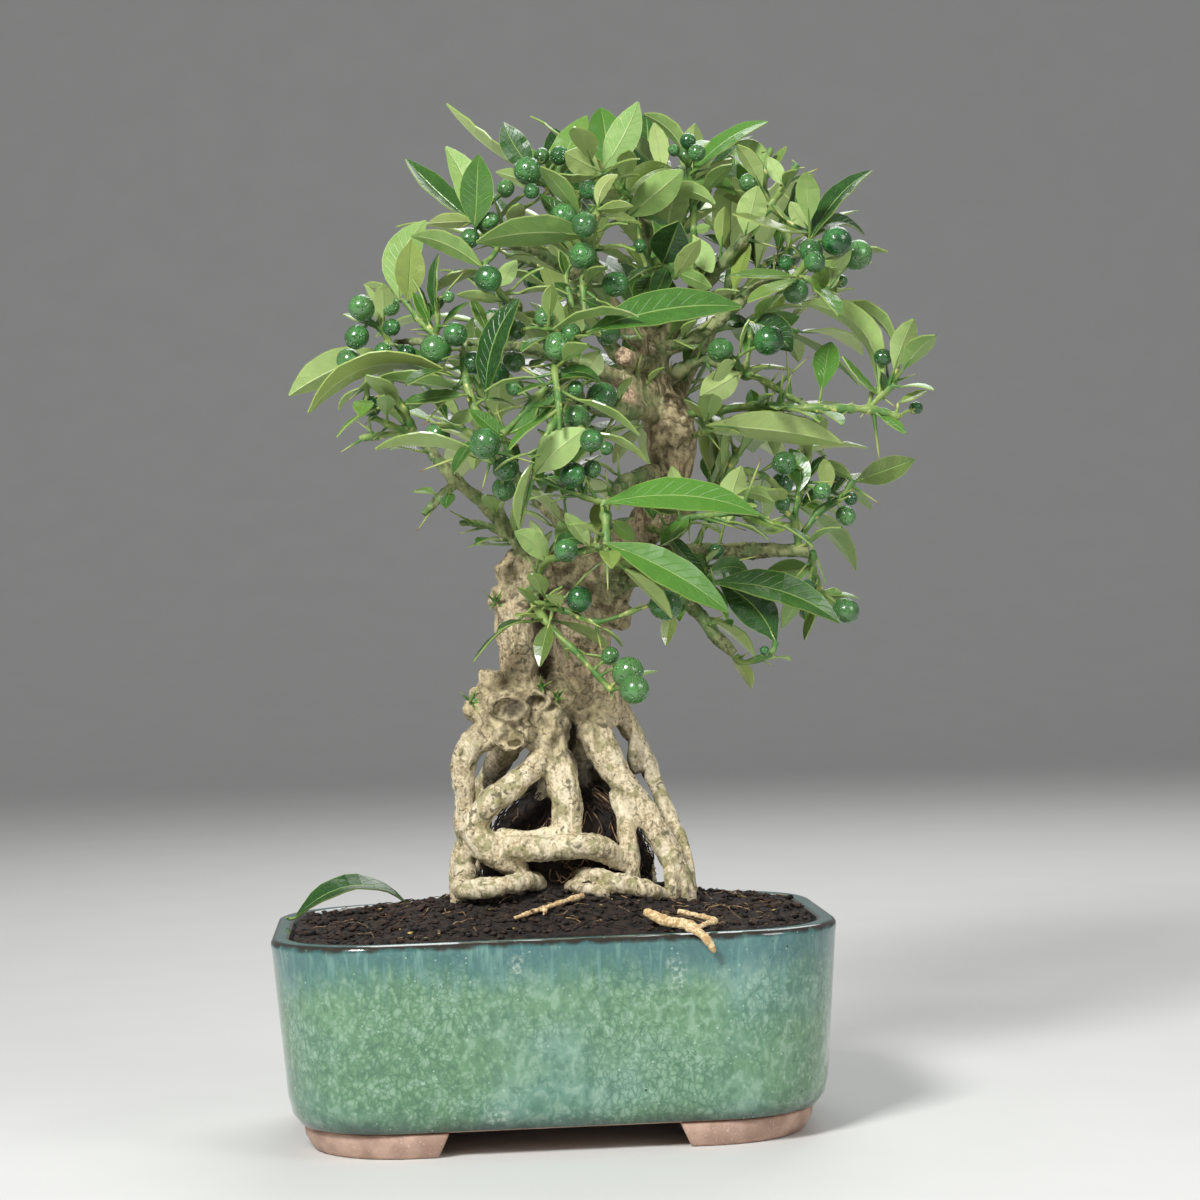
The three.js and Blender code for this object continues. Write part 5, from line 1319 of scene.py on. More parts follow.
@dataclass
class SideShoots:
    """Small leaves, thorns and bare spurs that fill the crown, placed by rule along twigs and limbs."""

    spacing: float = 7.0
    leaf_share: float = 0.62
    thorn_share: float = 0.86
    leaf_lengths: tuple = (11.0, 24.0)
    turns: tuple = (0.0, 0.9, -0.9, 1.8, -1.8, 2.7)
    lift: float = 0.15

    def grow(self, owner: str, twigs: list[Twig], room: Room, seed: int) -> tuple[list[Leaf], list[Thorn]]:
        """Places the shoots where they keep clear.

        Args:
            owner: the spray that they belong to.
            twigs: the twigs that they stand on.
            room: the room taken so far.
            seed: the start of the draws.

        Returns:
            The leaves, and the thorns and spurs.
        """
        draw = draws(seed)
        leaves, thorns = [], []
        for twig in twigs:
            length = float(np.linalg.norm(np.diff(twig.points, axis=0), axis=1).sum())
            for _ in range(math.ceil(length / self.spacing)):
                at = next(draw) * (len(twig.points) - 1)
                i = min(int(at), len(twig.points) - 2)
                foot = between(twig.points[i], twig.points[i + 1], at - i)
                along = unit(twig.points[i + 1] - twig.points[i])
                skin = float(twig.radii[i])
                turn, lean = FULL_TURN * next(draw), 0.2 + 0.8 * next(draw)
                size, kind = next(draw), next(draw)
                ways = [unit(leaning(along, turn + more, lean) + UP * self.lift) for more in self.turns]
                if kind < self.leaf_share:
                    choices = [self.leaf(foot, way, skin, size) for way in ways]
                    leaves.append(first_clear(room, owner, choices))
                else:
                    reach = skin + (5 + 6 * size if kind < self.thorn_share else 7 + 10 * size)
                    choices = [Thorn(foot, foot + way * reach) for way in ways]
                    thorns.append(first_clear(room, owner, choices))
        return kept(leaves), kept(thorns)

    def leaf(self, foot: Array, way: Array, skin: float, size: float) -> Leaf:
        """Makes one small leaf on a thin stalk."""
        low, high = self.leaf_lengths
        length = low + (high - low) * size * size
        base = foot + way * (skin + 2 + 5 * size)
        tip = base + way * length + UP * (0.1 * length * (1 - 2 * size))
        facing = np.array([0.5 * (size - 0.5), -0.35 + 0.6 * size, 1.0])
        bow_to = between(base, tip, 0.5) + UP * (0.1 * length)
        return Leaf(foot, base, tip, bow_to, 0.36 * length + 1, facing, SMALL_BLADE_ROOM)


# Sprays placed one by one
SPRAYS: list[Spray] = [
    Spray("spray_front_right", twigs=[
        [1.7, 1.2, [24, 214, -48], [24, 205, -54], [24, 196, -57]],
        [1.1, 0.7, [24, 214, -48], [13, 218, -50], [2, 223, -52]],
    ], leaves=[
        [24, 214, -56, 78, 209, -50, 11.1, TOP, 4], [24, 200, -60, 66, 175, -52, 11.8, TOP, 2],
        [36, 215, -46, 49, 210, -40, 4.8, TOP, 0], [26, 208, -50, 34, 201, -44, 5.5, TOP, 0],
    ], fruits=[
        [13, 224, -54, 4.5], [20, 226, -50, 3.1],
    ], thorns=[
        [24, 196, -57, 24, 183, -60], [22, 215, -52, 16, 226, -56], [4, 222, -52, -2, 224, -54],
    ]),
    Spray("spray_front_upper", twigs=[
        [1.6, 1, [10, 265, -28], [10, 265, -38], [12, 269, -50], [19, 273, -58]],
        [1.4, 0.9, [10, 265, -38], [8, 261, -60], [9, 250, -64], [9, 240, -65]],
        [1, 0.8, [12, 269, -50], [9, 274, -56], [6, 275, -58]],
    ], leaves=[
        [21, 274, -62, 74, 281, -56, 11.8, TOP, 3], [8, 275, -60, 38, 279, -60, 2.4, UNDER, 2],
        [24, 267, -48, 18, 258, -50, 9, UNDER, 0], [8, 257, -54, 24, 256, -46, 4.2, TOP, 3],
    ], fruits=[
        [9, 269, -62, 4.8], [14, 273, -56, 3.8], [5, 279, -56, 3.5], [27, 273, -48, 4.2], [-5, 275, -46, 3.5],
    ], thorns=[
        [8, 259, -50, -1, 262, -54], [8, 258, -50, 17, 254, -50], [9, 247, -54, 14, 250, -58],
    ]),
    Spray("spray_front_left", twigs=[
        [1.6, 1.1, [9, 248, -50], [8, 244, -56], [4, 237, -58], [0, 226, -58]],
        [1.5, 1, [9, 248, -50], [3, 250, -50], [-2, 247, -50], [-11, 239, -54]],
        [1.5, 1.5, [-2, 247, -50], [5, 255, -50]], [1.2, 0.8, [9, 248, -50], [16, 241, -56], [19, 233, -56]],
    ], leaves=[
        [0, 225, -60, 18, 240, -62, 11.8, UNDER, 1], [-9, 239, -56, 9, 253, -60, 5.5, TOP, -2],
        [-6, 206, -50, -1, 229, -56, 3.8, UNDER, 1], [-10, 237, -52, -22, 248, -50, 5.5, TOP, 0],
    ], fruits=[
        [15, 244, -58, 4.5], [20, 236, -60, 4.2], [25, 233, -56, 2.4], [15, 254, -52, 2.8],
        [-6, 255, -46, 3.1], [-6, 264, -44, 3.8], [24, 251, -48, 5.2],
    ], thorns=[
        [0, 251, -50, -6, 257, -54], [-1, 249, -52, 10, 248, -60], [-11, 240, -52, -13, 249, -56],
    ]),
    Spray("spray_left_mid", twigs=[
        [1.6, 1.2, [-23, 271, -29], [-23, 268, -37], [-23, 259, -40], [-20, 248, -44], [-16, 240, -46]],
        [1.1, 0.9, [-16, 240, -46], [-15, 232, -48], [-12, 226, -46]],
    ], leaves=[
        [-26, 259, -40, -78, 249, -30, 6.9, UNDER, -10], [-16, 252, -48, -4, 286, -54, 9, TOP, 3],
        [-15, 229, -48, -55, 236, -40, 4.2, UNDER, -3], [-24, 255, -38, -53, 260, -30, 4.8, UNDER, 0],
        [-23, 253, -42, -44, 251, -36, 4.2, TOP, 0], [-19, 247, -44, -29, 244, -40, 4.8, UNDER, 0],
    ], fruits=[
        [-33, 269, -38, 5.2], [-26, 274, -34, 4.2], [-20, 264, -38, 4.2], [-12, 260, -44, 4.2],
        [-17, 236, -52, 5.5], [-10, 227, -48, 4.5], [-11, 220, -46, 4.2],
    ], thorns=[
        [-24, 259, -40, -38, 243, -46], [-16, 235, -47, -40, 227, -40], [-16, 240, -46, -5, 235, -48],
    ]),
    Spray("spray_left_tip", twigs=[
        [1.3, 0.9, [-49, 272, -22], [-51, 276, -23], [-55, 279, -24]],
        [1.2, 0.8, [-49, 272, -22], [-54, 267, -24], [-57, 258, -24], [-57, 252, -24]],
    ], leaves=[
        [-52, 269, -14, -84, 255, -4, 11.1, UNDER, -1], [-51, 276, -20, -56, 292, -16, 2.8, UNDER, 0],
    ], fruits=[
        [-58, 284, -24, 4.5], [-48, 284, -24, 3.1], [-48, 277, -28, 3.1], [-60, 274, -26, 4.2],
        [-63, 266, -24, 4.2], [-51, 269, -28, 3.1], [-56, 250, -26, 3.8], [-43, 268, -28, 3.1],
    ], thorns=[
        [-55, 279, -24, -61, 280, -20], [-57, 257, -24, -64, 252, -22], [-57, 255, -24, -49, 256, -28],
    ]),
    Spray("spray_left_low", twigs=[
        [1.5, 1, [-42, 241, -24], [-49, 243, -27], [-55, 246, -29]],
        [1.6, 1.2, [-42, 241, -24], [-46, 251, -28], [-51, 254, -28]],
        [1.6, 1, [-42, 241, -24], [-51, 240, -20], [-60, 239, -16]],
    ], leaves=[
        [-46, 248, -26, -35, 254, -20, 4.2, TOP, 0],
    ], fruits=[], thorns=[
        [-55, 246, -29, -58, 244, -30], [-50, 243, -27, -56, 238, -30], [-56, 239, -17, -57, 249, -15],
        [-51, 254, -28, -55, 253, -30],
    ]),
    Spray("spray_left_upper", twigs=[
        [1.4, 1, [-32, 272, -28], [-33, 274, -31], [-38, 279, -27], [-43, 286, -23]],
        [1, 0.8, [-33, 274, -31], [-32, 278, -33], [-32, 286, -34]],
    ], leaves=[
        [-45, 287, -20, -35, 313, -6, 12.5, UNDER, 4], [-42, 286, -25, -40, 307, -28, 10.4, TOP, 0],
        [-45, 286, -22, -57, 292, -26, 2.8, UNDER, -1], [-32, 281, -34, -31, 302, -36, 3.1, TOP, 1],
        [-38, 280, -28, -29, 286, -34, 4.2, TOP, 0],
    ], fruits=[
        [-28, 287, -36, 2.1],
    ], thorns=[
        [-32, 285, -34, -22, 296, -38], [-35, 276, -29, -42, 276, -32],
    ]),
    Spray("spray_upper_left", twigs=[
        [1.4, 1, [-9, 306, -30], [-13, 308, -32], [-18, 313, -33]],
        [1.2, 0.9, [-9, 306, -30], [-12, 301, -34], [-15, 297, -36], [-10, 288, -38], [-7, 285, -38]],
    ], leaves=[
        [-19, 313, -32, -41, 335, -22, 6.9, TOP, 1], [-18, 312, -34, -27, 339, -26, 9.7, UNDER, -2],
        [-18, 311, -37, -16, 336, -40, 11.8, TOP, 0], [-18, 313, -34, -34, 313, -28, 5.2, UNDER, 0],
        [-16, 297, -36, -40, 309, -24, 6.9, UNDER, -2], [-15, 296, -36, -34, 289, -32, 3.5, UNDER, -1],
        [-9, 285, -38, -25, 288, -36, 3.5, UNDER, 0], [-11, 290, -36, -4, 299, -30, 6.2, UNDER, 0],
    ], fruits=[
        [-13, 313, -38, 3.5], [-20, 307, -36, 3.5], [-14, 293, -42, 4.8], [-7, 324, -30, 3.1],
    ], thorns=[
        [-18, 313, -34, -23, 311, -38], [-15, 298, -36, -21, 302, -40], [-8, 287, -38, -3, 283, -40],
    ]),
    Spray("spray_top_left", twigs=[
        [1.5, 1, [16, 317, -10], [10, 323, -16], [4, 327, -20]],
        [1.1, 0.9, [16, 317, -10], [20, 323, -14], [25, 329, -18]],
    ], leaves=[
        [2, 330, -22, -26, 354, -10, 3.1, UNDER, 3], [3, 330, -26, -7, 347, -20, 9.7, TOP, 1],
        [8, 325, -14, 22, 349, -6, 9.7, TOP, 0], [26, 329, -20, 14, 336, -28, 9.7, UNDER, 0],
        [26, 328, -22, 7, 329, -26, 2.8, UNDER, 2], [5, 325, -20, -10, 330, -14, 5.5, UNDER, 0],
    ], fruits=[
        [1, 330, -28, 5], [6, 335, -16, 2.8], [12, 335, -20, 3.3], [2, 323, -24, 2.8], [22, 323, -18, 3.5],
    ], thorns=[
        [10, 323, -16, 8, 318, -18], [20, 323, -14, 15, 320, -18],
    ]),
    Spray("spray_top_front", twigs=[
        [1.7, 1.2, [22, 299, -7], [22, 303, -26], [23, 310, -34], [25, 317, -37]],
        [1, 0.8, [22, 303, -26], [16, 298, -32], [13, 293, -34], [15, 282, -36]],
        [1.4, 0.9, [22, 302, -22], [19, 293, -28], [19, 281, -34]],
    ], leaves=[
        [22, 307, -33, -18, 306, -40, 10.4, UNDER, -2], [22, 306, -32, 5, 322, -34, 6.9, TOP, 1],
        [25, 317, -36, 32, 328, -32, 4.8, UNDER, 2], [25, 316, -38, 37, 317, -32, 4.2, UNDER, 0],
        [25, 314, -38, 40, 311, -30, 2.8, TOP, 0], [13, 293, -34, 11, 302, -36, 2.8, TOP, 0],
        [19, 285, -34, 29, 280, -28, 5.5, TOP, 0], [15, 286, -34, 9, 291, -36, 4.8, TOP, 0],
    ], fruits=[
        [13, 314, -42, 4.5], [20, 311, -44, 4.5], [19, 300, -40, 4.8], [30, 290, -34, 4.5],
    ], thorns=[
        [25, 317, -37, 21, 318, -40], [19, 288, -32, 24, 296, -36], [16, 298, -32, 21, 296, -38],
    ]),
    Spray("spray_top", twigs=[
        [1.4, 1, [40, 315, 12], [35, 321, 4], [28, 328, -2]],
        [1.1, 0.8, [40, 315, 12], [47, 319, 6], [49, 322, 4]],
    ], leaves=[
        [27, 330, -2, 40, 353, 4, 11.1, UNDER, -1], [35, 320, 4, 51, 330, 0, 8.3, TOP, 3],
        [35, 313, 4, 55, 329, -8, 11.8, UNDER, 0], [49, 322, 2, 34, 342, 8, 4.2, UNDER, -2],
        [39, 314, 8, 43, 299, -6, 6.2, TOP, 6], [49, 322, 2, 66, 317, -4, 5.5, UNDER, 2],
    ], fruits=[
        [39, 303, -2, 2.4],
    ], thorns=[
        [35, 321, 4, 30, 317, 0], [28, 328, -2, 26, 333, -4],
    ]),
    Spray("spray_top_mid", twigs=[
        [1.4, 0.9, [56, 285, 0], [58, 305, 4], [58, 320, 2], [57, 330, 0]],
    ], leaves=[
        [57, 331, 0, 42, 349, 6, 4.8, UNDER, -3], [58, 328, -2, 85, 346, -6, 5.5, TOP, 2],
        [59, 327, 0, 66, 339, 4, 6.2, UNDER, 0], [58, 324, -2, 73, 320, -8, 4.8, TOP, 3],
        [58, 306, 0, 64, 293, -6, 7.6, UNDER, 0], [58, 308, 4, 64, 309, 0, 3.5, UNDER, 0],
    ], fruits=[
        [57, 339, -2, 2.8], [60, 335, -6, 3.1], [56, 334, -8, 2.4], [52, 336, 0, 2.1],
    ], thorns=[
        [58, 328, 0, 67, 330, -4], [58, 315, 2, 62, 314, 0],
    ]),
    Spray("spray_centre", twigs=[
        [1.5, 1, [44, 297, 15], [49, 297, 4], [51, 292, -8]],
    ], leaves=[
        [47, 297, 4, 53, 311, -2, 13.9, TOP, 0], [49, 296, 0, 43, 284, -10, 6.9, TOP, 0],
        [51, 292, -8, 60, 305, -12, 6.2, UNDER, 0], [51, 294, -6, 64, 288, -16, 5.5, UNDER, 0],
    ], fruits=[
        [46, 305, -4, 2.8],
    ], thorns=[
        [51, 294, -6, 54, 299, -12],
    ]),
    Spray("spray_upper_right", twigs=[
        [1.4, 1, [85, 316, -6], [89, 321, -8], [95, 330, -10]],
        [1.3, 0.9, [85, 316, -6], [83, 322, -4], [84, 330, -4], [86, 336, -4]],
        [1.2, 0.9, [85, 316, -6], [92, 310, -8], [98, 306, -10]],
    ], leaves=[
        [83, 326, -4, 73, 338, 0, 5.5, UNDER, -4], [90, 323, -8, 85, 333, -4, 5.5, UNDER, 0],
        [76, 306, -8, 81, 323, -14, 10.4, UNDER, 0], [96, 313, -10, 98, 324, -8, 6.2, TOP, 0],
        [98, 308, -12, 92, 317, -16, 6.2, UNDER, 0], [97, 306, -10, 72, 314, -14, 2.4, TOP, 1],
        [84, 316, -6, 69, 320, 2, 4.8, UNDER, 0], [85, 316, -6, 73, 301, -12, 4.2, TOP, 0],
    ], fruits=[
        [78, 324, -8, 3.5],
    ], thorns=[
        [95, 330, -10, 93, 332, -10], [95, 328, -10, 98, 329, -12], [85, 335, -4, 82, 335, -4],
        [89, 321, -8, 92, 318, -12], [84, 318, -6, 90, 311, -14],
    ]),
    Spray("spray_right_top", twigs=[
        [1.4, 1, [93, 291, -18], [97, 296, -20], [99, 304, -20]],
        [1.1, 0.8, [93, 291, -18], [100, 289, -20], [104, 286, -20]],
    ], leaves=[
        [99, 304, -20, 121, 328, -14, 6.2, TOP, 2], [99, 304, -20, 118, 305, -12, 4.2, TOP, 5],
        [100, 298, -24, 113, 300, -30, 3.5, UNDER, -5], [104, 286, -20, 108, 294, -16, 4.8, UNDER, 0],
        [99, 286, -22, 105, 294, -24, 6.2, TOP, 0], [93, 291, -22, 70, 292, -18, 3.1, TOP, 0],
        [93, 290, -22, 76, 283, -24, 3.8, TOP, 0],
    ], fruits=[
        [108, 303, -28, 5.2], [115, 298, -22, 5.2], [99, 300, -26, 4.2], [100, 296, -32, 3.8],
        [93, 286, -26, 4.5], [109, 289, -18, 2.4], [90, 296, -18, 2.8],
    ], thorns=[
        [99, 304, -20, 103, 310, -18], [104, 286, -20, 109, 284, -22], [97, 296, -20, 92, 302, -24],
    ]),
    Spray("spray_centre_right", twigs=[
        [1.4, 1, [74, 257, -6], [79, 256, -10], [90, 249, -13], [97, 245, -15]],
        [1.3, 0.9, [74, 257, -6], [71, 262, -12], [68, 265, -14]],
        [1.1, 0.8, [74, 257, -6], [76, 266, -6], [77, 274, -6]],
    ], leaves=[
        [76, 276, -8, 91, 265, -14, 11.8, TOP, 2], [73, 258, -8, 58, 250, -12, 10.4, UNDER, 0],
        [77, 275, -8, 66, 277, -8, 4.8, TOP, 0], [71, 262, -12, 63, 256, -18, 4.8, UNDER, 0],
        [76, 273, -6, 94, 277, -2, 7.6, TOP, 0],
    ], fruits=[
        [66, 266, -20, 4.5], [83, 269, -22, 5.2],
    ], thorns=[
        [85, 253, -12, 97, 263, -18], [83, 254, -11, 87, 259, -8], [90, 249, -13, 89, 265, -16],
    ]),
    Spray("spray_right_long", twigs=[
        [1.9, 1.2, [52, 244, -2], [76, 246, -16], [93, 245, -22], [117, 244, -22], [128, 241, -22]],
        [1.1, 0.9, [117, 244, -22], [121, 248, -22], [127, 254, -22], [128, 264, -22]],
        [0.9, 0.8, [117, 244, -22], [119, 250, -20], [122, 251, -20]],
    ], leaves=[
        [121, 249, -22, 95, 282, -14, 7.6, UNDER, -10], [128, 263, -22, 108, 281, -16, 4.2, UNDER, -5],
        [121, 249, -22, 109, 263, -26, 2.1, TOP, 1], [128, 246, -22, 138, 250, -24, 2.4, TOP, 0],
        [123, 250, -22, 122, 257, -26, 2.8, TOP, 0],
    ], fruits=[
        [123, 262, -24, 3.1], [134, 244, -22, 2.4],
    ], thorns=[
        [127, 253, -22, 135, 256, -26], [97, 244, -22, 101, 230, -20], [86, 245, -20, 91, 258, -26],
        [127, 257, -22, 131, 264, -24], [65, 245, -10, 68, 234, -14], [124, 251, -22, 131, 255, -20],
        [117, 244, -22, 114, 241, -22], [111, 245, -22, 106, 241, -26],
    ]),
    Spray("spray_right_shade", twigs=[
        [1.3, 0.9, [54, 236, -2], [60, 238, -16], [62, 240, -18]],
    ], leaves=[
        [61, 240, -18, 108, 233, -14, 10.4, UNDER, 1], [61, 238, -18, 72, 237, -24, 2.8, UNDER, 0],
    ], fruits=[], thorns=[
        [60, 238, -16, 65, 231, -20],
    ]),
    Spray("spray_right_mid", twigs=[
        [1.5, 1.1, [91, 195, -8], [91, 199, -10], [90, 206, -14], [92, 215, -15], [95, 223, -15]],
        [1.4, 1, [91, 199, -10], [99, 209, -10], [106, 213, -10], [111, 219, -10]],
        [1.1, 0.9, [90, 206, -14], [87, 209, -16], [85, 210, -16]],
    ], leaves=[
        [95, 223, -15, 80, 242, -20, 4.8, UNDER, -6], [111, 219, -10, 97, 224, -4, 4.2, UNDER, -2],
        [112, 219, -10, 133, 226, -14, 9, TOP, 0], [85, 211, -16, 70, 216, -20, 4.8, UNDER, -2],
        [107, 213, -10, 93, 211, -14, 3.5, TOP, -3], [89, 205, -14, 71, 209, -18, 4.8, TOP, 3],
        [92, 216, -15, 89, 231, -8, 7.6, TOP, -2],
    ], fruits=[
        [87, 226, -18, 4.2], [86, 212, -22, 2.8], [100, 216, -14, 3.1], [108, 207, -12, 3.5],
        [110, 213, -14, 2.4],
    ], thorns=[
        [111, 217, -10, 120, 211, -12], [94, 219, -15, 105, 219, -18], [95, 223, -15, 94, 228, -15],
        [88, 208, -15, 81, 206, -18], [94, 219, -15, 96, 212, -18],
    ]),
    Spray("spray_right_middle", twigs=[
        [1.3, 0.9, [39, 205, -2], [44, 204, -16], [53, 208, -22], [71, 209, -22], [81, 207, -22]],
    ], leaves=[
        [44, 205, -22, 59, 186, -28, 4.8, TOP, -1], [53, 208, -22, 43, 199, -30, 4.8, TOP, 0],
    ], fruits=[], thorns=[
        [57, 208, -22, 73, 203, -24], [53, 208, -22, 53, 200, -24], [43, 204, -20, 41, 215, -20],
        [71, 209, -22, 79, 228, -24],
    ]),
    Spray("spray_right_low", twigs=[
        [1.4, 0.9, [57, 196, -6], [58, 189, -18], [61, 185, -24]],
    ], leaves=[
        [61, 185, -24, 105, 170, -22, 10.4, TOP, 4], [59, 188, -22, 73, 189, -14, 7.6, TOP, 2],
        [58, 189, -20, 53, 196, -24, 4.8, TOP, 0],
    ], fruits=[
        [62, 196, -18, 2.8],
    ], thorns=[
        [61, 185, -24, 60, 191, -30], [72, 187, -14, 77, 194, -16],
    ]),
    Spray("spray_right_low_tip", twigs=[
        [1.4, 1, [68, 159, -18], [71, 157, -20], [80, 160, -20], [82, 164, -20]],
    ], leaves=[
        [82, 164, -20, 63, 185, -12, 13.9, TOP, -3],
    ], fruits=[
        [78, 161, -24, 1.7],
    ], thorns=[
        [69, 158, -19, 67, 155, -19], [80, 160, -20, 76, 162, -24],
    ]),
    Spray("spray_right_end", twigs=[
        [1.4, 0.9, [96, 195, -9], [96, 188, -4], [99, 180, -2]],
    ], leaves=[
        [96, 189, -4, 79, 188, 2, 8.3, UNDER, 0], [96, 186, -2, 84, 169, 4, 6.2, UNDER, 0],
        [99, 181, -2, 107, 176, 2, 6.9, UNDER, 0], [97, 184, -2, 91, 174, 6, 4.8, TOP, 0],
    ], fruits=[
        [107, 174, 0, 4.5], [94, 183, -6, 2.4], [94, 174, 0, 3.5],
    ], thorns=[
        [97, 184, -2, 93, 172, 6],
    ]),
    Spray("spray_front_low", twigs=[
        [1.5, 1.2, [-3, 188, -10], [0, 188, -26], [2, 194, -34], [8, 196, -40], [22, 199, -44]],
    ], leaves=[
        [3, 194, -36, -8, 205, -44, 8.3, UNDER, -2], [6, 196, -40, 18, 200, -48, 4.8, TOP, 4],
        [10, 197, -40, 8, 208, -34, 6.2, UNDER, 0], [18, 199, -44, 10, 211, -46, 5.5, UNDER, 0],
        [2, 194, -34, -2, 209, -30, 4.8, UNDER, 0],
    ], fruits=[
        [10, 198, -50, 4.2],
    ], thorns=[
        [22, 199, -44, 26, 201, -46],
    ]),
    Spray("spray_burl", twigs=[
        [1.3, 1, [-2, 180, -22], [4, 171, -32], [11, 164, -36], [24, 149, -38]],
        [1.1, 0.9, [-2, 180, -22], [9, 177, -34], [20, 173, -38], [38, 178, -38]],
        [0.9, 0.8, [-2, 180, -22], [4, 180, -32], [8, 180, -34]],
    ], leaves=[
        [-2, 180, -24, -7, 186, -30, 2.8, UNDER, 0],
    ], fruits=[
        [14, 181, -38, 4.5], [44, 178, -38, 5.5], [24, 161, -40, 3.1], [30, 155, -42, 5.5],
        [32, 149, -46, 5.2],
    ], thorns=[
        [20, 154, -38, 29, 159, -44], [32, 176, -38, 36, 179, -40], [24, 149, -38, 24, 145, -38],
        [11, 164, -36, 8, 164, -38],
    ]),
]

# Sprays grown by rule, at the back and inside: name, first and last place of the twig, number of leaves
GROWN_SPRAYS: list = [
    ["spray_back_left_high", (13, 288, 50), (-7, 301, 64), 6],
    ["spray_back_left_top", (18, 281, 46), (16, 311, 60), 5],
    ["spray_back_left_side", (24, 274, 42), (-16, 278, 54), 6],
    ["spray_back_left_inner", (32, 261, 34), (4, 253, 66), 5],
    ["spray_back_right_high", (74, 286, 48), (92, 300, 62), 6],
    ["spray_back_right_top", (68, 279, 42), (74, 311, 54), 5],
    ["spray_back_right_side", (63, 273, 36), (93, 272, 54), 5],
    ["spray_back_top_left", (43, 297, 44), (27, 323, 46), 5],
    ["spray_back_top_right", (43, 293, 40), (61, 321, 42), 5],
    ["spray_back_top", (42, 304, 48), (44, 318, 68), 5],
    ["spray_back_low_left", (-15, 233, 48), (-32, 243, 60), 5],
    ["spray_back_low_left_up", (-5, 222, 42), (-21, 260, 44), 5],
    ["spray_back_low_middle", (2, 215, 36), (14, 226, 66), 5],
    ["spray_back_low_right", (72, 224, 46), (89, 213, 58), 5],
    ["spray_back_low_right_up", (64, 219, 38), (85, 245, 56), 4],
    ["spray_back_middle_up", (45, 256, 64), (38, 277, 76), 6],
    ["spray_back_middle_right", (45, 251, 54), (64, 240, 72), 5],
    ["spray_back_middle_left", (46, 242, 34), (23, 247, 72), 5],
]

# Dead roots lying on the soil and over the rim: each place as x, y, z and radius
LOOSE_ROOTS: dict = {
    "loose_root_over_rim": [
        [[29, -56, 77.6, 1.5], [35, -63, 75, 1.9], [41, -70, 74.4, 1.8], [46.5, -74.2, 70.4, 1.5],
         [49.5, -73.6, 65.6, 0.9]],
        [[40, -53, 77, 1], [51, -62, 74.6, 0.9], [47.5, -68, 74.2, 0.9], [44.5, -71.5, 73.2, 0.9]],
    ],
    "loose_root_on_soil": [
        [[-14, -50, 76.6, 0.7], [-3, -41, 78.8, 0.9], [10, -30, 81.2, 1]],
        [[-3, -41, 78.6, 0.7], [-4, -46, 76.9, 0.6]],
    ],
}


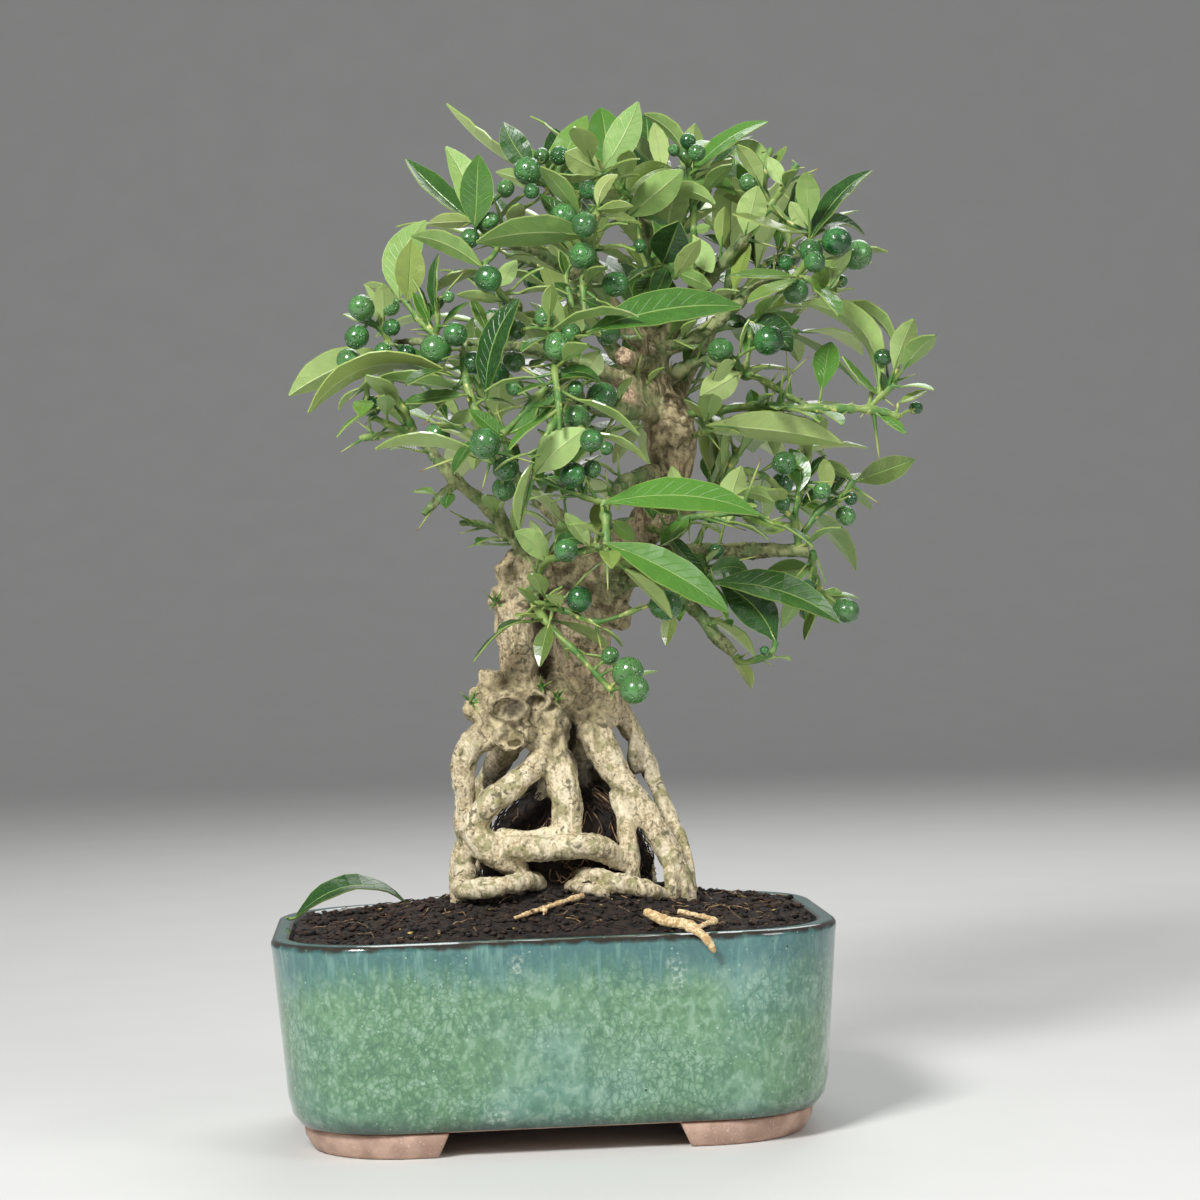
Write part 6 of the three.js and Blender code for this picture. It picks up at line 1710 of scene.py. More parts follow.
@dataclass
class Templates:
    """The leaf, fruit, cap and thorn that are each modelled once and then copied."""

    top: Material
    under: Material
    fruit_skin: Material
    cap_skin: Material
    thorn_skin: Material
    outline: tuple = (0.07, 0.33, 0.64, 0.86, 0.98, 1.0, 0.97, 0.87, 0.68, 0.4, 0.07)
    columns: int = 4
    leaf: Object = None
    small_leaf: Object = None
    fruit: Object = None
    cap: Object = None
    thorn: Object = None

    def model(self) -> None:
        """Models them all."""
        self.leaf = self.model_leaf(self.outline, self.columns)
        self.small_leaf = self.model_leaf((0.1, 0.66, 1.0, 0.98, 0.66, 0.08), 2)
        self.fruit = self.model_fruit()
        self.cap = self.model_cap()
        self.thorn = self.model_thorn()

    def all(self) -> list[Object]:
        """Gives the modelled shapes, to be removed once they are copied."""
        return [self.leaf, self.small_leaf, self.fruit, self.cap, self.thorn]

    def model_leaf(self, outline: tuple, columns: int) -> Object:
        """Models a flat blade, 2 across at its widest and 1 long, with an upper and an under side.

        Args:
            outline: its width at even steps from the foot to the tip, as a share of the widest.
            columns: how many faces it has across.

        Returns:
            The blade.
        """
        deselect_all()
        rows = len(outline) - 1
        bpy.ops.mesh.primitive_grid_add(x_subdivisions=columns, y_subdivisions=rows, size=2)
        leaf = bpy.context.object
        leaf.name = "leaf_template"
        leaf.data.uv_layers[0].name = "leaf_map"
        for i, share in enumerate(outline):
            y = -1 + 2 * i / rows
            resize_where(leaf, lambda place, y=y: abs(place.y - y) < 0.01, (share, 1, 1), (0, y, 0))
        shape_selected(leaf, lambda place: True, lambda: bpy.ops.transform.translate(value=(0, 1, 0)))
        resize_where(leaf, lambda place: True, (1, 0.5, 1))
        paint(leaf, self.top, self.under)
        apply_modifier(leaf, "SOLIDIFY", thickness=0.5, offset=-1, material_offset=1)
        return leaf

    def model_fruit(self) -> Object:
        """Models a fruit of radius 1, a little long, with a shallow dimple at its far end."""
        deselect_all()
        bpy.ops.mesh.primitive_uv_sphere_add(segments=16, ring_count=10, radius=1)
        fruit = bpy.context.object
        fruit.name = "fruit_template"
        resize_where(fruit, lambda place: True, (1, 1, 1.07))
        shape_selected(fruit, lambda place: place.z > 1.05,
                       lambda: bpy.ops.transform.translate(value=(0, 0, -0.07)))
        paint(fruit, self.fruit_skin)
        smooth(fruit, 60)
        return fruit

    def model_cap(self) -> Object:
        """Models a small five-lobed cap of radius 1."""
        deselect_all()
        bpy.ops.mesh.primitive_cone_add(vertices=10, radius1=1, radius2=0.45, depth=0.5,
                                        location=(0, 0, -0.1))
        cap = bpy.context.object
        cap.name = "cap_template"
        settle(cap)

        def is_notch(place: Vector) -> bool:
            """Says whether a vertex lies between two lobes."""
            return place.z < 0 and math.cos(5 * math.atan2(place.x, place.y)) < 0

        resize_where(cap, is_notch, (0.62, 0.62, 1))
        paint(cap, self.cap_skin)
        smooth(cap, 40)
        return cap

    def model_thorn(self) -> Object:
        """Models a thorn of length 1 along +Z with a flared foot, and notes how far along each place is."""
        deselect_all()
        bpy.ops.mesh.primitive_cone_add(vertices=6, radius1=1, radius2=0.12, depth=1, location=(0, 0, 0.5))
        thorn = bpy.context.object
        thorn.name = "thorn_template"
        settle(thorn)
        for height, share in ((0.12, 0.78), (0.45, 0.98)):
            with editing(thorn):
                bpy.ops.mesh.bisect(plane_co=(0, 0, height), plane_no=(0, 0, 1))
            resize_where(thorn, lambda place, height=height: abs(place.z - height) < 0.01, (share, share, 1))
        note(thorn, "along", vertices_of(thorn)[:, 2])
        paint(thorn, self.thorn_skin)
        smooth(thorn, 50)
        return thorn

    def lay_leaf(self, leaf: Leaf, draw: Iterator[float]) -> Object:
        """Copies the blade and bends the copy along a leaf's midrib.

        Args:
            leaf: the leaf's place and size.
            draw: draws for its own fold, waves and tone.

        Returns:
            The copy.
        """
        template = self.small_leaf if leaf.blade_room == SMALL_BLADE_ROOM else self.leaf
        flat = vertices_of(template)
        fold = 0.1 + 0.2 * next(draw)
        curl = 0.05 * next(draw)
        waves = 2.5 + 2 * next(draw)
        phase = FULL_TURN * next(draw)
        length = float(np.linalg.norm(leaf.tip - leaf.base))
        places = []
        for x, share, z in flat:
            _, up, side = leaf.frame_at(min(max(share, 0.0), 1.0))
            ripple = 0.05 * math.sin(FULL_TURN * waves * share + phase + (1.5 if x > 0 else 0)) * x * x
            lift = (fold * abs(x) + ripple) * leaf.width / 2 - curl * length * max(share - 0.6, 0) ** 2 * 4
            places.append(leaf.centre_at(share) + side * (x * leaf.width / 2) + up * (lift + 0.25 + z))
        made = copy_of(template, to_frame(np.array(places)))
        note(made, "tone", next(draw))
        note(made, "age", next(draw))
        return made

    def set_upright(self, template: Object, place: Array, direction: Array,
                    size: tuple[float, float]) -> Object:
        """Copies a shape modelled along +Z, to stand along a direction.

        Args:
            template: the shape.
            place: where its origin goes.
            direction: which way its +Z goes.
            size: its size across and along.

        Returns:
            The copy.
        """
        across, normal = across_and_normal(unit(direction))
        # The minus makes this a turn without a mirror, so the copy's faces stay outward.
        turn = np.array([-across * size[0], normal * size[0], unit(direction) * size[1]])
        return copy_of(template, to_frame(vertices_of(template) @ turn + place))


@dataclass
class LeafySpray:
    """One spray as a mesh: twigs with knots, leaf and fruit stalks, blades, fruits with caps, and thorns."""

    name: str
    twigs: list[Twig]
    leaves: list[Leaf]
    fruits: list[Fruit]
    thorns: list[Thorn]
    petiole: tuple = (0.75, 0.5, 0.45, 0.2)
    stalk: float = 0.6

    def build(self, templates: Templates, skin: Material, seed: int) -> Object:
        """Builds the spray in place of its solid.

        Args:
            templates: the modelled leaf, fruit, cap and thorn.
            skin: the twigs' material.
            seed: the start of this spray's own draws.

        Returns:
            The spray.
        """
        draw = draws(seed)
        feet = np.array([piece.foot for piece in [*self.leaves, *self.thorns]])
        rods = [self.knotted(twig, feet) for twig in self.twigs]
        for leaf in self.leaves:
            ribs = [leaf.foot, between(leaf.foot, leaf.base, 0.7), leaf.base, leaf.centre_at(0.3)]
            rods.append((np.array(ribs), np.array(self.petiole)))
        for fruit in self.fruits:
            reach = fruit.centre + unit(fruit.foot - fruit.centre) * fruit.radius * 0.9
            sag = between(fruit.foot, reach, 0.5) + UP * 0.6
            rods.append((np.array([fruit.foot, sag, reach]), np.array([1.2, 0.9, 1.2]) * self.stalk))
        wood = tubes("twigs", rods, 8, 2.5)
        paint(wood, skin)
        smooth(wood, 50)
        pieces = [wood]
        for leaf in self.leaves:
            pieces.append(templates.lay_leaf(leaf, draw))
        for fruit in self.fruits:
            outward = fruit.centre - fruit.foot
            sizes = (fruit.radius, fruit.radius)
            body = templates.set_upright(templates.fruit, fruit.centre, outward, sizes)
            note(body, "tone", next(draw))
            pieces.append(body)
            root = fruit.centre - unit(outward) * fruit.radius
            pieces.append(templates.set_upright(templates.cap, root, -outward, (1.9, 1.6)))
        for thorn in self.thorns:
            length = float(np.linalg.norm(thorn.tip - thorn.foot))
            sizes = (0.55 + 0.03 * length, length)
            pieces.append(templates.set_upright(templates.thorn, thorn.foot, thorn.tip - thorn.foot, sizes))
        spray = join(pieces, f"leafy_{self.name}")
        if self.name != INNER_SHOOTS:
            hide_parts(self.name)
        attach(spray, "root")
        return spray

    def knotted(self, twig: Twig, feet: Array) -> tuple[Array, Array]:
        """Gives a twig's path with a swollen knot at each leaf and thorn."""
        places, radii = smooth_path(twig.points, twig.radii, 1.6)
        away = np.linalg.norm(places[:, None] - feet[None], axis=2).min(axis=1)
        return places, radii * (0.82 + 0.5 * np.exp(-(away / 1.5) ** 2))


@dataclass
class Wood:
    """Roots, trunks, burls and limbs, grown as one piece with rough bark."""

    grain: float = 0.8
    unevenness: float = 0.14
    setback: float = 1.2
    knobs: int = 9
    knob_sizes: tuple = (0.8, 1.9)
    bud_places: tuple = ((5, 147, -17), (0, 151, -16), (-15, 181, -12), (-25, 147, -14))
    # Recesses as x, z, depth, then radii across, in depth and upward: carved out, then darkened round with
    # painted shade.
    recesses: tuple = ((0, 175, -9, 3.6, 9, 8), (1, 162, -8, 3, 8, 12), (9, 183, -10, 9, 4, 2.8),
                       (9, 131, -8, 3.2, 7, 8), (-12, 144, -24.8, 4.6, 2.6, 2.6),
                       (-2.5, 146, -20, 2.6, 2.4, 1.9))
    scars: tuple = ((-12, 144, -23.4, 6, 3.8), (-11, 133.5, -21.6, 4.6, 3.4), (-2.5, 146, -18.8, 3.9, 3))
    scar_rim: float = 1.1
    reliefs: tuple = (("CLOUDS", 9.0, 1.6, False, ""), ("CLOUDS", 2.0, 1.3, True, ""),
                      ("CLOUDS", 5.0, 3.4, False, "burl_flakes"), ("VORONOI", 4.6, 2.4, False, "burl_flakes"))
    kept_faces: float = 0.7
    # Bounds of the painted shade inside the cage of roots, in millimetres.
    cage_middle: float = 7.0
    cage_front: float = -7.0
    cage_top: float = 132.0
    cage_half_width: float = 28.0
    cage_fade: tuple = (14.0, 10.0)

    def paths(self) -> list[Twig]:
        """Gives the rods of roots, trunks and limbs, each limb stopped just short of its spray."""
        roots = [self.rod(row) for row in ROOTS_AND_TRUNK]
        limbs = [self.rod(row) for row in LIMBS]
        for limb in limbs:
            limb.points[-1] += unit(limb.points[-2] - limb.points[-1]) * self.setback
        return roots + limbs

    def rod(self, row: list) -> Twig:
        """Turns a row of x, z, depth and radius into a rod."""
        return Twig(np.array([seen(x, z, depth) for x, z, depth, _ in row]),
                    np.array([radius * scale_at(depth) for _, _, depth, radius in row]))

    def ball(self, centre: Array, sizes: tuple[float, float, float], detail: int) -> Object:
        """Models one swelling.

        Args:
            centre: its middle.
            sizes: its radii across, in depth and upward.
            detail: how finely it is divided.

        Returns:
            The swelling.
        """
        deselect_all()
        bpy.ops.mesh.primitive_ico_sphere_add(subdivisions=detail, radius=MM, location=placed(*centre))
        lump = bpy.context.object
        lump.scale = sizes
        settle(lump)
        return lump

    def scar(self, x: float, z: float, depth: float, across: float, upward: float) -> Object:
        """Models the raised rim round a healed cut, of half a width and half a height."""
        deselect_all()
        bpy.ops.mesh.primitive_torus_add(location=placed(*seen(x, z, depth)),
                                         rotation=(math.radians(90), 0, 0), major_segments=28,
                                         minor_segments=8, major_radius=across * MM,
                                         minor_radius=self.scar_rim * MM)
        rim = bpy.context.object
        rim.scale = (1, upward / across, 1.6)
        settle(rim)
        return rim

    def build(self, bark: Material) -> Object:
        """Builds the wood in place of its solid.

        Args:
            bark: its material.

        Returns:
            The wood.
        """
        draw = draws(WOOD_SEED)
        rods = []
        for twig in self.paths():
            places, radii = smooth_path(twig.points, twig.radii, 3.5)
            wobble = np.array([self.unevenness * (next(draw) - 0.5) * 2 for _ in radii])
            wobble = np.convolve(np.pad(wobble, 2, "edge"), [0.15, 0.25, 0.2, 0.25, 0.15], "valid")
            rods.append((places, radii * (1.03 + wobble)))
        pieces = [tubes("wood", rods, 14, 2.5)]
        for x, z, depth, across, upward in LUMPS:
            centre = seen(x, z, depth)
            sizes = np.array([across, min(across, upward) * 0.9, upward])
            pieces.append(self.ball(centre, tuple(sizes * 0.98), 3))
            for _ in range(self.knobs):
                way = unit(np.array([next(draw), next(draw), next(draw)]) - 0.5)
                size = self.knob_sizes[0] + (self.knob_sizes[1] - self.knob_sizes[0]) * next(draw) ** 2
                pieces.append(self.ball(centre + way * (sizes - 0.4), (size * 1.2, size, size), 1))
        pieces += [self.scar(*row) for row in self.scars]
        wood = join(pieces, "bark_and_wood")
        apply_modifier(wood, "REMESH", mode="VOXEL", voxel_size=self.grain * MM)
        for x, z, depth, across, deep, upward in self.recesses:
            carver = self.ball(seen(x, z, depth), (across, deep, upward), 3)
            apply_modifier(wood, "BOOLEAN", operation="DIFFERENCE", object=carver)
            bpy.data.objects.remove(carver)
        apply_modifier(wood, "SMOOTH", factor=0.5, iterations=2)
        self.roughen(wood)
        apply_modifier(wood, "DECIMATE", ratio=self.kept_faces)
        self.note_places(wood)
        paint(wood, bark)
        smooth(wood, 80)
        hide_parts("trunk_and_roots")
        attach(wood, "root")
        return wood

    def buds(self) -> list[Thorn]:
        """Gives the clusters of stubby buds on the burls."""
        draw = draws(BUD_SEED)
        made = []
        for x, z, depth in self.bud_places:
            for _ in range(7):
                way = unit(np.array([next(draw) - 0.5, -0.2 - 0.6 * next(draw), next(draw) - 0.35]))
                foot = seen(x, z, depth) + way * 1.5
                made.append(Thorn(foot, foot + way * (2.5 + 4 * next(draw))))
        return made

    def roughen(self, wood: Object) -> None:
        """Raises bark ridges, lumps and the burl's flakes on the wood."""
        places = vertices_of(wood)
        weights = self.near_lumps(places)
        group = wood.vertex_groups.new(name="burl_flakes")
        for i in np.nonzero(weights > 0.02)[0]:
            group.add([int(i)], float(weights[i]), "REPLACE")
        tall = bpy.data.objects.new("bark_direction", None)
        tall.scale = (1, 1, 3.5)
        bpy.context.scene.collection.objects.link(tall)
        bpy.context.view_layer.update()
        for kind, size, strength, is_tall, only in self.reliefs:
            if is_tall:
                displace(wood, kind, size, strength, texture_coords="OBJECT", texture_coords_object=tall)
            else:
                displace(wood, kind, size, strength, vertex_group=only)
        bpy.data.objects.remove(tall)

    def near_lumps(self, places: Array) -> Array:
        """Gives how near each place is to the burl's lumps, from 0 to 1."""
        weight = np.zeros(len(places))
        for x, z, depth, across, _ in LUMPS:
            away = np.linalg.norm(places - to_frame(seen(x, z, depth)), axis=1) / (across * MM)
            weight = np.maximum(weight, np.clip(1.7 - away, 0, 1))
        return weight

    def note_places(self, wood: Object) -> None:
        """Stores where the burl, the young limbs and the cut stubs are, and the painted shade in the root
        cage and round the recesses, for the bark.
        """
        places = vertices_of(wood)
        note(wood, "burl", self.near_lumps(places))
        young, cut = np.zeros(len(places)), np.zeros(len(places))
        for i, row in enumerate(LIMBS):
            rod = self.rod(row)
            points, radii = smooth_path(rod.points, rod.radii, 3.0)
            for point, radius in zip(points, radii):
                away = np.linalg.norm(places - to_frame(point), axis=1)
                near = away < radius * 1.6 * MM
                young[near] = np.maximum(young[near], np.clip((4.0 - radius) / 1.5, 0, 1))
            if i in CUT_STUBS:
                away = np.linalg.norm(places - to_frame(points[-1]), axis=1)
                cut = np.maximum(cut, np.clip(2 - away / (radii[-1] * 1.1 * MM), 0, 1))
        note(wood, "young", young)
        note(wood, "cut", cut)
        # Painted shade, darkest behind the front roots and low in the cage, and round each recess.
        middle, front, top = placed(self.cage_middle, self.cage_front, self.cage_top)
        inside = np.clip((places[:, 1] - front) / (self.cage_fade[0] * MM), 0, 1)
        low = np.clip((top - places[:, 2]) / (self.cage_fade[1] * MM), 0, 1)
        hollow = inside * low * (np.abs(places[:, 0] - middle) < self.cage_half_width * MM)
        for x, z, depth, wide, deep, upward in self.recesses:
            away = (places - to_frame(seen(x, z, depth))) / (np.array([wide, deep, upward]) * MM)
            hollow = np.maximum(hollow, np.clip(2.6 - 1.6 * np.linalg.norm(away, axis=1), 0, 1))
        note(wood, "hollow", hollow)


@dataclass
class Pot:
    """Oval-cornered pot with a rolled lip, a thick inner wall and four corner feet."""

    width: float = 190.0
    depth: float = 140.0
    corner: float = 44.0
    top: float = 71.4
    foot_height: float = 8.0
    floor: float = 15.0
    wall: float = 6.5
    profile: tuple = ((13.5, 8.0), (8.1, 9.2), (5.4, 13.0), (4.1, 19.0), (2.8, 36.0), (1.2, 56.0),
                      (0.4, 66.9), (0.0, 69.0), (0.15, 70.2), (0.7, 71.0), (1.8, 71.4), (4.6, 71.4),
                      (6.0, 70.9), (6.7, 69.9), (8.0, 50.0), (10.5, 15.0))
    foot_start: tuple = (38.0, 22.0)
    foot_slant: float = 0.45
    foot_profile: tuple = ((9.0, 8.6), (9.4, 5.0), (11.5, 1.2), (12.2, 0.0))
    foot_thickness: float = 13.0
    foot_bevel: float = 1.7
    drain: tuple = (46.0, 7.5)

    def rounded_plate(self, inset: float, z: float) -> Object:
        """Lays a flat plate with round corners, inset from the pot's outline, at a height."""
        deselect_all()
        bpy.ops.mesh.primitive_plane_add(size=1, location=placed(0, 0, z))
        plate = bpy.context.object
        plate.scale = ((self.width - 2 * inset) * MM, (self.depth - 2 * inset) * MM, 1)
        settle(plate)
        with editing(plate):
            bpy.ops.mesh.bevel(offset=(self.corner - inset) * MM, segments=14, affect="VERTICES")
        return plate

    def step_to(self, before: tuple[float, float], after: tuple[float, float]) -> None:
        """Extrudes the selected ring from one inset and height to the next."""
        rise = (after[1] - before[1]) * MM
        bpy.ops.mesh.extrude_region_move(TRANSFORM_OT_translate={"value": (0, 0, rise)})
        across = (self.width / 2 - after[0]) / (self.width / 2 - before[0])
        along = (self.depth / 2 - after[0]) / (self.depth / 2 - before[0])
        bpy.ops.transform.resize(value=(across, along, 1), center_override=placed(0, 0, after[1]))

    def build(self, glaze: Material, clay: Material) -> Object:
        """Builds the pot in place of its solid.

        Args:
            glaze: the material above the foot ring.
            clay: the material of feet and underside.

        Returns:
            The pot.
        """
        body = self.rounded_plate(*self.profile[0])
        with editing(body):
            bpy.ops.mesh.flip_normals()
            for before, after in zip(self.profile, self.profile[1:]):
                self.step_to(before, after)
            face_outward()
        for side in (-1, 1):
            deselect_all()
            bpy.ops.mesh.primitive_cylinder_add(vertices=28, radius=self.drain[1] * MM, depth=30 * MM,
                                                location=placed(side * self.drain[0], 0, self.floor - 5))
            hole = bpy.context.object
            apply_modifier(body, "BOOLEAN", operation="DIFFERENCE", object=hole)
            bpy.data.objects.remove(hole)
        pieces = [body, *self.build_feet()]
        pot = join(pieces, "glazed_pot")
        paint(pot, glaze, clay)
        edge = placed(0, 0, self.foot_height + 1.8)[2]
        for polygon in pot.data.polygons:
            polygon.material_index = int(polygon.center.z < edge)
        smooth(pot, 35)
        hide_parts("pot")
        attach(pot, "root")
        return pot

    def build_feet(self) -> list[Object]:
        """Models one bracket foot at a corner and copies it to the others."""
        ring = self.rounded_plate(*self.foot_profile[0])
        with editing(ring):
            bpy.ops.mesh.inset(thickness=self.foot_thickness * MM)
            bpy.ops.mesh.delete(type="FACE")
            bpy.ops.mesh.select_all(action="SELECT")
            for before, after in zip(self.foot_profile, self.foot_profile[1:]):
                self.step_to(before, after)
            long_cut = ((-self.foot_start[0], 0, self.foot_height), (1, 0, -self.foot_slant))
            short_cut = ((0, -self.foot_start[1], self.foot_height), (0, 1, -self.foot_slant))
            for place, normal in (long_cut, short_cut):
                bpy.ops.mesh.select_all(action="SELECT")
                bpy.ops.mesh.bisect(plane_co=placed(*place), plane_no=normal, clear_outer=True, use_fill=True)
            bpy.ops.mesh.select_all(action="SELECT")
            bpy.ops.mesh.remove_doubles(threshold=0.00001)
            face_outward()
        apply_modifier(ring, "BEVEL", width=self.foot_bevel * MM, segments=3, limit_method="ANGLE",
                       angle_limit=math.radians(50))
        centre = pot_centre()
        feet = [ring]
        for flip in ((-1, 1, 1), (1, -1, 1), (-1, -1, 1)):
            foot = copy_of(ring, (vertices_of(ring) - centre) * np.array(flip) + centre)
            with editing(foot):
                face_outward()
            feet.append(foot)
        return feet


@dataclass
class SoilBed:
    """Peat filled to the rim and mounded against the roots, with grains, fibres and chips on it."""

    pot: Pot
    edge: float = 69.5
    mound: float = 13.0
    spread: tuple = (62.0, 50.0)
    bottom: float = 16.9
    narrowing: tuple = (0.955, 0.938, 1)
    surface_depth: float = 2.5
    heap_centre: tuple = (7.0, 9.0, 82.0)
    heap_size: tuple = (30.0, 21.5, 34.0)

    def height(self, x: float, y: float) -> float:
        """Gives the surface's height."""
        ripple = math.sin(x * 0.31 + 1.2) * math.cos(y * 0.37) + math.sin(x * 0.13 - y * 0.21)
        hill = math.exp(-((x - 5) / self.spread[0]) ** 2 - (y / self.spread[1]) ** 2)
        return self.edge + self.mound * hill + 0.7 * ripple

    def is_inside(self, x: float, y: float, margin: float) -> bool:
        """Says whether a place is inside the pot's wall by a margin."""
        inset = self.pot.wall + 0.6 + margin
        half_x, half_y = self.pot.width / 2 - inset, self.pot.depth / 2 - inset
        corner = self.pot.corner - inset
        over_x, over_y = max(abs(x) - half_x + corner, 0), max(abs(y) - half_y + corner, 0)
        return math.hypot(over_x, over_y) <= corner

    def build(self, peat: Material) -> Object:
        """Builds the bed in place of its solid.

        Args:
            peat: its material.

        Returns:
            The bed.
        """
        bed = self.pot.rounded_plate(self.pot.wall + 0.6, self.edge)
        with editing(bed):
            drop = (self.bottom - self.edge) * MM
            bpy.ops.mesh.extrude_region_move(TRANSFORM_OT_translate={"value": (0, 0, drop)})
            face_outward()
        middle = placed(0, 0, (self.bottom + self.edge) / 2)[2]
        resize_where(bed, lambda place: place.z < middle, self.narrowing, placed(0, 0, self.bottom))
        bed = join([bed, self.build_heap()], "peat_bed")
        apply_modifier(bed, "REMESH", mode="VOXEL", voxel_size=1.2 * MM)
        places = vertices_of(bed)
        about = (places - pot_centre()) / MM
        for i, (x, y, z) in enumerate(about):
            if z > self.edge - self.surface_depth:
                places[i, 2] += (self.height(x, y) - self.edge) * MM
        move_vertices(bed, places)
        group = bed.vertex_groups.new(name="surface")
        is_open = [z > self.edge - self.surface_depth and self.is_inside(x, y, 1.2) for x, y, z in about]
        group.add([int(i) for i in np.nonzero(is_open)[0]], 1.0, "REPLACE")
        for size, strength in ((5.0, 1.6), (1.6, 1.5)):
            displace(bed, "CLOUDS", size, strength, vertex_group="surface")
        paint(bed, peat)
        smooth(bed, 60)
        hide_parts("soil")
        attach(bed, "root")
        return bed

    def build_heap(self) -> Object:
        """Models the peat held in the cage of roots, lowered by what the mound will raise it."""
        deselect_all()
        bpy.ops.mesh.primitive_uv_sphere_add(segments=32, ring_count=18, radius=MM,
                                             location=placed(*self.heap_centre))
        heap = bpy.context.object
        heap.scale = self.heap_size
        settle(heap)
        places = vertices_of(heap)
        for i, (x, y, _) in enumerate((places - pot_centre()) / MM):
            places[i, 2] -= (self.height(x, y) - self.edge) * MM
        move_vertices(heap, places)
        return heap

    def hairs(self, name: str, finish: Material, count: int, seed: int) -> Object:
        """Lays curled root hairs over the heap, as one mesh.

        Args:
            name: the mesh's name.
            finish: their material.
            count: how many.
            seed: the start of the draws.

        Returns:
            The hairs.
        """
        draw = draws(seed)
        paths = []
        for _ in range(count):
            around, up = FULL_TURN * next(draw), 0.1 + 0.8 * next(draw)
            points = []
            for _ in range(6):
                ring = math.sqrt(max(1 - up * up, 0.04))
                way = np.array([math.cos(around) * ring, math.sin(around) * ring, up])
                points.append(way * (np.array(self.heap_size) + 0.6 + 1.6 * next(draw)) + self.heap_centre)
                around += 0.3 * (next(draw) - 0.5)
                up = min(max(up + 0.26 * (next(draw) - 0.5), 0.05), 0.95)
            paths.append((np.array(points), np.linspace(0.28, 0.12, 6)))
        return self.strands(name, finish, paths, 1.6)

    def spot(self, draw: Iterator[float], margin: float) -> tuple[float, float]:
        """Draws a place on the surface."""
        while True:
            x = (next(draw) - 0.5) * self.pot.width
            y = (next(draw) - 0.5) * self.pot.depth
            if self.is_inside(x, y, margin):
                return x, y

    def scatter(self, name: str, finish: Material, count: int, sizes: tuple[float, float], flatness: float,
                seed: int) -> Object:
        """Strews grains or chips over the surface, as one mesh.

        Args:
            name: the mesh's name.
            finish: its material.
            count: how many.
            sizes: the smallest and largest half-width.
            flatness: their height as a share of their width.
            seed: the start of the draws.

        Returns:
            The grains.
        """
        draw = draws(seed)
        deselect_all()
        bpy.ops.mesh.primitive_ico_sphere_add(subdivisions=1, radius=1)
        grain = bpy.context.object
        paint(grain, finish)
        round_grain = vertices_of(grain)
        lumpy = round_grain * np.array([[0.75 + 0.5 * next(draw)] for _ in round_grain])
        pieces = []
        for _ in range(count):
            x, y = self.spot(draw, 1.5)
            size = sizes[0] + (sizes[1] - sizes[0]) * next(draw) ** 2
            turn = np.array(Matrix.Rotation(FULL_TURN * next(draw), 3, "Z")
                            @ Matrix.Rotation(0.7 * (next(draw) - 0.5), 3, "X"))
            stretch = np.array([size * (0.9 + 0.7 * next(draw)), size, size * flatness])
            places = (lumpy * stretch) @ turn.T + np.array([x, y, self.height(x, y) + 0.15 + 0.4 * size])
            pieces.append(copy_of(grain, to_frame(places)))
        bpy.data.objects.remove(grain)
        return self.dressed(join(pieces, name))

    def fibres(self, name: str, finish: Material, count: int, lengths: tuple[float, float], thickness: float,
               seed: int) -> Object:
        """Lays curved fibres on the surface, as one mesh.

        Args:
            name: the mesh's name.
            finish: their material.
            count: how many.
            lengths: the shortest and longest.
            thickness: their radius.
            seed: the start of the draws.

        Returns:
            The fibres.
        """
        draw = draws(seed)
        paths = []
        for _ in range(count):
            x, y = self.spot(draw, 5)
            heading = FULL_TURN * next(draw)
            length = lengths[0] + (lengths[1] - lengths[0]) * next(draw) ** 2
            points = []
            for _ in range(5):
                if not self.is_inside(x, y, 1.5):
                    break
                points.append([x, y, self.height(x, y) + 0.8 + 0.9 * next(draw)])
                heading += 1.3 * (next(draw) - 0.5)
                x += math.cos(heading) * length / 4
                y += math.sin(heading) * length / 4
            if len(points) > 1:
                paths.append((np.array(points), np.linspace(thickness, thickness * 0.4, len(points))))
        return self.strands(name, finish, paths, 2.5)

    def strands(self, name: str, finish: Material, paths: list, step: float) -> Object:
        """Makes thin rods along paths on the soil, as one mesh."""
        made = tubes(name, paths, 4, step)
        paint(made, finish)
        return self.dressed(join([made], name))

    def dressed(self, piece: Object) -> Object:
        """Lets a piece on the soil ride on the tree's body."""
        smooth(piece, 60)
        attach(piece, "root")
        return piece


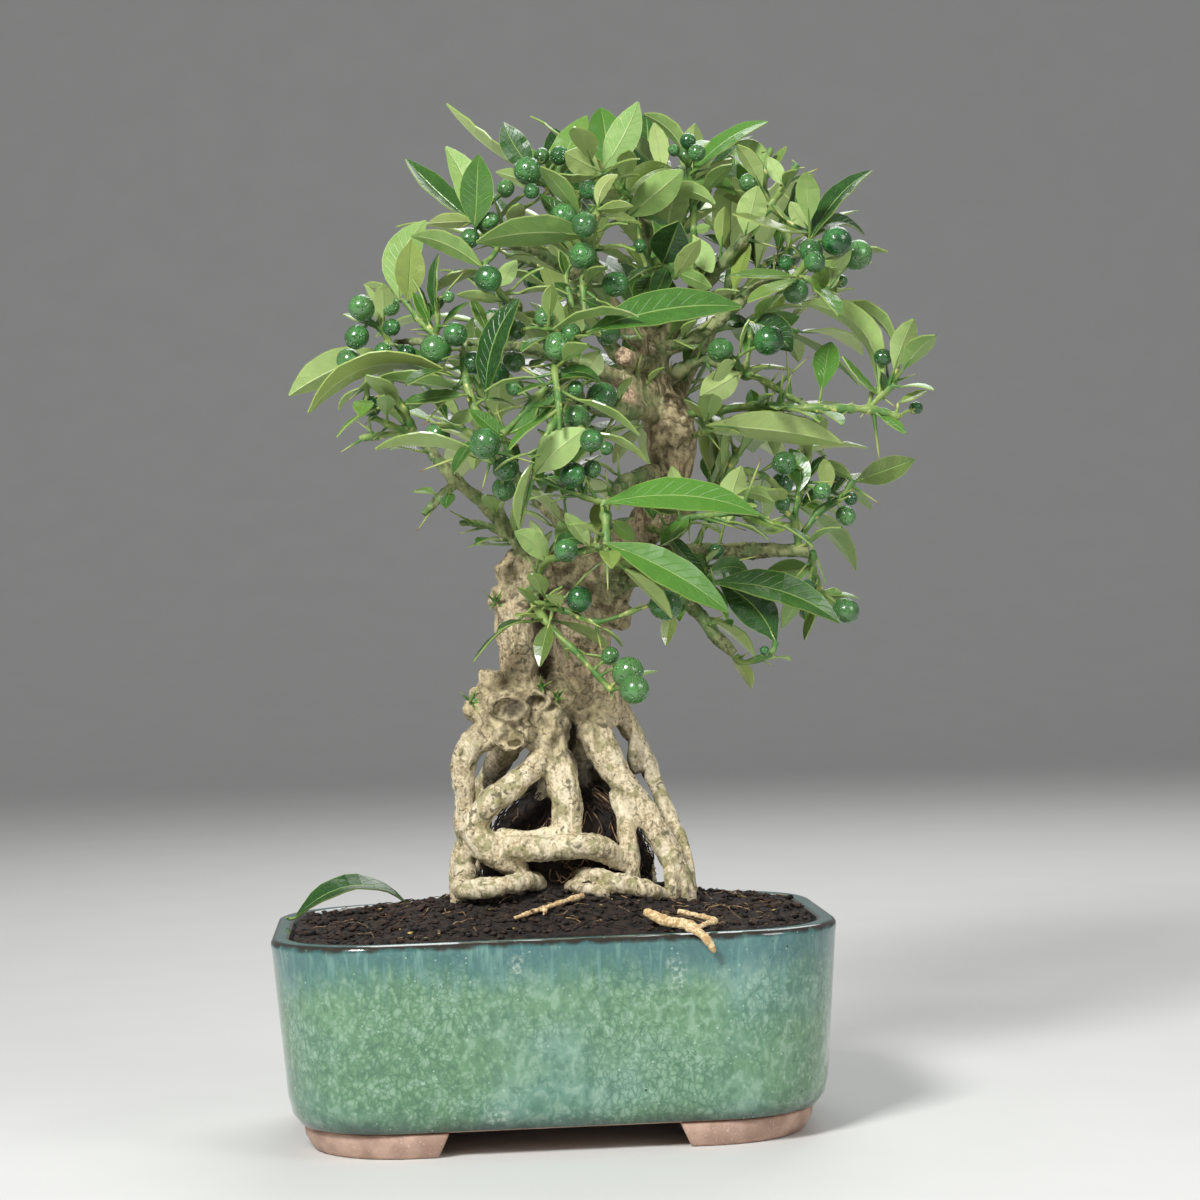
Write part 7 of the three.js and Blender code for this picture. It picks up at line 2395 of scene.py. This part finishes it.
@dataclass
class LooseLitter:
    """The fallen leaf and the two dead roots on the soil."""

    leaf_base: tuple = (-88.0, 10.0, 73.4)
    leaf_tip: tuple = (-49.0, 24.0, 76.6)

    def build(self, templates: Templates, dead: Material, skin: Material) -> list[Object]:
        """Builds the litter in place of its solids.

        Args:
            templates: the modelled leaf.
            dead: the dead roots' material.
            skin: the leaf stalk's material.

        Returns:
            The pieces.
        """
        base, tip = np.array(self.leaf_base), np.array(self.leaf_tip)
        bow_to = between(base, tip, 0.5) + UP * 16
        leaf = Leaf(base + np.array([-3, -1, 0.4]), base, tip, bow_to, 13.0, np.array([0, -0.35, 1.0]))
        blade = templates.lay_leaf(leaf, draws(LEAF_SEED))
        along = np.array([leaf.foot, base, leaf.centre_at(0.3)])
        stalk = tubes("stalk", [(along, np.array([0.7, 0.5, 0.2]))], 6, 2.0)
        paint(stalk, skin)
        fallen = join([blade, stalk], "fallen_leaf_blade")
        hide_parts("fallen_leaf")
        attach(fallen, "root")
        made = [fallen]
        draw = draws(ROOT_SEED)
        for name, rods in LOOSE_ROOTS.items():
            paths = []
            for rod in rods:
                places, radii = smooth_path(np.array(rod)[:, :3], np.array(rod)[:, 3], 1.5)
                paths.append((places, radii * np.array([0.85 + 0.35 * next(draw) for _ in radii])))
            root = tubes(name, paths, 10, 1.2)
            apply_modifier(root, "REMESH", mode="VOXEL", voxel_size=0.35 * MM)
            displace(root, "CLOUDS", 1.4, 0.5)
            root.name = f"dead_{name}"
            paint(root, dead)
            smooth(root, 60)
            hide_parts(name)
            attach(root, "root")
            made.append(root)
        return made


@dataclass
class Studio:
    """Pale floor, soft light and the camera at the photograph's viewing angle."""

    lens: float = 90.0
    turn: float = math.atan2(0.0683, 0.9977)
    roll: float = math.radians(1.88)
    sky: tuple = (0.86, 0.88, 0.9, 1)
    sky_strength: float = 0.3
    lights: tuple = (("key", (-0.55, -0.95, 0.95), 0.3, 23), ("fill", (0.85, -0.85, 0.7), 0.5, 5),
                     ("back", (0.25, 0.9, 1.1), 0.9, 9))
    lit_place: tuple = (0, 0, 0.2)

    def build(self) -> None:
        """Builds the floor, lights and camera."""
        deselect_all()
        bpy.ops.mesh.primitive_plane_add(size=8, location=placed(0, 0, 0))
        floor = bpy.context.object
        floor.name = "studio_floor"
        settle(floor)
        shape_selected(floor, lambda place: place.y > 3,
                       lambda: bpy.ops.mesh.extrude_region_move(TRANSFORM_OT_translate={"value": (0, 0, 5)}))
        apply_modifier(floor, "BEVEL", width=2.0, segments=24, limit_method="ANGLE")
        smooth(floor, 60)
        paint(floor, FloorFinish().material())
        world = bpy.data.worlds.new("studio")
        bpy.context.scene.world = world
        world.use_nodes = True
        background = world.node_tree.nodes["Background"]
        background.inputs["Color"].default_value = self.sky
        background.inputs["Strength"].default_value = self.sky_strength
        for name, place, size, power in self.lights:
            light = bpy.data.lights.new(name, "AREA")
            light.size = size
            light.energy = power
            lamp = bpy.data.objects.new(name, light)
            lamp.location = place
            aim = Vector(self.lit_place) - Vector(place)
            lamp.rotation_euler = aim.to_track_quat("-Z", "Y").to_euler()
            bpy.context.scene.collection.objects.link(lamp)
        bpy.context.scene.view_settings.view_transform = "Standard"
        self.aim_camera()

    def aim_camera(self) -> None:
        """Sets the camera at the eye point, level and slightly rolled."""
        ahead = Vector((math.sin(self.turn), math.cos(self.turn), 0))
        right = Vector((ahead.y, -ahead.x, 0))
        up = Vector(UP)
        camera = bpy.data.cameras.new("camera")
        camera.lens = self.lens
        camera.sensor_width = 36
        camera.clip_start = 0.05
        holder = bpy.data.objects.new("camera", camera)
        bpy.context.scene.collection.objects.link(holder)
        rolled_right = right * math.cos(self.roll) - up * math.sin(self.roll)
        rolled_up = right * math.sin(self.roll) + up * math.cos(self.roll)
        turn = Matrix((rolled_right, rolled_up, -ahead)).transposed().to_4x4()
        holder.matrix_world = Matrix.Translation(placed(*EYE)) @ turn
        bpy.context.scene.camera = holder


def build_sprays(templates: Templates, skin: Material, wood: Wood) -> None:
    """Grows and builds every spray, in the order in which the solids took their room.

    Args:
        templates: the modelled leaf, fruit, cap and thorn.
        skin: the twigs' material.
        wood: the roots, trunks and limbs.
    """
    room = Room()
    for rod in wood.paths():
        room.take("trunk_and_roots", balls_along(rod.points, rod.radii, TWIG_ROOM))
    grown = [GrownSpray(*row, seed=GROWTH_SEED + i) for i, row in enumerate(GROWN_SPRAYS)]
    plans = [(plan, plan.paths()) for plan in [*SPRAYS, *grown]]
    for plan, twigs in plans:
        for twig in twigs:
            room.take(plan.name, balls_along(twig.points, twig.radii, TWIG_ROOM))
    sprays = [LeafySpray(plan.name, twigs, *plan.grow(twigs, room)) for plan, twigs in plans]
    shoots = SideShoots()
    for i, spray in enumerate(sprays):
        leaves, thorns = shoots.grow(spray.name, spray.twigs, room, SHOOT_SEED + i)
        spray.leaves += leaves
        spray.thorns += thorns
    limbs = [rod for rod in wood.paths()[len(ROOTS_AND_TRUNK):] if rod.radii[-1] < 2.5]
    leaves, thorns = shoots.grow("trunk_and_roots", limbs, room, LIMB_SEED)
    sprays.append(LeafySpray(INNER_SHOOTS, [], leaves, [], thorns + wood.buds()))
    for i, spray in enumerate(sprays):
        made = spray.build(templates, skin, SPRAY_SEED + i)
        LOG.info("%s: %d leaves, %d fruits, %d thorns", made.name, len(spray.leaves), len(spray.fruits),
                 len(spray.thorns))


def main() -> None:
    """Builds every piece in order."""
    logging.basicConfig(level=logging.INFO, format="%(message)s")
    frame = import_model()
    Studio().build()

    pot = Pot()
    glaze = Glaze(pot.top, pot.foot_height)
    LOG.info("pot: %s", pot.build(glaze.material(), BareClay().material()).name)
    screen_plastic = ScreenPlastic().material()
    for side in ("left", "right"):
        paint(frame["nodes"][f"drain_screen_{side}"], screen_plastic)
    soil = SoilBed(pot)
    LOG.info("soil: %s", soil.build(Peat().material()).name)
    dark = Mottled("peat_grains", colour(20, 14, 11), colour(56, 40, 30)).material()
    pale = Mottled("pale_chips", colour(176, 158, 92), colour(112, 92, 58)).material()
    fibre = Mottled("pale_fibres", colour(158, 130, 92), colour(86, 64, 46)).material()
    soil.scatter("peat_grains", dark, 3200, (0.35, 1.5), 0.7, 21)
    soil.scatter("pale_chips", pale, 110, (0.4, 1.3), 0.5, 22)
    soil.fibres("pale_fibres", fibre, 110, (4, 20), 0.2, 23)
    soil.fibres("dark_fibres", dark, 260, (3, 12), 0.33, 24)
    soil.hairs("root_hairs", fibre, 60, 25)
    soil.hairs("dark_hairs", dark, 120, 26)

    wood = Wood()
    LOG.info("wood: %s", wood.build(Bark().material()).name)
    top = Blade(Face.TOP, colour(18, 58, 20), colour(78, 126, 44), colour(142, 172, 96), colour(160, 180, 98),
                0.27)
    under = Blade(Face.UNDER, colour(112, 150, 74), colour(178, 200, 126), colour(190, 202, 142),
                  colour(194, 204, 144), 0.42)
    cap = Mottled("fruit_cap", colour(136, 150, 88), colour(174, 174, 116), 0.6, (1.5, 3), (0.8, 2), 0.1, 0.5)
    templates = Templates(top.material(), under.material(), FruitSkin().material(), cap.material(),
                          ThornSkin().material())
    templates.model()
    skin = TwigSkin().material()
    build_sprays(templates, skin, wood)
    for piece in LooseLitter().build(templates, DeadRoot().material(), skin):
        LOG.info("litter: %s", piece.name)
    for template in templates.all():
        bpy.data.objects.remove(template)


if __name__ == "__main__":
    main()
